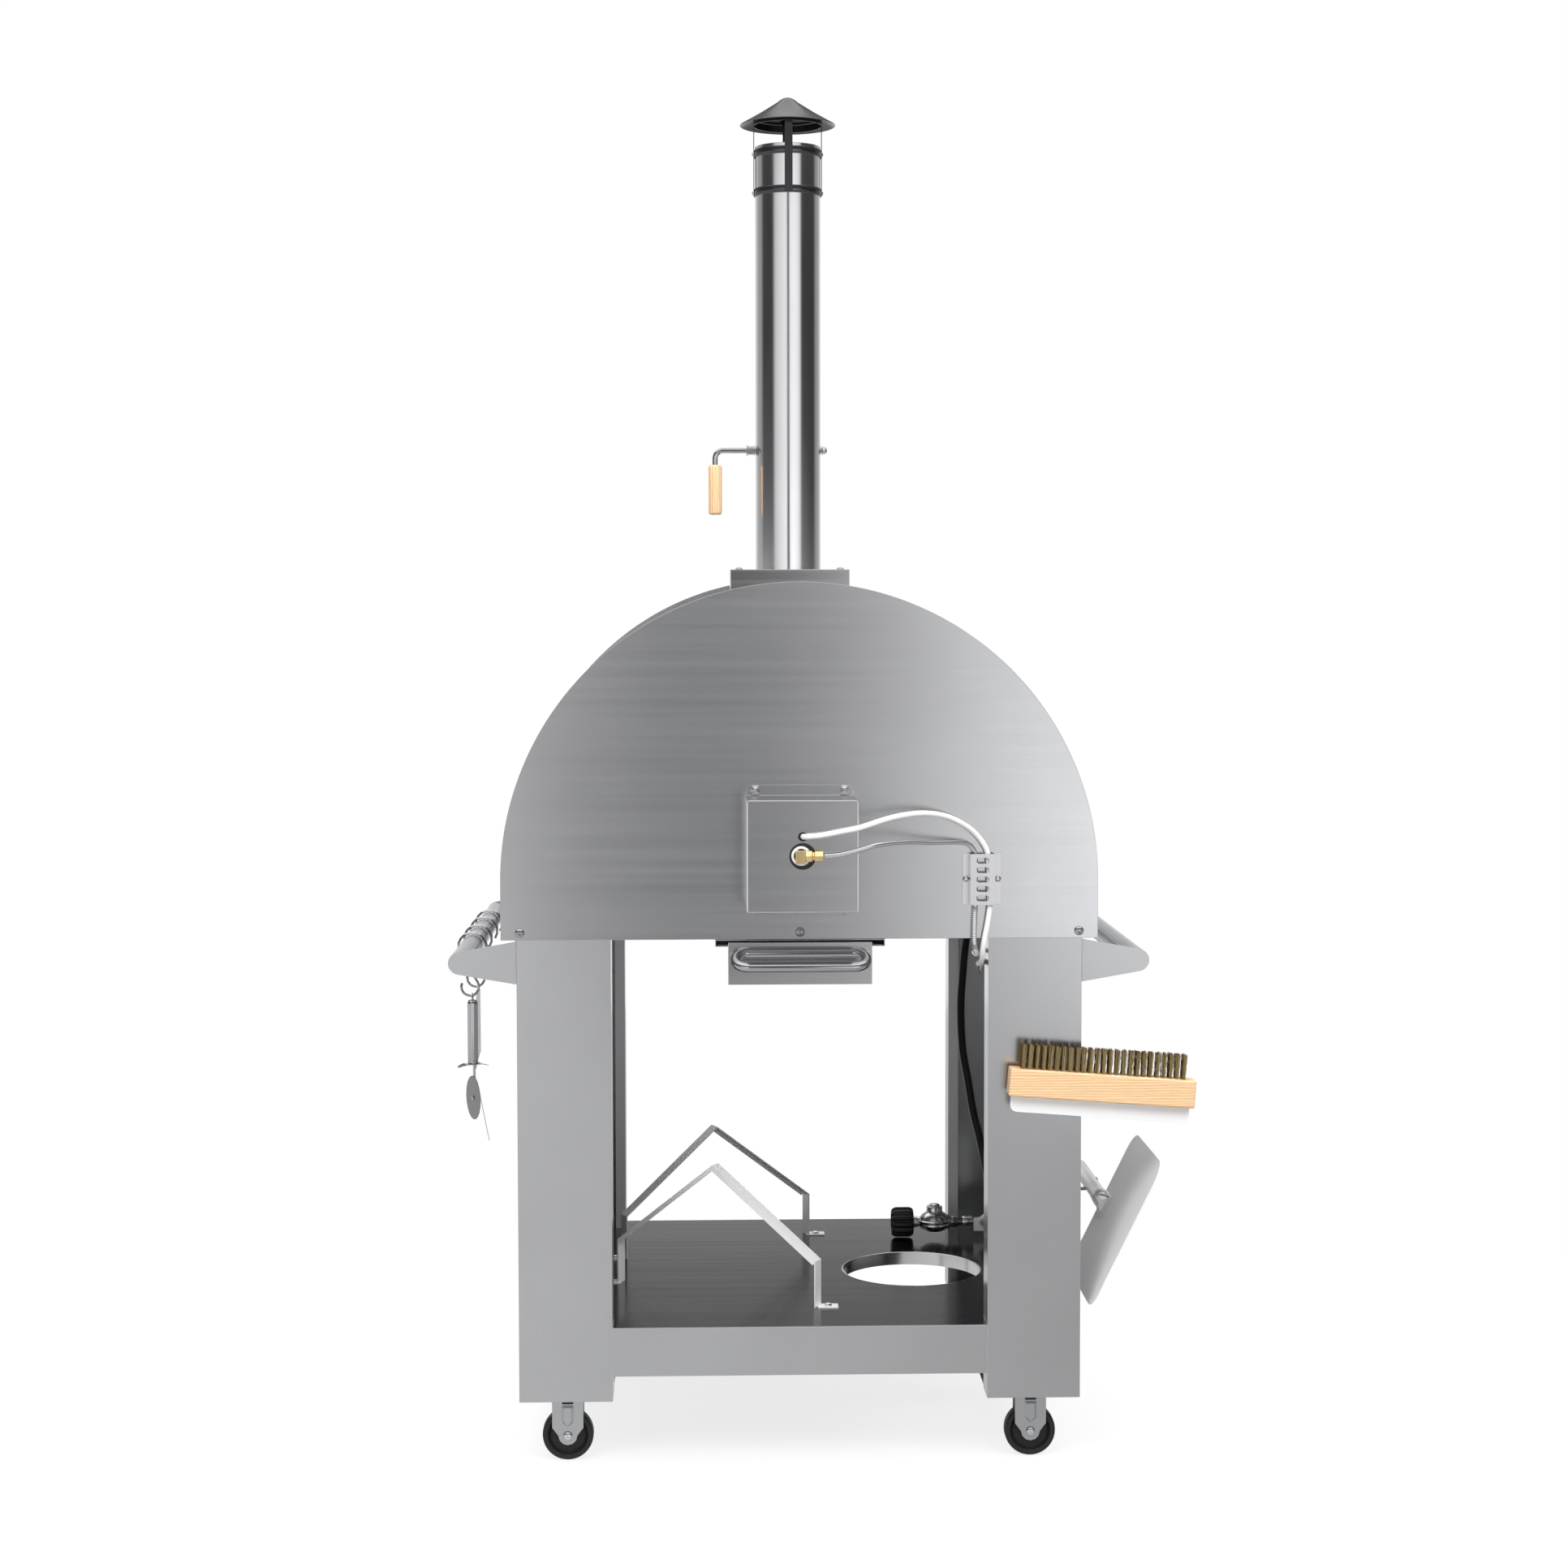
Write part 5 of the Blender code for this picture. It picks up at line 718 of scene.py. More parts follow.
class OVEN_OT_stage(bpy.types.Operator):
    """Sets up the camera, the pale floor and the soft lights"""

    bl_idname = "oven.stage"
    bl_label = "Studio"

    def execute(self, context):
        settings = context.scene.oven_stage
        self.camera(context, settings)
        self.floor(context, settings)
        self.lights(context, settings)
        self.surroundings(context)
        context.scene.view_settings.view_transform = "Standard"
        return {"FINISHED"}

    def camera(self, context, settings):
        yaw, pitch, roll = 0.0288, 0.0531, -0.0015
        forward = Vector((-sin(yaw) * cos(pitch), -cos(yaw) * cos(pitch), -sin(pitch)))
        level = Vector((-cos(yaw), sin(yaw), 0))
        above = level.cross(forward)
        right = level * cos(roll) + above * sin(roll)
        above = right.cross(forward)
        data = bpy.data.cameras.new("studio_camera")
        data.sensor_width = 36
        data.lens = settings.focal_length
        data.shift_y = -0.01428
        data.clip_end = 60
        camera = bpy.data.objects.new("studio_camera", data)
        turn = Matrix((right, above, -forward)).transposed()
        camera.matrix_world = Matrix.Translation(at_cart(*settings.camera_place)) @ turn.to_4x4()
        context.scene.collection.objects.link(camera)
        context.scene.camera = camera

    def floor(self, context, settings):
        shape = bmesh.new()
        bmesh.ops.create_circle(shape, cap_ends=True, segments=96, radius=4.3)
        mesh = bpy.data.meshes.new("studio_floor")
        shape.to_mesh(mesh)
        shape.free()
        paint, tree, shader = new_finish("floor_paint")
        clouds = grouped(tree, "Handling Marks", Size=0.8)["Clouds"]
        low, high = shades(settings.floor_colour, 0.01)
        tree.links.new(blended(tree, clouds, low, high), shader.inputs["Base Color"])
        shader.inputs["Roughness"].default_value = 0.9
        shader.inputs["Specular IOR Level"].default_value = 0.0
        place = own_coordinates(tree)
        reach = put(tree, "ShaderNodeVectorMath", {0: place}, operation="LENGTH").outputs["Value"]
        open_floor = ranged(tree, eased(tree, reach, 0.5, 1.5), 0.80, 1.0)
        backdrop = put(tree, "ShaderNodeEmission", {"Color": (1, 1, 1, 1), "Strength": 1.0})
        across = put(tree, "ShaderNodeSeparateXYZ", {0: place}).outputs[0]
        glow = ranged(tree, across, settings.floor_glow, settings.floor_glow * 1.45, -0.6, 0.5)
        mirrored = put(tree, "ShaderNodeEmission", {"Color": (1, 1, 1, 1), "Strength": glow})
        shown = mixed(tree, open_floor, shader, backdrop)
        seen = mixed(tree, put(tree, "ShaderNodeLightPath").outputs["Is Camera Ray"], mirrored, shown)
        tree.links.new(seen.outputs[0], tree.nodes["Material Output"].inputs[0])
        mesh.materials.append(paint)
        ground = bpy.data.objects.new("studio_floor", mesh)
        context.scene.collection.objects.link(ground)

    def lights(self, context, settings):
        """Soft boxes: two high ones behind the oven, one high one in front and one overhead."""
        plan = (
            ("key_light", (1.7, 3.0, 3.4), 2.0, settings.key_power),
            ("fill_light", (-2.1, 2.6, 3.0), 2.0, settings.key_power * 0.9),
            ("front_light", (0.4, -3.2, 3.2), 2.6, settings.fill_power * 1.6),
            ("top_light", (0.0, 0.2, 4.4), 3.0, settings.fill_power),
        )
        for name, place, size, power in plan:
            data = bpy.data.lights.new(name, "AREA")
            data.shape = "SQUARE"
            data.size = size
            data.energy = power
            light = bpy.data.objects.new(name, data)
            light.visible_glossy = False
            light.location = place
            aim = Vector((0, 0, 0.9)) - Vector(place)
            light.rotation_euler = aim.to_track_quat("-Z", "Y").to_euler()
            context.scene.collection.objects.link(light)

    def surroundings(self, context):
        """A white backdrop; round it a ring of soft boxes and dark gaps for the metal to mirror."""
        world = bpy.data.worlds.new("studio_ring")
        world.use_nodes = True
        tree = world.node_tree
        tree.nodes.clear()
        coordinates = put(tree, "ShaderNodeTexCoord").outputs["Generated"]
        east, north, height = put(tree, "ShaderNodeSeparateXYZ", {0: coordinates}).outputs
        turn = maths(tree, "ARCTAN2", maths(tree, "MULTIPLY", east, -1.0), north)
        around = ranged(tree, turn, 0, 1, -pi, pi)
        upper = self.ring(tree, around, UPPER_RING)
        lower = self.ring(tree, around, LOWER_RING)
        round_it = blended(tree, eased(tree, height, -0.005, 0.030), lower, upper)
        rise = put(tree, "ShaderNodeValToRGB", {0: height})
        ramp = rise.color_ramp
        ramp.elements.remove(ramp.elements[1])
        for place, _ in OVERHEAD:
            ramp.elements.new(place)
        ramp.elements[0].color = (0, 0, 0, 1)
        for element, (_, level) in zip(ramp.elements[1:], OVERHEAD):
            element.color = (level, level, level, 1)
        sky = blended(tree, eased(tree, height, 0.185, 0.225), round_it, rise.outputs[0])
        ground = ranged(tree, height, 1, 0, -0.30, -0.20)
        colour = blended(tree, ground, sky, (0.50, 0.50, 0.50, 1))
        mirrored = put(tree, "ShaderNodeBackground", {"Color": colour, "Strength": 1.0})
        backdrop = put(tree, "ShaderNodeBackground", {"Color": (1, 1, 1, 1), "Strength": 1.0})
        seen = mixed(tree, put(tree, "ShaderNodeLightPath").outputs["Is Camera Ray"], mirrored, backdrop)
        tree.links.new(seen.outputs[0], put(tree, "ShaderNodeOutputWorld").inputs[0])
        context.scene.world = world

    def ring(self, tree, around, stops):
        """Brightness round the horizon, from stops of (angle, level)."""
        node = put(tree, "ShaderNodeValToRGB", {0: around})
        ramp = node.color_ramp
        ramp.elements.remove(ramp.elements[1])
        ramp.elements[0].position = 0
        for angle, level in stops[1:]:
            ramp.elements.new((angle + 180) / 360)
        for element, (angle, level) in zip(ramp.elements, stops):
            element.color = (level, level, level * 1.01, 1)
        return node.outputs[0]


# The finish of each carried piece
DRESSING = {
    "body_sheet": ("oven_base", "front_fascia", "burner_cover", "ash_drawer", "door", "rear_panel"),
    "collar_sheet": ("flue_collar",),
    "side_sheet": ("outer_vault", "inner_vault"),
    "leg_sheet": ("side_frame_left", "side_frame_right", "control_panel"),
    "satin_strip": ("cable_guard", "server"),
    # The racks' near-white finish is painted light.
    "rack_strip": ("wood_rack_rear", "wood_rack_front"),
    "disc_steel": ("cutter_wheel",),
    "dark_chrome": ("rail_hook_1", "rail_hook_2", "rail_hook_3", "rail_hook_4"),
    "pale_alloy": ("brush_scraper", "peel_blade"),
    "rail_tube": ("side_rail_left", "side_rail_right", "burner_tube", "gas_line"),
    "rod_steel": (
        "damper", "damper_spring", "drawer_handle", "door_handle", "cutter_handle", "thermometer",
    ),
    "flue_sheet": ("flue_pipe",),
    "shelf_sheet": ("lower_shelf",),
    "zinc_sheet": ("drawer_carrier", *(n for n in NODES if n.startswith("caster_fork"))),
    "cast_zinc": ("regulator",),
    "brass_fitting": ("gas_elbow",),
    "black_gloss": ("rain_cap", "tool_hanger"),
    "black_plastic": ("control_knob", "igniter_button", "regulator_handwheel"),
    "hose_rubber": ("gas_hose",),
    "tyre_rubber": tuple(n for n in NODES if n.startswith("caster_wheel")),
    "fire_stone": ("hearth_stone",),
    "white_fibre": ("insulation",),
    "wire_brass": ("brush_bristles",),
    "white_sleeve": ("igniter_cable",),
    "block_wood": ("brush_head",),
    "handle_wood": ("brush_handle", "peel_handle"),
    "grip_wood": ("damper_grip",),
}

# How much wider than the general edge rounding each finish has its folds
FOLDS = {
    "body_sheet": 2.2, "leg_sheet": 2.0, "shelf_sheet": 3.0, "satin_strip": 1.0,
    "pale_alloy": 1.0, "zinc_sheet": 1.2, "collar_sheet": 2.2, "black_gloss": 1.0,
}


class OVEN_OT_finishes(bpy.types.Operator):
    """Makes the finishes, gives one to every carried piece and rounds the folds of the sheets"""

    bl_idname = "oven.finishes"
    bl_label = "Finishes"

    def execute(self, context):
        p = context.scene.oven_finishes
        # Name, colour, roughness, grain, spread of tone, depth of grain, swing of roughness, bow
        metals = (
            ("body_sheet", p.sheet_steel, p.sheet_gloss, ALONG_X),
            ("leg_sheet", p.sheet_steel, p.sheet_gloss + 0.03, ALONG_Z, 0.035, 0.000003, 0.008, -LEG_BOW),
            ("rim_sheet", p.bright_steel, 0.20, ALL_WAYS, 0.03, 0, 0.02),
            ("side_sheet", p.sheet_steel, p.sheet_gloss, ALONG_Y),
            ("satin_strip", p.bright_steel, 0.26, ALONG_X, 0.02, 0),
            ("rail_tube", p.sheet_steel, 0.26, ALL_WAYS, 0.02, 0, 0.008, -LEG_BOW),
            ("rod_steel", p.bright_steel, 0.15, ALL_WAYS, 0.02, 0, 0.01),
            ("flue_sheet", p.bright_steel, p.flue_gloss, (90.0, 90.0, 9.0), 0.03, 0, 0.02),
            # The shelf's dark steel is painted shade; its upright faces get the plain skirt sheet.
            ("shelf_sheet", p.shelf_steel, 0.15, ALONG_X, 0.06, 0, 0.02),
            ("skirt_sheet", p.sheet_steel, p.sheet_gloss, ALONG_X),
            ("zinc_sheet", p.zinc, 0.34, ALL_WAYS, 0.06, 0, 0.04),
            ("disc_steel", (0.26, 0.26, 0.27), 0.30, ALL_WAYS, 0.04, 0, 0.02),
            ("dark_chrome", (0.50, 0.50, 0.51), 0.12, ALL_WAYS, 0.02, 0, 0.01),
            ("brass_fitting", p.brass, 0.22, ALL_WAYS, 0.04, 0, 0.03),
            ("black_gloss", (0.10, 0.10, 0.105), 0.24, ALL_WAYS, 0.10, 0, 0.04),
            ("collar_sheet", p.bright_steel, 0.13, ALONG_X, 0.02, 0, 0.02),
            ("wire_brass", (0.52, 0.40, 0.20), 0.36, (900.0, 900.0, 40.0), 0.45, 0, 0.06),
        )
        # Name, colour, roughness, size and depth of the texture, metallic share, spread of tone
        mouldings = (
            # Painted light: the legs' lips get a paler, less metallic copy of the sheet steel so that they
            # read as lit.
            ("fold_sheet", (0.72, 0.72, 0.73), 0.42, 500.0, 0.000004, 0.35, 0.02),
            ("pale_alloy", (0.95, 0.95, 0.96), 0.55, 500.0, 0.000004, 0.25, 0.02),
            ("cast_zinc", p.bright_steel, 0.26, 260.0, 0.00010, 1.0, 0.06),
            # Painted reflection: the racks' steel strips get a near-white, mostly matt copy of the steel,
            # standing in for the bright studio they mirror.
            ("rack_strip", (0.93, 0.93, 0.94), 0.36, 500.0, 0, 0.22, 0.01),
            ("black_plastic", p.black, 0.42, 900.0, 0.00005),
            ("hose_rubber", p.rubber, 0.38, 900.0, 0.00004),
            ("tyre_rubber", p.rubber, 0.52, 700.0, 0.00005),
            ("blank_tag", (0.80, 0.80, 0.80), 0.5, 500.0, 0.00003, 0.0, 0.03),
            ("fire_stone", (0.60, 0.50, 0.38), 0.86, 260.0, 0.0006, 0.0, 0.12),
            ("white_fibre", (0.82, 0.81, 0.78), 0.93, 120.0, 0.001, 0.0, 0.05),
            ("dial_face", (0.84, 0.84, 0.82), 0.45, 300.0, 0.00002, 0.0, 0.02),
            # Painted shade for the forks' slots.
            ("dark_recess", (0.02, 0.02, 0.02), 0.6, 300.0, 0.00004),
        )
        woods = {"block_wood": (0, 0, 0), "handle_wood": (0, 0, pi / 2), "grip_wood": (0, pi / 2, 0)}
        for name, *recipe in metals:
            FINISHES[name] = steel(name, *recipe)
        for name, *recipe in mouldings:
            FINISHES[name] = moulded(name, *recipe)
        for name, turn in woods.items():
            FINISHES[name] = timber(name, p.wood_light, p.wood_dark, turn)
        FINISHES["white_sleeve"] = woven_sleeve("white_sleeve", (0.86, 0.86, 0.85))
        self.dress(context.scene.oven_details.edge_width)
        self.split_shelf_shade(NODES["lower_shelf"])
        return {"FINISHED"}

    def dress(self, width):
        """Gives every carried piece its finish and rounds the folds of the sheet metal."""
        bare = set(NODES)
        for label, nodes in DRESSING.items():
            for node in nodes:
                ob = NODES[node]
                ob.data.materials.clear()
                ob.data.materials.append(FINISHES[label])
                bare.remove(node)
                if label in FOLDS:
                    soften(ob, width * FOLDS[label], weld=True)
        if bare:
            raise RuntimeError(f"pieces without a finish: {sorted(bare)}")

    def split_shelf_shade(self, shelf):
        """The shelf's upright faces get the body sheet's own colour; the flat top keeps the far darker shelf
        steel, which is painted shade for the shade under the oven.
        """
        shelf.data.materials.append(FINISHES["skirt_sheet"])
        for face in shelf.data.polygons:
            if abs(face.normal.z) < 0.5:
                face.material_index = 1


class OVEN_OT_gas_hose(bpy.types.Operator):
    """Lays the black gas hose from the valve to the regulator, with its sleeves and blank tag"""

    bl_idname = "oven.gas_hose"
    bl_label = "Gas Hose"

    def execute(self, context):
        knots = smooth_points(HOSE_ROUTE[1:-1], 0.008)
        points = [Vector(HOSE_ROUTE[0]), *knots, Vector(HOSE_ROUTE[-1])]
        points = [CART + p for p in points]
        curve = bpy.data.curves.new("hose", "CURVE")
        curve.dimensions = "3D"
        curve.bevel_depth = 0.0065
        curve.bevel_resolution = 6
        curve.use_fill_caps = True
        line = curve.splines.new("POLY")
        line.points.add(len(points) - 1)
        for point, place in zip(line.points, points):
            point.co = (*place, 1)
        line.use_smooth = True
        curve.materials.append(FINISHES["hose_rubber"])
        hose = bpy.data.objects.new("rubber_hose", curve)
        context.scene.collection.objects.link(hose)
        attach(hose, "oven")
        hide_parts("gas_hose")
        length = sum((b - a).length for a, b in zip(points, points[1:]))

        shape = bmesh.new()
        end = points[-1]
        profile = mm((6.6, 0), (8.8, 0.2), (9.1, 1.5), (9.1, 16.5), (8.6, 17.8), (6.6, 18))
        add_ring(shape, profile, end - Vector((0.0175, 0, 0)), X, 40)
        ridge = mm((9.2, 0), (9.8, 0.9), (9.2, 1.8))
        for step in range(4):
            add_turned(shape, ridge, end - Vector((0.015 - step * 0.0035, 0, 0)), X, 40)
        sleeve = piece("hose_ferrule", shape, ["rod_steel"], "oven")

        shape = bmesh.new()
        first, last = at_cart(-0.3286, 0, 0).x, at_cart(-0.308, 0, 0).x
        tagged = [p for p in points if first <= p.x <= last and p.z < 0.3]
        add_tube(shape, tagged, 0.00695, 28, up=Z)
        flag = at_cart(-0.3183, -0.208, 0.2316)
        half = 0.0102
        add_block(shape, (flag.x - half, flag.y + 0.0066, 0.2170), (flag.x + half, flag.y + 0.0074, 0.2392))
        tag = piece("hose_tag", shape, ["blank_tag"], "oven", bevel=0.0006)

        shape = bmesh.new()
        start = points[0]
        nut = mm((9.4, 0), (10, 0.6), (10, 10.5), (9.4, 11.2), (6.6, 11.2), (6.6, 0))
        add_ring(shape, nut, start + Vector((0, 0.0004, 0)), Y, 6)
        nut = piece("hose_nut", shape, ["brass_fitting"], "oven", bevel=0.0005)
        OVEN_OT_gas_hose.made = (hose, points, length, [sleeve, tag, nut])
        return {"FINISHED"}


class OVEN_OT_regulator(bpy.types.Operator):
    bl_idname = "oven.regulator"
    bl_label = "Regulator"

    def execute(self, context):
        wheel_low, wheel_high, axis = span("regulator_handwheel")
        middle = at_cart(-0.243, 0, 0).x
        at = Vector((middle, axis.y, axis.z))
        radius, rise = 0.0285, span("regulator")[1].z - axis.z
        shape = bmesh.new()
        dome = [
            (0, 1.0), (0.24, 1.0), (0.29, 0.97), (0.31, 0.90), (0.33, 0.88), (0.42, 0.88), (0.455, 0.85),
            (0.465, 0.78), (0.465, 0.60), (0.50, 0.545), (0.60, 0.49), (0.72, 0.41), (0.82, 0.30),
            (0.88, 0.19),
            (0.91, 0.15), (0.97, 0.145), (1.0, 0.12), (1.0, 0.03), (0.985, 0.012), (0.985, -0.012),
            (1.0, -0.03),
            (1.0, -0.12), (0.97, -0.145), (0.91, -0.15), (0.88, -0.18), (0.80, -0.28), (0.66, -0.40),
            (0.48, -0.48), (0.30, -0.52), (0, -0.53),
        ]
        add_turned(shape, [(r * radius, h * rise) for r, h in dome], at, Z, 72)
        for turn in range(6):
            way = radians(60 * turn + 30)
            spot = at + Vector((cos(way) * radius * 0.945, sin(way) * radius * 0.945, rise * 0.145))
            add_dome(shape, spot, Z, 0.0011, 0.0008, steps=12)
        neck = mm(
            (9.2, 18), (9.2, 23.5), (8, 24.5), (8, 28.5), (9.8, 29.5), (9.8, 34.5), (8.5, 35.2),
            (7.1, 35.2),
        )
        add_turned(shape, neck, at, X, 40)
        throat = mm((11.5, 12), (11.5, 21.5), (9.8, 23), (9.2, 23.5))
        add_turned(shape, throat, at, X, 40)
        outlet = mm((12, 14), (11.8, 23.5), (10, 26.2), (8.8, 27.5), (8.8, 30), (0, 30))
        add_turned(shape, outlet, at, (-1, 0, 0), 40)
        hex_start = middle - 0.0300
        nut = mm((0, 0), (9, 0), (9.8, 0.8), (9.8, 7.5), (9, 8.3), (0, 8.3))
        add_turned(shape, nut, (hex_start, at.y, at.z), (-1, 0, 0), 6, 1)
        stub = mm((7.2, 8), (7.2, 16.8), (0, 16.8))
        add_turned(shape, stub, (hex_start, at.y, at.z), (-1, 0, 0), 40, 1)
        finishes = ["cast_zinc", "rod_steel"]
        body = piece("regulator_body", shape, finishes, "oven", ["regulator"], 0.0003)

        shape = bmesh.new()
        reach, groove = (wheel_high.z - wheel_low.z) / 2, 0.0036
        turns = 144
        sections = (
            (0, 0.80), (0.0008, 0.86), (0.0022, 0.92), (0.0045, 0.97), (0.008, 1.0), (0.028, 1.0),
            (0.0315, 0.97), (0.0338, 0.92), (0.0352, 0.86), (0.036, 0.80),
        )
        rings = []
        for along, share in sections:
            ring = []
            for step in range(turns):
                turn = 2 * pi * step / turns
                wave = abs(sin(6 * (turn - pi / 2))) ** 4
                length = (reach - groove * wave) * share
                x = wheel_low.x + along
                place = Vector((x, axis.y + length * cos(turn), axis.z + length * sin(turn)))
                ring.append(shape.verts.new(place))
            rings.append(ring)
        for one, other in zip(rings, rings[1:]):
            bridge(shape, one, other)
        inner = []
        hub = 0.0078
        for ring, x, sign in ((rings[0], wheel_low.x, 1), (rings[-1], wheel_high.x, -1)):
            last = ring
            for depth, length in ((0.0, reach * 0.74), (0.0035, reach * 0.66), (0.0035, hub)):
                level = x + sign * depth
                fresh = []
                for step in range(turns):
                    turn = 2 * pi * step / turns
                    spot = Vector((level, axis.y + length * cos(turn), axis.z + length * sin(turn)))
                    fresh.append(shape.verts.new(spot))
                bridge(shape, last, fresh)
                last = fresh
            inner.append(last)
        bridge(shape, *inner)
        bmesh.ops.recalc_face_normals(shape, faces=shape.faces)
        for face in shape.faces:
            face.smooth = True
        wheel = piece(
            "bottle_handwheel", shape, ["black_plastic"], "handwheel", ["regulator_handwheel"], angle=50,
        )

        shape = bmesh.new()
        stem = mm((0, 31.5), (3, 31.5), (3.4, 30.5), (3.4, 26.2), (6.6, 25.2), (7, 24), (7, 0), (0, 0))
        add_turned(shape, stem, (wheel_low.x, axis.y, axis.z), X, 40)
        probe = piece("bottle_probe", shape, ["brass_fitting"], "oven")

        hose, points, length, extras = OVEN_OT_gas_hose.made
        return {"FINISHED"}


class OVEN_OT_shell(bpy.types.Operator):
    """Builds the smooth half-round skin, the rear panel and the front fascia"""

    bl_idname = "oven.shell"
    bl_label = "Body Shell"

    def execute(self, context):
        self.skin()
        self.panel()
        self.front()
        return {"FINISHED"}

    def arch(self, radius, foot, steps=128):
        centre = CART.x, VAULT_CENTRE
        return [(centre[0] + radius, foot), *arc(centre, radius, 0, pi, steps), (centre[0] - radius, foot)]

    def sheet(self, name, outer, inner, low_y, high_y, label, node, bevel):
        """A curved strip between two open outlines, from low_y to high_y."""
        shape = bmesh.new()
        rings = []
        for outline, y in ((outer, low_y), (outer, high_y), (inner, high_y), (inner, low_y)):
            rings.append([shape.verts.new((x, y, z)) for x, z in outline])
        for one, other in zip(rings, rings[1:] + rings[:1]):
            for index in range(len(outer) - 1):
                shape.faces.new((one[index], one[index + 1], other[index + 1], other[index]))
        shape.faces.new([ring[0] for ring in rings])
        shape.faces.new([ring[-1] for ring in rings][::-1])
        bmesh.ops.recalc_face_normals(shape, faces=shape.faces)
        return piece(name, shape, [label], "oven", [node], bevel)

    def skin(self):
        low, high, _ = span("outer_vault")
        radius = high.x - CART.x
        outer = self.arch(radius, low.z)
        inner = self.arch(radius - 0.0012, low.z)
        self.sheet("vault_skin", outer, inner, low.y, high.y, "side_sheet", "outer_vault", 0.0003)

    def panel(self):
        low, high, _ = span("rear_panel")
        shape = bmesh.new()
        turned = Matrix(((1, 0, 0, 0), (0, 0, 1, 0), (0, 1, 0, 0), (0, 0, 0, 1)))
        add_slab(shape, self.arch(high.x - CART.x, low.z), turned, PANEL_Y - 0.0015, PANEL_Y)
        piece("rear_sheet", shape, ["body_sheet"], "oven", ["rear_panel"], 0.0006, 3)

    def front(self):
        """The fascia round the mouth, its edges a little rounded."""
        low, high, _ = span("front_fascia")
        radius = high.x - CART.x
        door_low, door_high, _ = span("door")
        margin = 0.018
        half = (door_high.x - door_low.x) / 2 - margin
        sill = door_low.z + margin
        rise = 0.105
        spring = sill + 0.120
        bow = (half * half + rise * rise) / (2 * rise)
        spread = asin(half / bow)
        steps = 128
        mouth = arc((CART.x, spring + rise - bow), bow, pi / 2 - spread, pi / 2 + spread, steps)
        outer = arc((CART.x, VAULT_CENTRE), radius, 0, pi, steps)
        foot = [(CART.x + radius, low.z), (CART.x - radius, low.z)]
        mouth_foot = [(CART.x + half, sill), (CART.x - half, sill)]
        outer = [(CART.x + radius, sill), *outer, (CART.x - radius, sill)]
        mouth = [mouth_foot[0], *mouth, mouth_foot[1]]
        shape = bmesh.new()
        layers = []
        for y in (low.y, high.y):
            outside = [shape.verts.new((x, y, z)) for x, z in outer]
            inside = [shape.verts.new((x, y, z)) for x, z in mouth]
            feet = [shape.verts.new((x, y, z)) for x, z in foot]
            for index in range(len(outer) - 1):
                shape.faces.new((outside[index], outside[index + 1], inside[index + 1], inside[index]))
            shape.faces.new((feet[0], outside[0], inside[0], inside[-1], outside[-1], feet[1]))
            layers.append((outside, inside, feet))
        (a_out, a_in, a_feet), (b_out, b_in, b_feet) = layers
        for one, other in ((a_out, b_out), (a_in, b_in)):
            for index in range(len(one) - 1):
                shape.faces.new((one[index], one[index + 1], other[index + 1], other[index]))
        shape.faces.new((a_in[-1], a_in[0], b_in[0], b_in[-1]))
        shape.faces.new((a_feet[0], a_feet[1], b_feet[1], b_feet[0]))
        shape.faces.new((a_feet[0], a_out[0], b_out[0], b_feet[0]))
        shape.faces.new((a_out[-1], a_feet[1], b_feet[1], b_out[-1]))
        bmesh.ops.recalc_face_normals(shape, faces=shape.faces)
        piece("mouth_fascia", shape, ["body_sheet"], "oven", ["front_fascia"], 0.0006, 3)


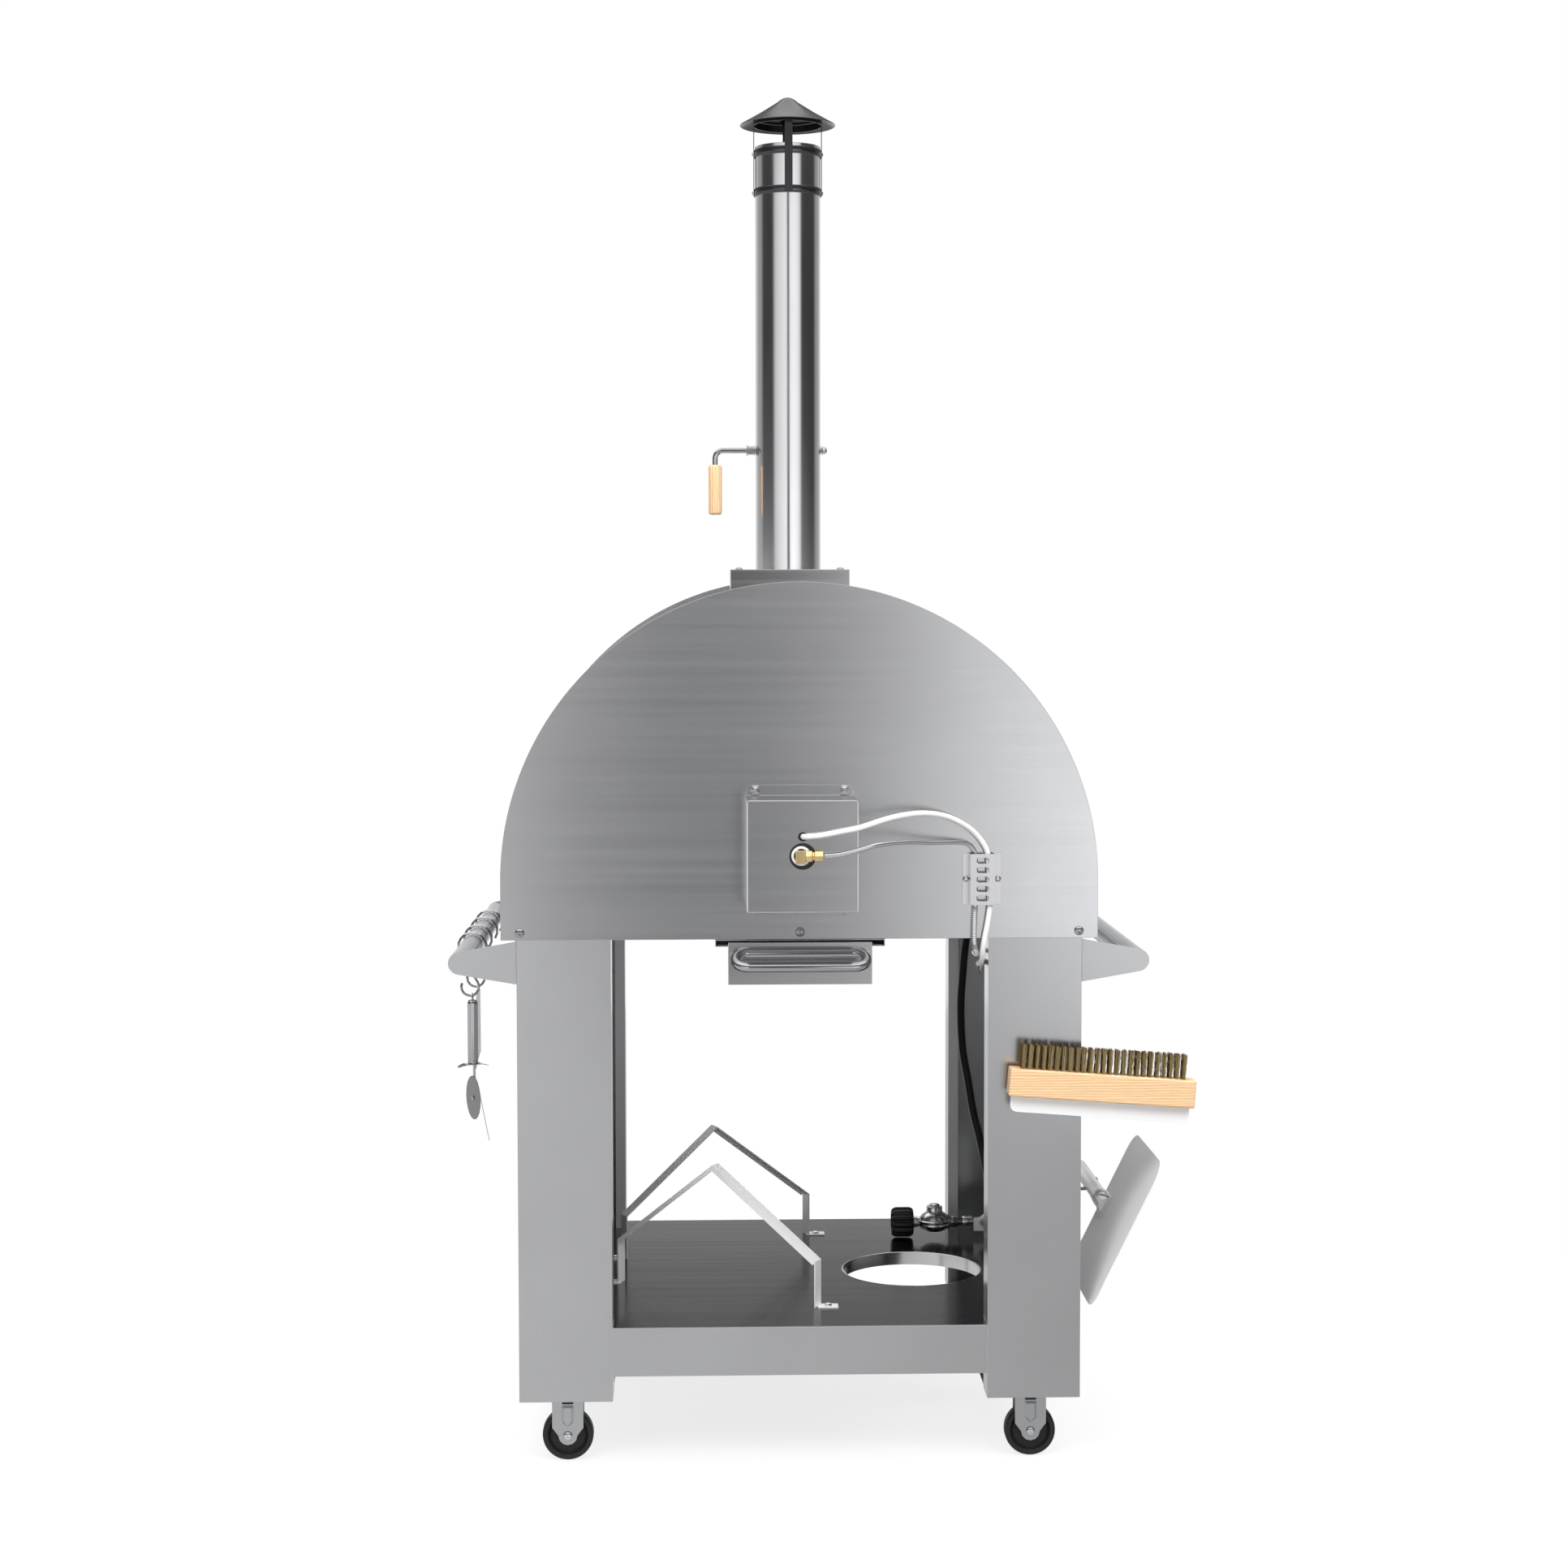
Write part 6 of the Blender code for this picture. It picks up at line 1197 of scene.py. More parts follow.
class OVEN_OT_flue(bpy.types.Operator):
    """Builds the flue pipe, the black rain cap with its bands and straps, and the damper"""

    bl_idname = "oven.flue"
    bl_label = "Flue and Rain Cap"

    def execute(self, context):
        at = Vector((FLUE_MIDDLE.x, FLUE_MIDDLE.y, 0))
        low, top, radius = FLUE_LOW.z, FLUE_HIGH.z, FLUE_RADIUS
        shape = bmesh.new()
        profile = [(radius, low), (radius, top - 0.0004), (radius - 0.0004, top), (radius - 0.0010, top)]
        profile += [(radius - 0.0012, top - 0.0003), (radius - 0.0012, low)]
        add_ring(shape, profile, at, Z, 128)
        piece("flue_tube", shape, ["flue_sheet"], "oven", ["flue_pipe"])

        rim, apex, wide = CAP_RIM, span("rain_cap")[1].z, 0.0775
        shape = bmesh.new()
        profile = [
            (0, apex), (0.004, apex - 0.0003), (0.008, apex - 0.0016), (0.0125, apex - 0.0044),
            (0.0175, apex - 0.0083), (0.045, rim + 0.0195), (wide - 0.0025, rim + 0.0022),
            (wide - 0.0008, rim + 0.0014),
            (wide, rim + 0.0006), (wide - 0.0004, rim), (wide - 0.0020, rim + 0.0002),
            (wide - 0.004, rim + 0.0016),
            (0.045, rim + 0.0178), (0.0175, apex - 0.0100), (0, apex - 0.0030),
        ]
        add_turned(shape, profile, at, Z, 128)
        band = radius + 0.0017
        for height in BAND_HEIGHTS:
            ring = [
                (radius + 0.0003, height + 0.006), (band - 0.0004, height + 0.006),
                (band, height + 0.0055),
                (band + 0.0002, height), (band, height - 0.0055), (band - 0.0004, height - 0.006),
                (radius + 0.0003, height - 0.006),
            ]
            add_ring(shape, ring, at, Z, 128)
        inner = [
            (band + 0.0012, rim + 0.0105), (band + 0.0012, rim - 0.0005), (band - 0.0002, rim - 0.0005),
        ]
        inner += [(band - 0.0002, rim + 0.0105)]
        add_ring(shape, inner, at, Z, 128)
        for turn in range(4):
            way = turn * pi / 2
            place = Matrix.Translation(at) @ Matrix.Rotation(way, 4, "Z")
            add_block(
                shape, (band - 0.0004, -0.00635, 1.9215), (band + 0.0008, 0.00635, rim + 0.0130), place
            )
            for height in BAND_HEIGHTS if turn % 2 == 0 else ():
                out = place @ Vector((band + 0.0006, 0, height))
                add_dome(shape, out, place.to_3x3() @ Vector(X), 0.0038, 0.0028, 1)
        finishes = ["black_gloss", "rod_steel"]
        piece("rain_hood", shape, finishes, "oven", ["rain_cap"], 0.0003)
        self.collar_screws()
        self.damper(context)
        return {"FINISHED"}

    def collar_screws(self):
        _, high, middle = span("flue_collar")
        shape = bmesh.new()
        reach = 0.0955 - 0.014
        for x in (-reach, reach):
            for y in (-reach, reach):
                spot = (middle.x + x, middle.y + y, high.z - 0.0032)
                add_dome(shape, spot, Z, 0.0060, 0.0034, cross=True)
        piece("collar_screws", shape, ["dark_chrome"], "oven")

    def damper(self, context):
        x0, y = FLUE_MIDDLE.x, FLUE_MIDDLE.y
        z = span("damper")[1].z - 0.0495
        reach, bend = 0.119, 0.013
        corner = arc((x0 + reach - bend, z - bend), bend, pi / 2, 0, 12)
        path = [
            (x0 - 0.0635, z), (x0 - 0.03, z), (x0, z), (x0 + 0.05, z), *corner, (x0 + reach, z - 0.050),
        ]
        shape = bmesh.new()
        add_tube(shape, [(a, y, b) for a, b in path], 0.0045, 24, up=Y)
        disc = mm((0, -0.75), (49, -0.75), (49.5, 0), (49, 0.75), (0, 0.75))
        add_turned(shape, disc, (x0, y, z), Y, 64)
        washer = mm((4.6, 0), (8.8, 0), (9, 0.3), (9, 1.3), (8.8, 1.6), (4.6, 1.6))
        for start, wide, thick in ((0.0660, 1, 1), (0.0541, 0.9, 0.6)):
            ring = [(r * (wide if r > 0.005 else 1), h * thick) for r, h in washer]
            add_ring(shape, ring, (x0 + start, y, z), X, 40)
        nut = mm((4, 0), (6, 0), (6.8, 0.6), (6.8, 4.4), (6, 5), (4, 5))
        add_ring(shape, nut, (x0 - 0.0610, y, z), X, 6)
        collar = mm((4.6, 0), (7.8, 0), (7.8, 1), (4.6, 1))
        add_ring(shape, collar, (x0 - 0.0556, y, z), X, 40)
        piece("damper_rod", shape, ["dark_chrome"], "damper", ["damper"], 0.0002)

        _, grip_high, grip_middle = span("damper_grip")
        shape = bmesh.new()
        top, length, wide = grip_high.z, 0.081, 0.011
        profile = [
            (0.0048, 0), (0.0075, 0), (0.0092, -0.0007), (0.0104, -0.0022), (wide, -0.0045),
            (wide, -0.076),
            (0.0106, -0.0782), (0.0095, -0.0800), (0.0078, -0.0808), (0, -length),
        ]
        add_turned(shape, profile, (grip_middle.x, grip_middle.y, top), Z, 48)
        piece("wooden_grip", shape, ["grip_wood"], "damper", ["damper_grip"])

        turns = context.scene.oven_details.spring_turns
        start, end = x0 + FLUE_RADIUS + 0.0018, x0 + 0.0655
        steps = turns * 20
        coil = []
        for step in range(steps + 1):
            turn = 2 * pi * turns * step / steps
            along = start + (end - start) * step / steps
            coil.append((along, y + 0.0066 * sin(turn), z + 0.0066 * cos(turn)))
        shape = bmesh.new()
        add_tube(shape, coil, 0.0006, 10)
        piece("rod_spring", shape, ["dark_chrome"], "oven", ["damper_spring"])


class OVEN_OT_gas_fittings(bpy.types.Operator):
    """Builds the brass elbow, the burner ring, the grommets, the gas line and the sleeved cable"""

    bl_idname = "oven.gas_fittings"
    bl_label = "Gas Fittings"

    def execute(self, context):
        x, z = CART.x, span("burner_tube")[1].z - 0.019
        shape = bmesh.new()
        ring = mm(
            (17, -4), (18, -4), (18, 0), (18.6, 0), (18.8, 0.4), (18.6, 0.8), (17.3, 0.8), (17, 0.4),
        )
        add_ring(shape, ring, (x, COVER_Y, z), Y, 64)
        # A flat black disc fills the hole behind the ring: painted shade for the burner hole.
        back = mm((0, 0.3), (17.6, 0.3))
        add_turned(shape, back, (x, COVER_Y, z), Y, 64)
        small = mm((4.8, -2), (6, -2), (6, 0), (6.4, 0), (6.5, 0.3), (6.3, 0.6), (5, 0.6))
        add_ring(shape, small, (x, COVER_Y, z + 0.0275), Y, 40)
        piece("grommets_and_hole_shade", shape, ["black_plastic"], "oven")

        shape = bmesh.new()
        mouth = mm((10, 0), (13.6, 0), (13.8, 1.6), (13.2, 2.6), (11.6, 3), (10.3, 2.6))
        add_ring(shape, mouth, (x + 0.0022, COVER_Y + 0.0004, z + 0.0006), Y, 64)
        piece("burner_mouth", shape, ["pale_alloy"], "oven")

        front = COVER_Y + 0.0035
        centre_y = front + 0.0085
        shape = bmesh.new()
        add_block(shape, (x - 0.0030, front, z - 0.0092), (x + 0.0105, front + 0.017, z + 0.0092))
        spigot = mm((6, -13), (6, 0), (8.5, 0), (8.5, 1))
        add_turned(shape, spigot, (x, front - 0.0005, z), Y, 40)
        nut_at = (x - 0.0030, centre_y, z + 0.0015)
        hexes = mm(
            (6.8, 0), (8.2, 0), (8.8, 0.8), (8.8, 9.2), (8, 10), (6.4, 10.4), (6.4, 12.4), (7.2, 12.8),
            (8, 13.4), (8, 24.5), (7.4, 25.5), (5.2, 26.5), (3.6, 26.5),
        )
        add_turned(shape, hexes, nut_at, (-1, 0, 0), 6)
        piece("brass_elbow", shape, ["brass_fitting"], "oven", ["gas_elbow"], 0.0006, 3)

        details = context.scene.oven_details
        points = smooth_points(LINE_ROUTE, 0.00075)
        first = len(smooth_points(LINE_ROUTE[:13], 0.00075))
        radii = []
        for index in range(len(points)):
            rib = details.line_ribs and first <= index < first + 100
            wave = 0.5 + 0.5 * cos(2 * pi * (index - first) / 4)
            radii.append(0.0032 + 0.0010 * wave if rib else 0.0033)
        end = len(points) - 1
        keep = [i for i in range(end + 1) if first - 2 <= i <= first + 102 or i % 8 == 0 or i > end - 2]
        shape = bmesh.new()
        add_tube(shape, [CART + points[i] for i in keep], 0, 20, radii=[radii[i] for i in keep])
        piece("steel_gas_line", shape, ["satin_strip"], "oven", ["gas_line"])

        points = smooth_points(CABLE_ROUTE, 0.006)
        shape = bmesh.new()
        add_tube(shape, [CART + p for p in points], 0.004, 24)
        piece("sleeved_cable", shape, ["white_sleeve"], "oven", ["igniter_cable"])
        return {"FINISHED"}


class OVEN_OT_screws(bpy.types.Operator):
    """Sets the domed cross-head screws and the cover's nuts, and adds the small folds of the cart"""

    bl_idname = "oven.screws"
    bl_label = "Screws and Rivets"

    def execute(self, context):
        radius = context.scene.oven_details.screw_radius
        shape = bmesh.new()
        for place in (-0.404, 0, 0.404):
            add_dome(shape, (CART.x + place, PANEL_Y, 0.7848), Y, radius, radius * 0.62, cross=True)
        piece("panel_screws", shape, ["dark_chrome"], "oven")

        shape = bmesh.new()
        nut = mm((0, 3), (6, 3), (7, 2.2), (7, 0))
        for x in (-0.064, 0.064):
            for z in (0.9905, 0.8165):
                spot = Vector((CART.x + x, PANEL_Y + 0.0015, z))
                add_turned(shape, nut, spot, Y, 6)
                add_dome(shape, spot + Vector((0, 0.0028, 0)), Y, 0.0044, 0.0030, cross=True)
        piece("cover_nuts", shape, ["rod_steel"], "oven", bevel=0.0003)

        shape = bmesh.new()
        half, low, high = 0.0785, 0.8245, 0.9825
        corners = [
            (CART.x - half, low), (CART.x + half, low), (CART.x + half, high), (CART.x - half, high),
        ]
        loop = rounded([(x, z) for x, z in corners], 0.0022, 5)
        bead = 0.0011
        inner = [(CART.x + (x - CART.x) * (1 - bead / half), z) for x, z in loop]
        middle = (low + high) / 2
        inner = [(x, middle + (z - middle) * (1 - bead / (high - middle))) for x, z in inner]
        add_tube(shape, [(x, COVER_Y - bead, z) for x, z in inner], bead + 0.0002, 12, closed=True)
        piece("cover_fold", shape, ["rod_steel"], "oven")
        self.cart_folds()

        shape = bmesh.new()
        low, high, middle = span("cable_guard")
        for x in (low.x + 0.005, high.x - 0.005):
            add_dome(shape, (x, low.y + 0.0012, middle.z), Y, 0.0046, 0.0034, cross=True)
        piece("guard_screws", shape, ["dark_chrome"], "oven")

        shape = bmesh.new()
        for node in ("wood_rack_rear", "wood_rack_front"):
            low, high, middle = span(node)
            for x in (low.x + 0.015, high.x - 0.015):
                rear = node.endswith("rear")
                right = x < middle.x
                inset = 0.110 if right else 0.268
                y = (0.345 - inset) * (1 if rear else -1)
                add_dome(shape, (x, CART.y + y, low.z + 0.0015), Z, 0.0058, 0.0034, cross=True)
        piece("rack_screws", shape, ["rod_steel"], "oven")
        return {"FINISHED"}

    def cart_folds(self):
        """The front legs' inner lips, the shelf's folded rear edge and the rim of the tank hole."""
        high = span("lower_shelf")[1]
        shape = bmesh.new()
        for way in (-1, 1):
            ends = sorted((CART.x + way * LIP_INNER, CART.x + way * LIP_OUTER))
            foot = Vector((ends[0], CART.y + LIP_BACK, high.z + 0.0002))
            top = Vector((ends[1], CART.y + LIP_BACK + 0.0006, CART_TOP - 0.0010))
            add_block(shape, foot, top)
        # The lips' paler finish is painted light.
        piece("front_leg_lips", shape, ["fold_sheet"], "oven")

        bead = 0.0013
        shape = bmesh.new()
        edge_y, edge_z = high.y - bead + 0.0002, high.z - bead + 0.0003
        reach = LIP_INNER - 0.0012
        add_tube(shape, [(CART.x - reach, edge_y, edge_z), (CART.x + reach, edge_y, edge_z)], bead, 14)
        piece("shelf_fold", shape, ["rod_steel"], "oven")

        shape = bmesh.new()
        inner = TANK_RADIUS * cos(pi / 36) - 0.0008
        rim = [
            (inner, -0.0200), (inner + 0.0012, -0.0204), (inner + 0.0026, 0.0004),
            (inner + 0.0006, 0.0004),
        ]
        rim += [(inner, 0)]
        add_ring(shape, rim, at_cart(*TANK_HOLE, high.z), Z, 120)
        piece("tank_rim", shape, ["rim_sheet"], "oven")


class OVEN_OT_casters(bpy.types.Operator):
    """Builds the four wheels and the pressed ribs, slots and rivets of their forks; each slot is a thin dark
    patch of painted shade
    """

    bl_idname = "oven.casters"
    bl_label = "Casters"

    def execute(self, context):
        for side in ("left", "right"):
            for end in ("front", "rear"):
                self.wheel(side, end)
                self.fork(side, end)
        return {"FINISHED"}

    def wheel(self, side, end):
        low, high, middle = span(f"caster_wheel_{end}_{side}")
        radius = (high.z - low.z) / 2
        half = (high.y - low.y) / 2
        upper = [
            (0.0033, half - 0.0004), (0.0095, half), (0.0108, half - 0.0008), (0.0115, half - 0.0060),
            (0.0150, half - 0.0080), (0.0235, half - 0.0080), (0.0268, half - 0.0068),
            (0.0283, half - 0.0035),
            (0.0292, half - 0.0012), (0.0305, half - 0.0002), (0.0335, half), (0.0358, half - 0.0008),
            (radius - 0.0004, half - 0.0030), (radius, half - 0.0060),
        ]
        profile = upper + [(r, -h) for r, h in reversed(upper)]
        shape = bmesh.new()
        add_ring(shape, profile, middle, Y, 72)
        body, node = f"wheel_{end}_{side}", f"caster_wheel_{end}_{side}"
        piece(f"tyre_{end}_{side}", shape, ["tyre_rubber"], body, [node], angle=60)

    def fork(self, side, end):
        low, high, middle = span(f"caster_wheel_{end}_{side}")
        body = "oven" if end == "rear" else f"swivel_{side}"
        outer = (high.y - low.y) / 2 + 0.0008 + 0.0022
        shape = bmesh.new()
        for way in (-1, 1):
            turned = Matrix(((1, 0, 0, 0), (0, 0, way, 0), (0, 1, 0, 0), (0, 0, 0, 1)))
            place = Matrix.Translation((middle.x, middle.y + way * outer, 0)) @ turned
            shift = 0.0 if end == "rear" else 0.010
            rise = 0.0 if end == "rear" else -0.008
            rib = mm(
                (-9.2, 83.5), (-9.2, 59.5), (-5.5, 54.5), (0, 50.8), (5.5, 54.5), (9.2, 59.5),
                (9.2, 83.5),
            )
            rib = [(x + shift, z + rise) for x, z in rib[::-1]]
            faces = add_slab(shape, rounded(rib, 0.0022, 4), place, -0.0004, 0.0036)
            crest = max((f for f in faces if len(f.verts) > 4), key=lambda f: f.calc_center_median().y * way)
            centre = crest.calc_center_median()
            for vert in crest.verts:
                vert.co.x = centre.x + (vert.co.x - centre.x) * 0.55
                vert.co.z = centre.z + (vert.co.z - centre.z) * 0.82
            if end == "rear":
                # The slot is a thin dark patch: painted shade where the cut would be.
                slot = mm((-8.5, 84.5), (8.5, 84.5), (8.5, 88.5), (-8.5, 88.5))
                add_slab(shape, rounded(slot, 0.0018, 5), place, -0.0002, 0.00025, 1)
            spot = place @ Vector((0, 0.0375, 0.0))
            add_dome(shape, spot, (0, way, 0), 0.0068, 0.0046, 2)
        finishes = ["zinc_sheet", "dark_recess", "rod_steel"]
        piece(f"fork_pressing_{end}_{side}", shape, finishes, body, (), 0.0004, 2, 30)


class OVEN_OT_tools(bpy.types.Operator):
    """Builds the brush and its tufts, the cutter's grip, the peel's socket and the turned handles"""

    bl_idname = "oven.tools"
    bl_label = "Tools"

    def execute(self, context):
        details = context.scene.oven_details
        head = span("brush_head")[2]
        lean = radians(4.24)
        place = Matrix.Translation(head) @ Matrix.Rotation(-lean, 4, "Y")
        half = Vector((0.135, 0.015, 0.02025))
        shape = bmesh.new()
        add_block(shape, -half, half, place)
        piece("brush_block", shape, ["block_wood"], "oven", ["brush_head"], 0.0028, 4)

        rng = random.Random(11)
        shape = bmesh.new()
        length, depth, rise = 0.243, 0.022, 0.036
        columns, rows = details.tuft_columns, details.tuft_rows
        for column in range(columns):
            for row in range(rows):
                x = -length / 2 + (column + 0.5) * length / columns
                y = -depth / 2 + (row + 0.5) * depth / rows
                lean_x, lean_y = rng.uniform(-0.0010, 0.0010), rng.uniform(-0.0010, 0.0010)
                for _ in range(details.tuft_wires):
                    turn, reach = rng.uniform(0, 2 * pi), 0.0027 * sqrt(rng.random())
                    off_x, off_y = reach * cos(turn), reach * sin(turn)
                    top = rise * rng.uniform(0.93, 0.995)
                    phase, swing = rng.uniform(0, 2 * pi), 0.00032
                    path = []
                    for step in range(8):
                        t = step / 7
                        spread = 1 + 0.40 * t
                        wave = swing * sin(phase + t * 16)
                        across = x + off_x * spread + lean_x * t + wave
                        along = y + off_y * spread + lean_y * t + swing * cos(phase + t * 16)
                        path.append(place @ Vector((across, along, half.z - 0.001 + (top + 0.001) * t)))
                    add_tube(shape, path, 0.00036, 3)
        piece("wire_tufts", shape, ["wire_brass"], "oven", ["brush_bristles"])

        self.cutter()
        self.peel_socket()
        sticks = (("brush_stick", "brush_handle", 0.0115), ("peel_stick", "peel_handle", 0.0105))
        for name, node, radius in sticks:
            low, high, middle = span(node)
            span_y = high.y - low.y
            shape = bmesh.new()
            profile = [
                (0, 0), (radius * 0.55, 0.0006), (radius * 0.82, 0.0024), (radius * 0.96, 0.0060),
                (radius, 0.0110),
                (radius * 0.97, 0.060), (radius * 0.90, 0.130), (radius * 0.86, 0.200),
                (radius * 0.92, span_y - 0.06),
                (radius * 0.98, span_y - 0.02), (radius * 0.98, span_y), (0, span_y),
            ]
            add_turned(shape, profile, (middle.x, low.y, middle.z), Y, 40)
            piece(name, shape, ["handle_wood"], "oven", [node])
        return {"FINISHED"}

    def cutter(self):
        """The pizza cutter's polished grip, with its thumb guard, neck, pin and hanging ring."""
        wheel = span("cutter_wheel")[2]
        drop, length, radius = 0.052, 0.099, 0.008
        foot = wheel.z + drop
        top = foot + length
        place = Matrix.Translation((wheel.x, wheel.y, 0)) @ Matrix.Rotation(radians(24), 4, "Z")
        shape = bmesh.new()
        profile = [
            (0, foot), (0.0068, foot), (0.0078, foot + 0.0006), (radius, foot + 0.0018),
            (radius, foot + 0.0050),
            (0.0076, foot + 0.0054), (0.0076, foot + 0.0062), (radius, foot + 0.0066),
            (radius, top - 0.0070),
            (0.0078, top - 0.0040), (0.0068, top - 0.0018), (0.0046, top - 0.0004), (0, top),
        ]
        add_turned(shape, profile, place.translation, Z, 48)
        droop = mm((-24, -4.2), (-18, -1.8), (-12, -0.3), (12, -0.3), (18, -1.8), (24, -4.2))
        for (x0, z0), (x1, z1) in zip(droop, droop[1:]):
            w0, w1 = (0.011 * sqrt(max(0.12, 1 - (x / 0.0245) ** 2)) for x in (x0, x1))
            corners = []
            for lift in (0, 0.0009):
                corners += [
                    shape.verts.new(place @ Vector((x, y, foot + z + lift)))
                    for x, y, z in ((x0, -w0, z0), (x0, w0, z0), (x1, w1, z1), (x1, -w1, z1))
                ]
            for index in ((0, 1, 2, 3), (7, 6, 5, 4), (0, 4, 5, 1), (1, 5, 6, 2), (2, 6, 7, 3), (3, 7, 4, 0)):
                shape.faces.new([corners[i] for i in index])
        flat = Matrix(((0, 0, 1, 0), (1, 0, 0, 0), (0, 1, 0, 0), (0, 0, 0, 1)))
        neck = [
            (0.0034, foot + 0.001), (-0.0034, foot + 0.001), *arc((0, wheel.z), 0.005, pi, 2 * pi, 10),
        ]
        add_slab(shape, neck, place @ flat, -0.0024, -0.0009)
        way = place.to_3x3() @ Vector(X)
        pin = place @ Vector((0.0008, 0, wheel.z))
        add_dome(shape, pin, way, 0.0042, 0.0018, 0)
        pin = place @ Vector((-0.0024, 0, wheel.z))
        add_turned(shape, [(0, 0), (0.0018, 0), (0.0018, 0.0034), (0, 0.0034)], pin, way, 20)
        loop = arc((wheel.y, top + 0.0034), 0.0056, 0, 2 * pi, 32)[:-1]
        add_tube(shape, [(wheel.x, a, b) for a, b in loop], 0.0011, 10, closed=True)
        bmesh.ops.recalc_face_normals(shape, faces=shape.faces)
        piece("cutter_grip", shape, ["dark_chrome"], "cutter", ["cutter_handle"], 0.0002)

    def peel_socket(self):
        """The peel's pressed steel socket."""
        _, high, middle = span("peel_handle")
        shape = bmesh.new()
        profile = mm(
            (10.6, 0), (11.4, 0.4), (11.8, 3), (12, 186), (13.2, 226), (13.8, 244), (12.8, 252),
            (10.6, 254),
        )
        add_ring(shape, profile, (middle.x, high.y - 0.238, middle.z), Y, 48)
        place = Matrix.Translation((middle.x, high.y + 0.0140, middle.z)) @ Matrix.Rotation(PEEL_LEAN, 4, "Y")
        steps, last = 40, None
        flare = mm(
            (0, 12.6, 12.6), (12, 13.1, 11.8), (24, 14.3, 8.8), (34, 15.6, 5.4), (43, 16.5, 3),
            (50, 17, 2.3), (54.5, 17.1, 2.2),
        )
        for along, half, thick in flare:
            ring = []
            for step in range(steps):
                c, s = cos(2 * pi * step / steps), sin(2 * pi * step / steps)
                square = 1 - 0.75 * along / 0.0545
                across = copysign(abs(c) ** square, c) * half
                rise = copysign(abs(s) ** square, s) * thick
                ring.append(shape.verts.new(place @ Vector((across, along, rise))))
            if last:
                bridge(shape, last, ring)
            last = ring
        shape.faces.new(last)
        bmesh.ops.recalc_face_normals(shape, faces=shape.faces)
        piece("peel_socket", shape, ["satin_strip"], "oven", bevel=0.0002)


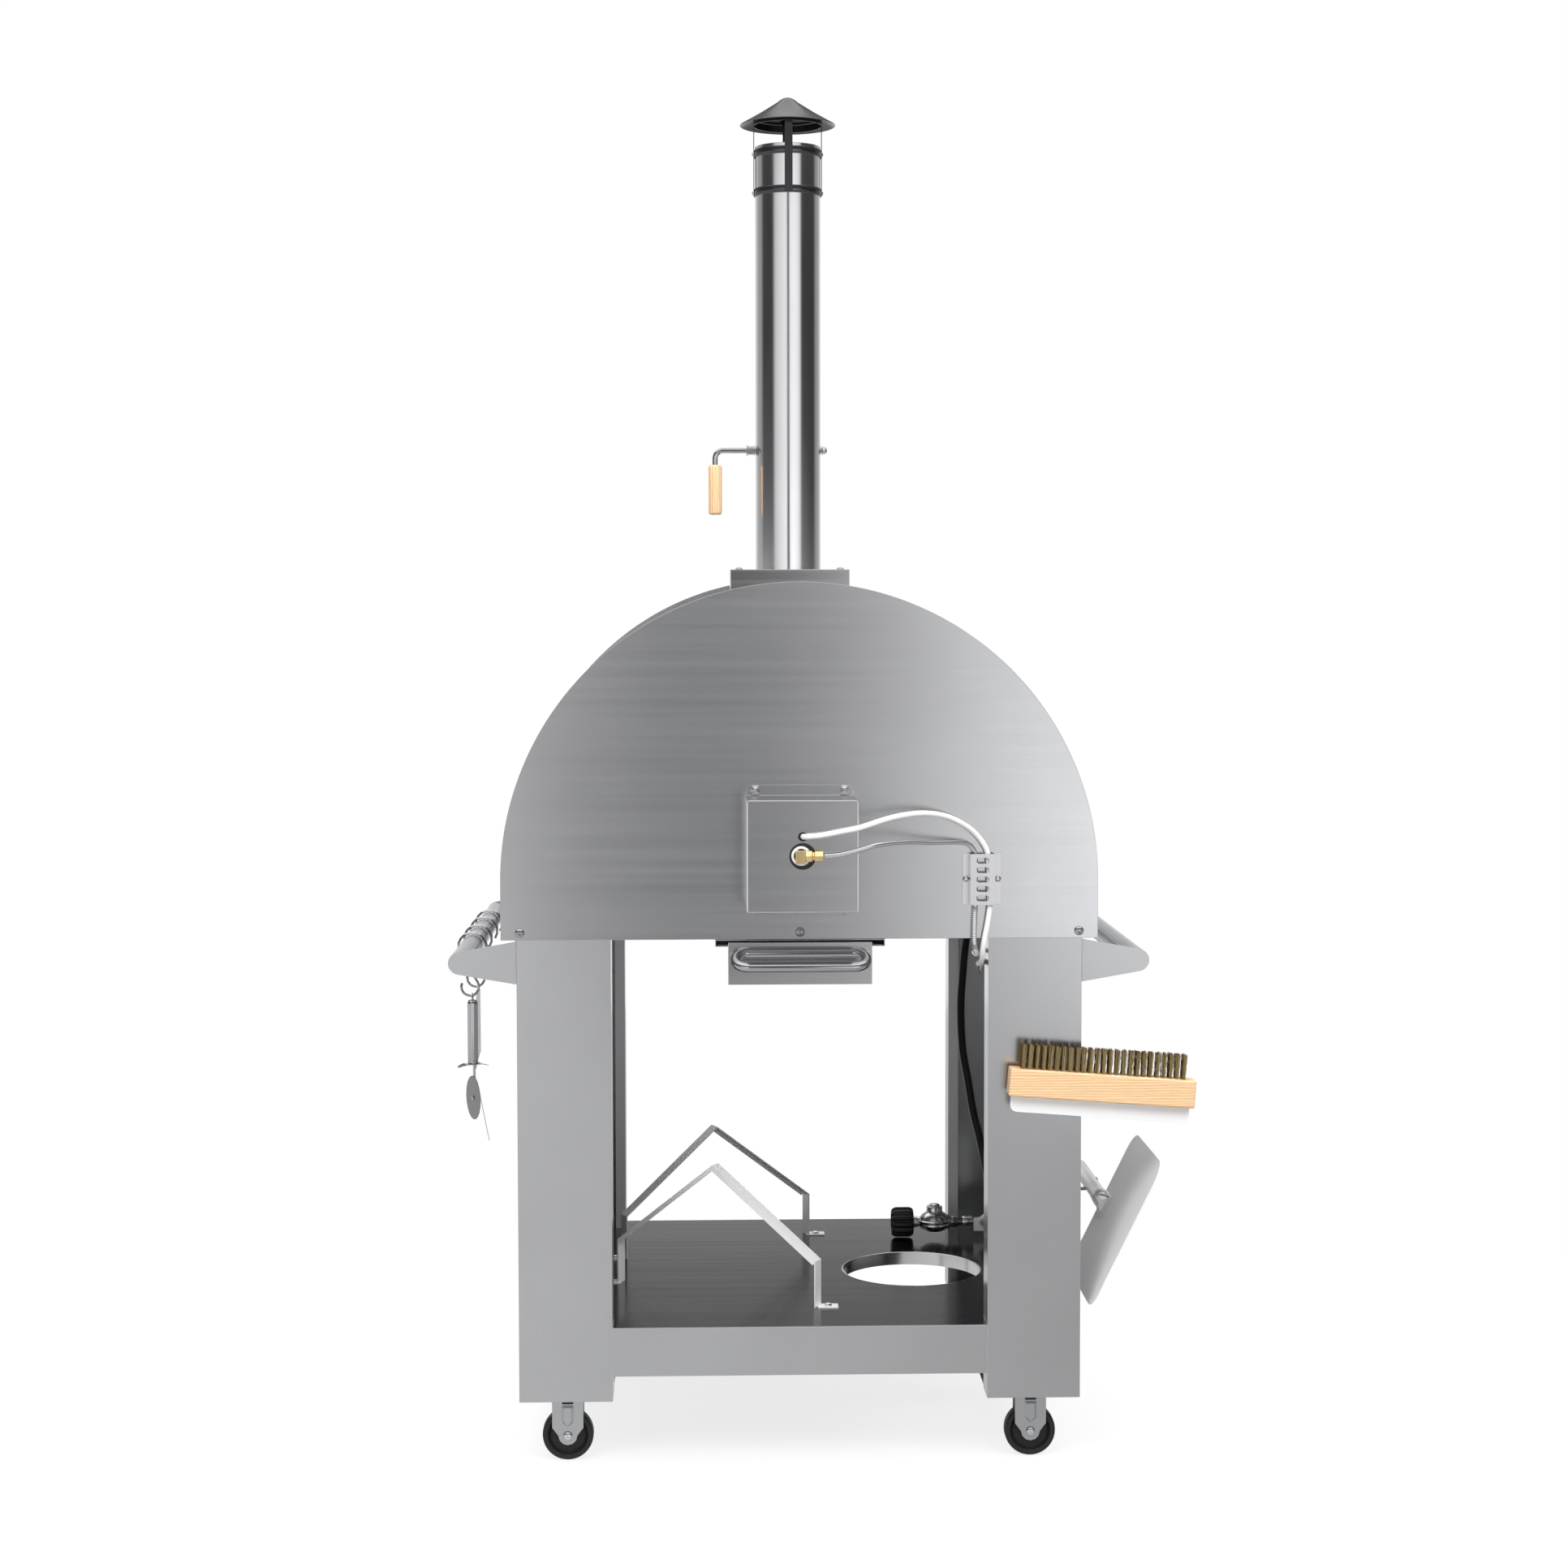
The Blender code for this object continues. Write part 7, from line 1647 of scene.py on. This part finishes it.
class OVEN_OT_handles(bpy.types.Operator):
    """Builds the round drawer pull, the door handle and the thermometer's dial"""

    bl_idname = "oven.handles"
    bl_label = "Handles and Dial"

    def execute(self, context):
        low, high, middle = span("drawer_handle")
        radius = 0.0074
        back, front = low.y + radius, high.y - radius
        half = (high.x - low.x) / 2 - radius
        corners = [(half, back), (half, front), (-half, front), (-half, back)]
        turn = min(0.0195, (front - back) / 2 - 0.0004)
        loop = rounded(corners, turn, 12)
        fall = (high.z - low.z - 2 * radius) / (front - back)
        points = [(middle.x + x, y, high.z - radius - (y - back) * fall) for x, y in loop]
        shape = bmesh.new()
        add_tube(shape, points, radius, 28, closed=True)
        piece("drawer_pull", shape, ["dark_chrome"], "drawer", ["drawer_handle"])

        low, high, middle = span("door_handle")
        radius = 0.009
        turn, front = 0.022, low.y + radius
        half = (high.x - low.x) / 2 - radius
        path = [(half, high.y)]
        path += arc((half - turn, front + turn), turn, 0, -pi / 2, 12)
        path += arc((-half + turn, front + turn), turn, -pi / 2, -pi, 12)
        path += [(-half, high.y)]
        shape = bmesh.new()
        add_tube(shape, [(middle.x + x, y, middle.z) for x, y in path], radius, 28)
        for x in (-half, half):
            rose = [
                (radius, 0), (0.0150, 0), (0.0155, 0.0006), (0.0150, 0.0028), (0.0125, 0.0040),
                (radius, 0.0042),
            ]
            add_turned(shape, rose, (middle.x + x, high.y, middle.z), (0, -1, 0), 40)
        piece("door_pull", shape, ["rod_steel"], "door", ["door_handle"])
        self.dial()
        return {"FINISHED"}

    def dial(self):
        """A thermometer: bright bezel, pale dial with plain marks, and a needle."""
        low, high, middle = span("thermometer")
        radius = (high.x - low.x) / 2
        at = (middle.x, low.y + 0.013, middle.z)
        shape = bmesh.new()
        bezel = [
            (0, -0.045), (0.004, -0.045), (0.004, 0), (radius - 0.001, 0), (radius, 0.001),
            (radius, 0.0115),
            (radius - 0.0015, 0.013), (radius - 0.0036, 0.0128), (radius - 0.0044, 0.0108), (0, 0.0108),
        ]
        faces = add_turned(shape, bezel, at, (0, -1, 0), 72)
        for face in faces:
            if all((Vector((v.co.x - at[0], v.co.z - at[2]))).length < radius - 0.0040 for v in face.verts):
                if all(v.co.y < at[1] - 0.0100 for v in face.verts):
                    face.material_index = 1
        face_y = at[1] - 0.0110
        for step in range(31):
            turn = radians(225 - 9 * step)
            way = Vector((cos(turn), 0, sin(turn)))
            inner = radius * (0.66 if step % 5 == 0 else 0.72)
            start = Vector((at[0], face_y, at[2])) + way * inner
            end = Vector((at[0], face_y, at[2])) + way * radius * 0.80
            add_tube(shape, [start, end], 0.00035 if step % 5 else 0.0006, 6, 2)
        turn = radians(200)
        way = Vector((cos(turn), 0, sin(turn)))
        hub = Vector((at[0], face_y - 0.0002, at[2]))
        add_tube(shape, [hub - way * 0.006, hub + way * 0.021], 0.0007, 8, 2)
        add_dome(shape, hub, (0, -1, 0), 0.0032, 0.0012, 0)
        finishes = ["rod_steel", "dial_face", "black_plastic"]
        piece("dial_thermometer", shape, finishes, "door", ["thermometer"])


class OVEN_PT_panel(bpy.types.Panel):
    """The oven's steps and settings"""

    bl_idname = "OVEN_PT_panel"
    bl_label = "Pizza Oven"
    bl_space_type = "VIEW_3D"
    bl_region_type = "UI"
    bl_category = "Pizza Oven"

    def draw(self, context):
        layout = self.layout
        for label, settings in (
            ("Finishes", context.scene.oven_finishes),
            ("Fine pieces", context.scene.oven_details),
            ("Studio", context.scene.oven_stage),
        ):
            box = layout.box()
            box.label(text=label)
            for name in settings.__annotations__:
                box.prop(settings, name)
        for operator in STEPS:
            layout.operator(operator.bl_idname)


STEPS = (
    OVEN_OT_stage,
    OVEN_OT_finishes,
    OVEN_OT_gas_hose,
    OVEN_OT_regulator,
    OVEN_OT_shell,
    OVEN_OT_flue,
    OVEN_OT_gas_fittings,
    OVEN_OT_screws,
    OVEN_OT_casters,
    OVEN_OT_tools,
    OVEN_OT_handles,
)
CLASSES = (OvenFinishes, OvenDetails, OvenStage, *STEPS, OVEN_PT_panel)


def register():
    for kind in CLASSES:
        bpy.utils.register_class(kind)
    bpy.types.Scene.oven_finishes = PointerProperty(type=OvenFinishes)
    bpy.types.Scene.oven_details = PointerProperty(type=OvenDetails)
    bpy.types.Scene.oven_stage = PointerProperty(type=OvenStage)


def unregister():
    del bpy.types.Scene.oven_finishes
    del bpy.types.Scene.oven_details
    del bpy.types.Scene.oven_stage
    for kind in reversed(CLASSES):
        bpy.utils.unregister_class(kind)


def main():
    register()
    bpy.ops.oven.stage()
    bpy.ops.oven.finishes()
    bpy.ops.oven.gas_hose()
    bpy.ops.oven.regulator()
    bpy.ops.oven.shell()
    bpy.ops.oven.flue()
    bpy.ops.oven.gas_fittings()
    bpy.ops.oven.screws()
    bpy.ops.oven.casters()
    bpy.ops.oven.tools()
    bpy.ops.oven.handles()


if __name__ == "__main__":
    main()
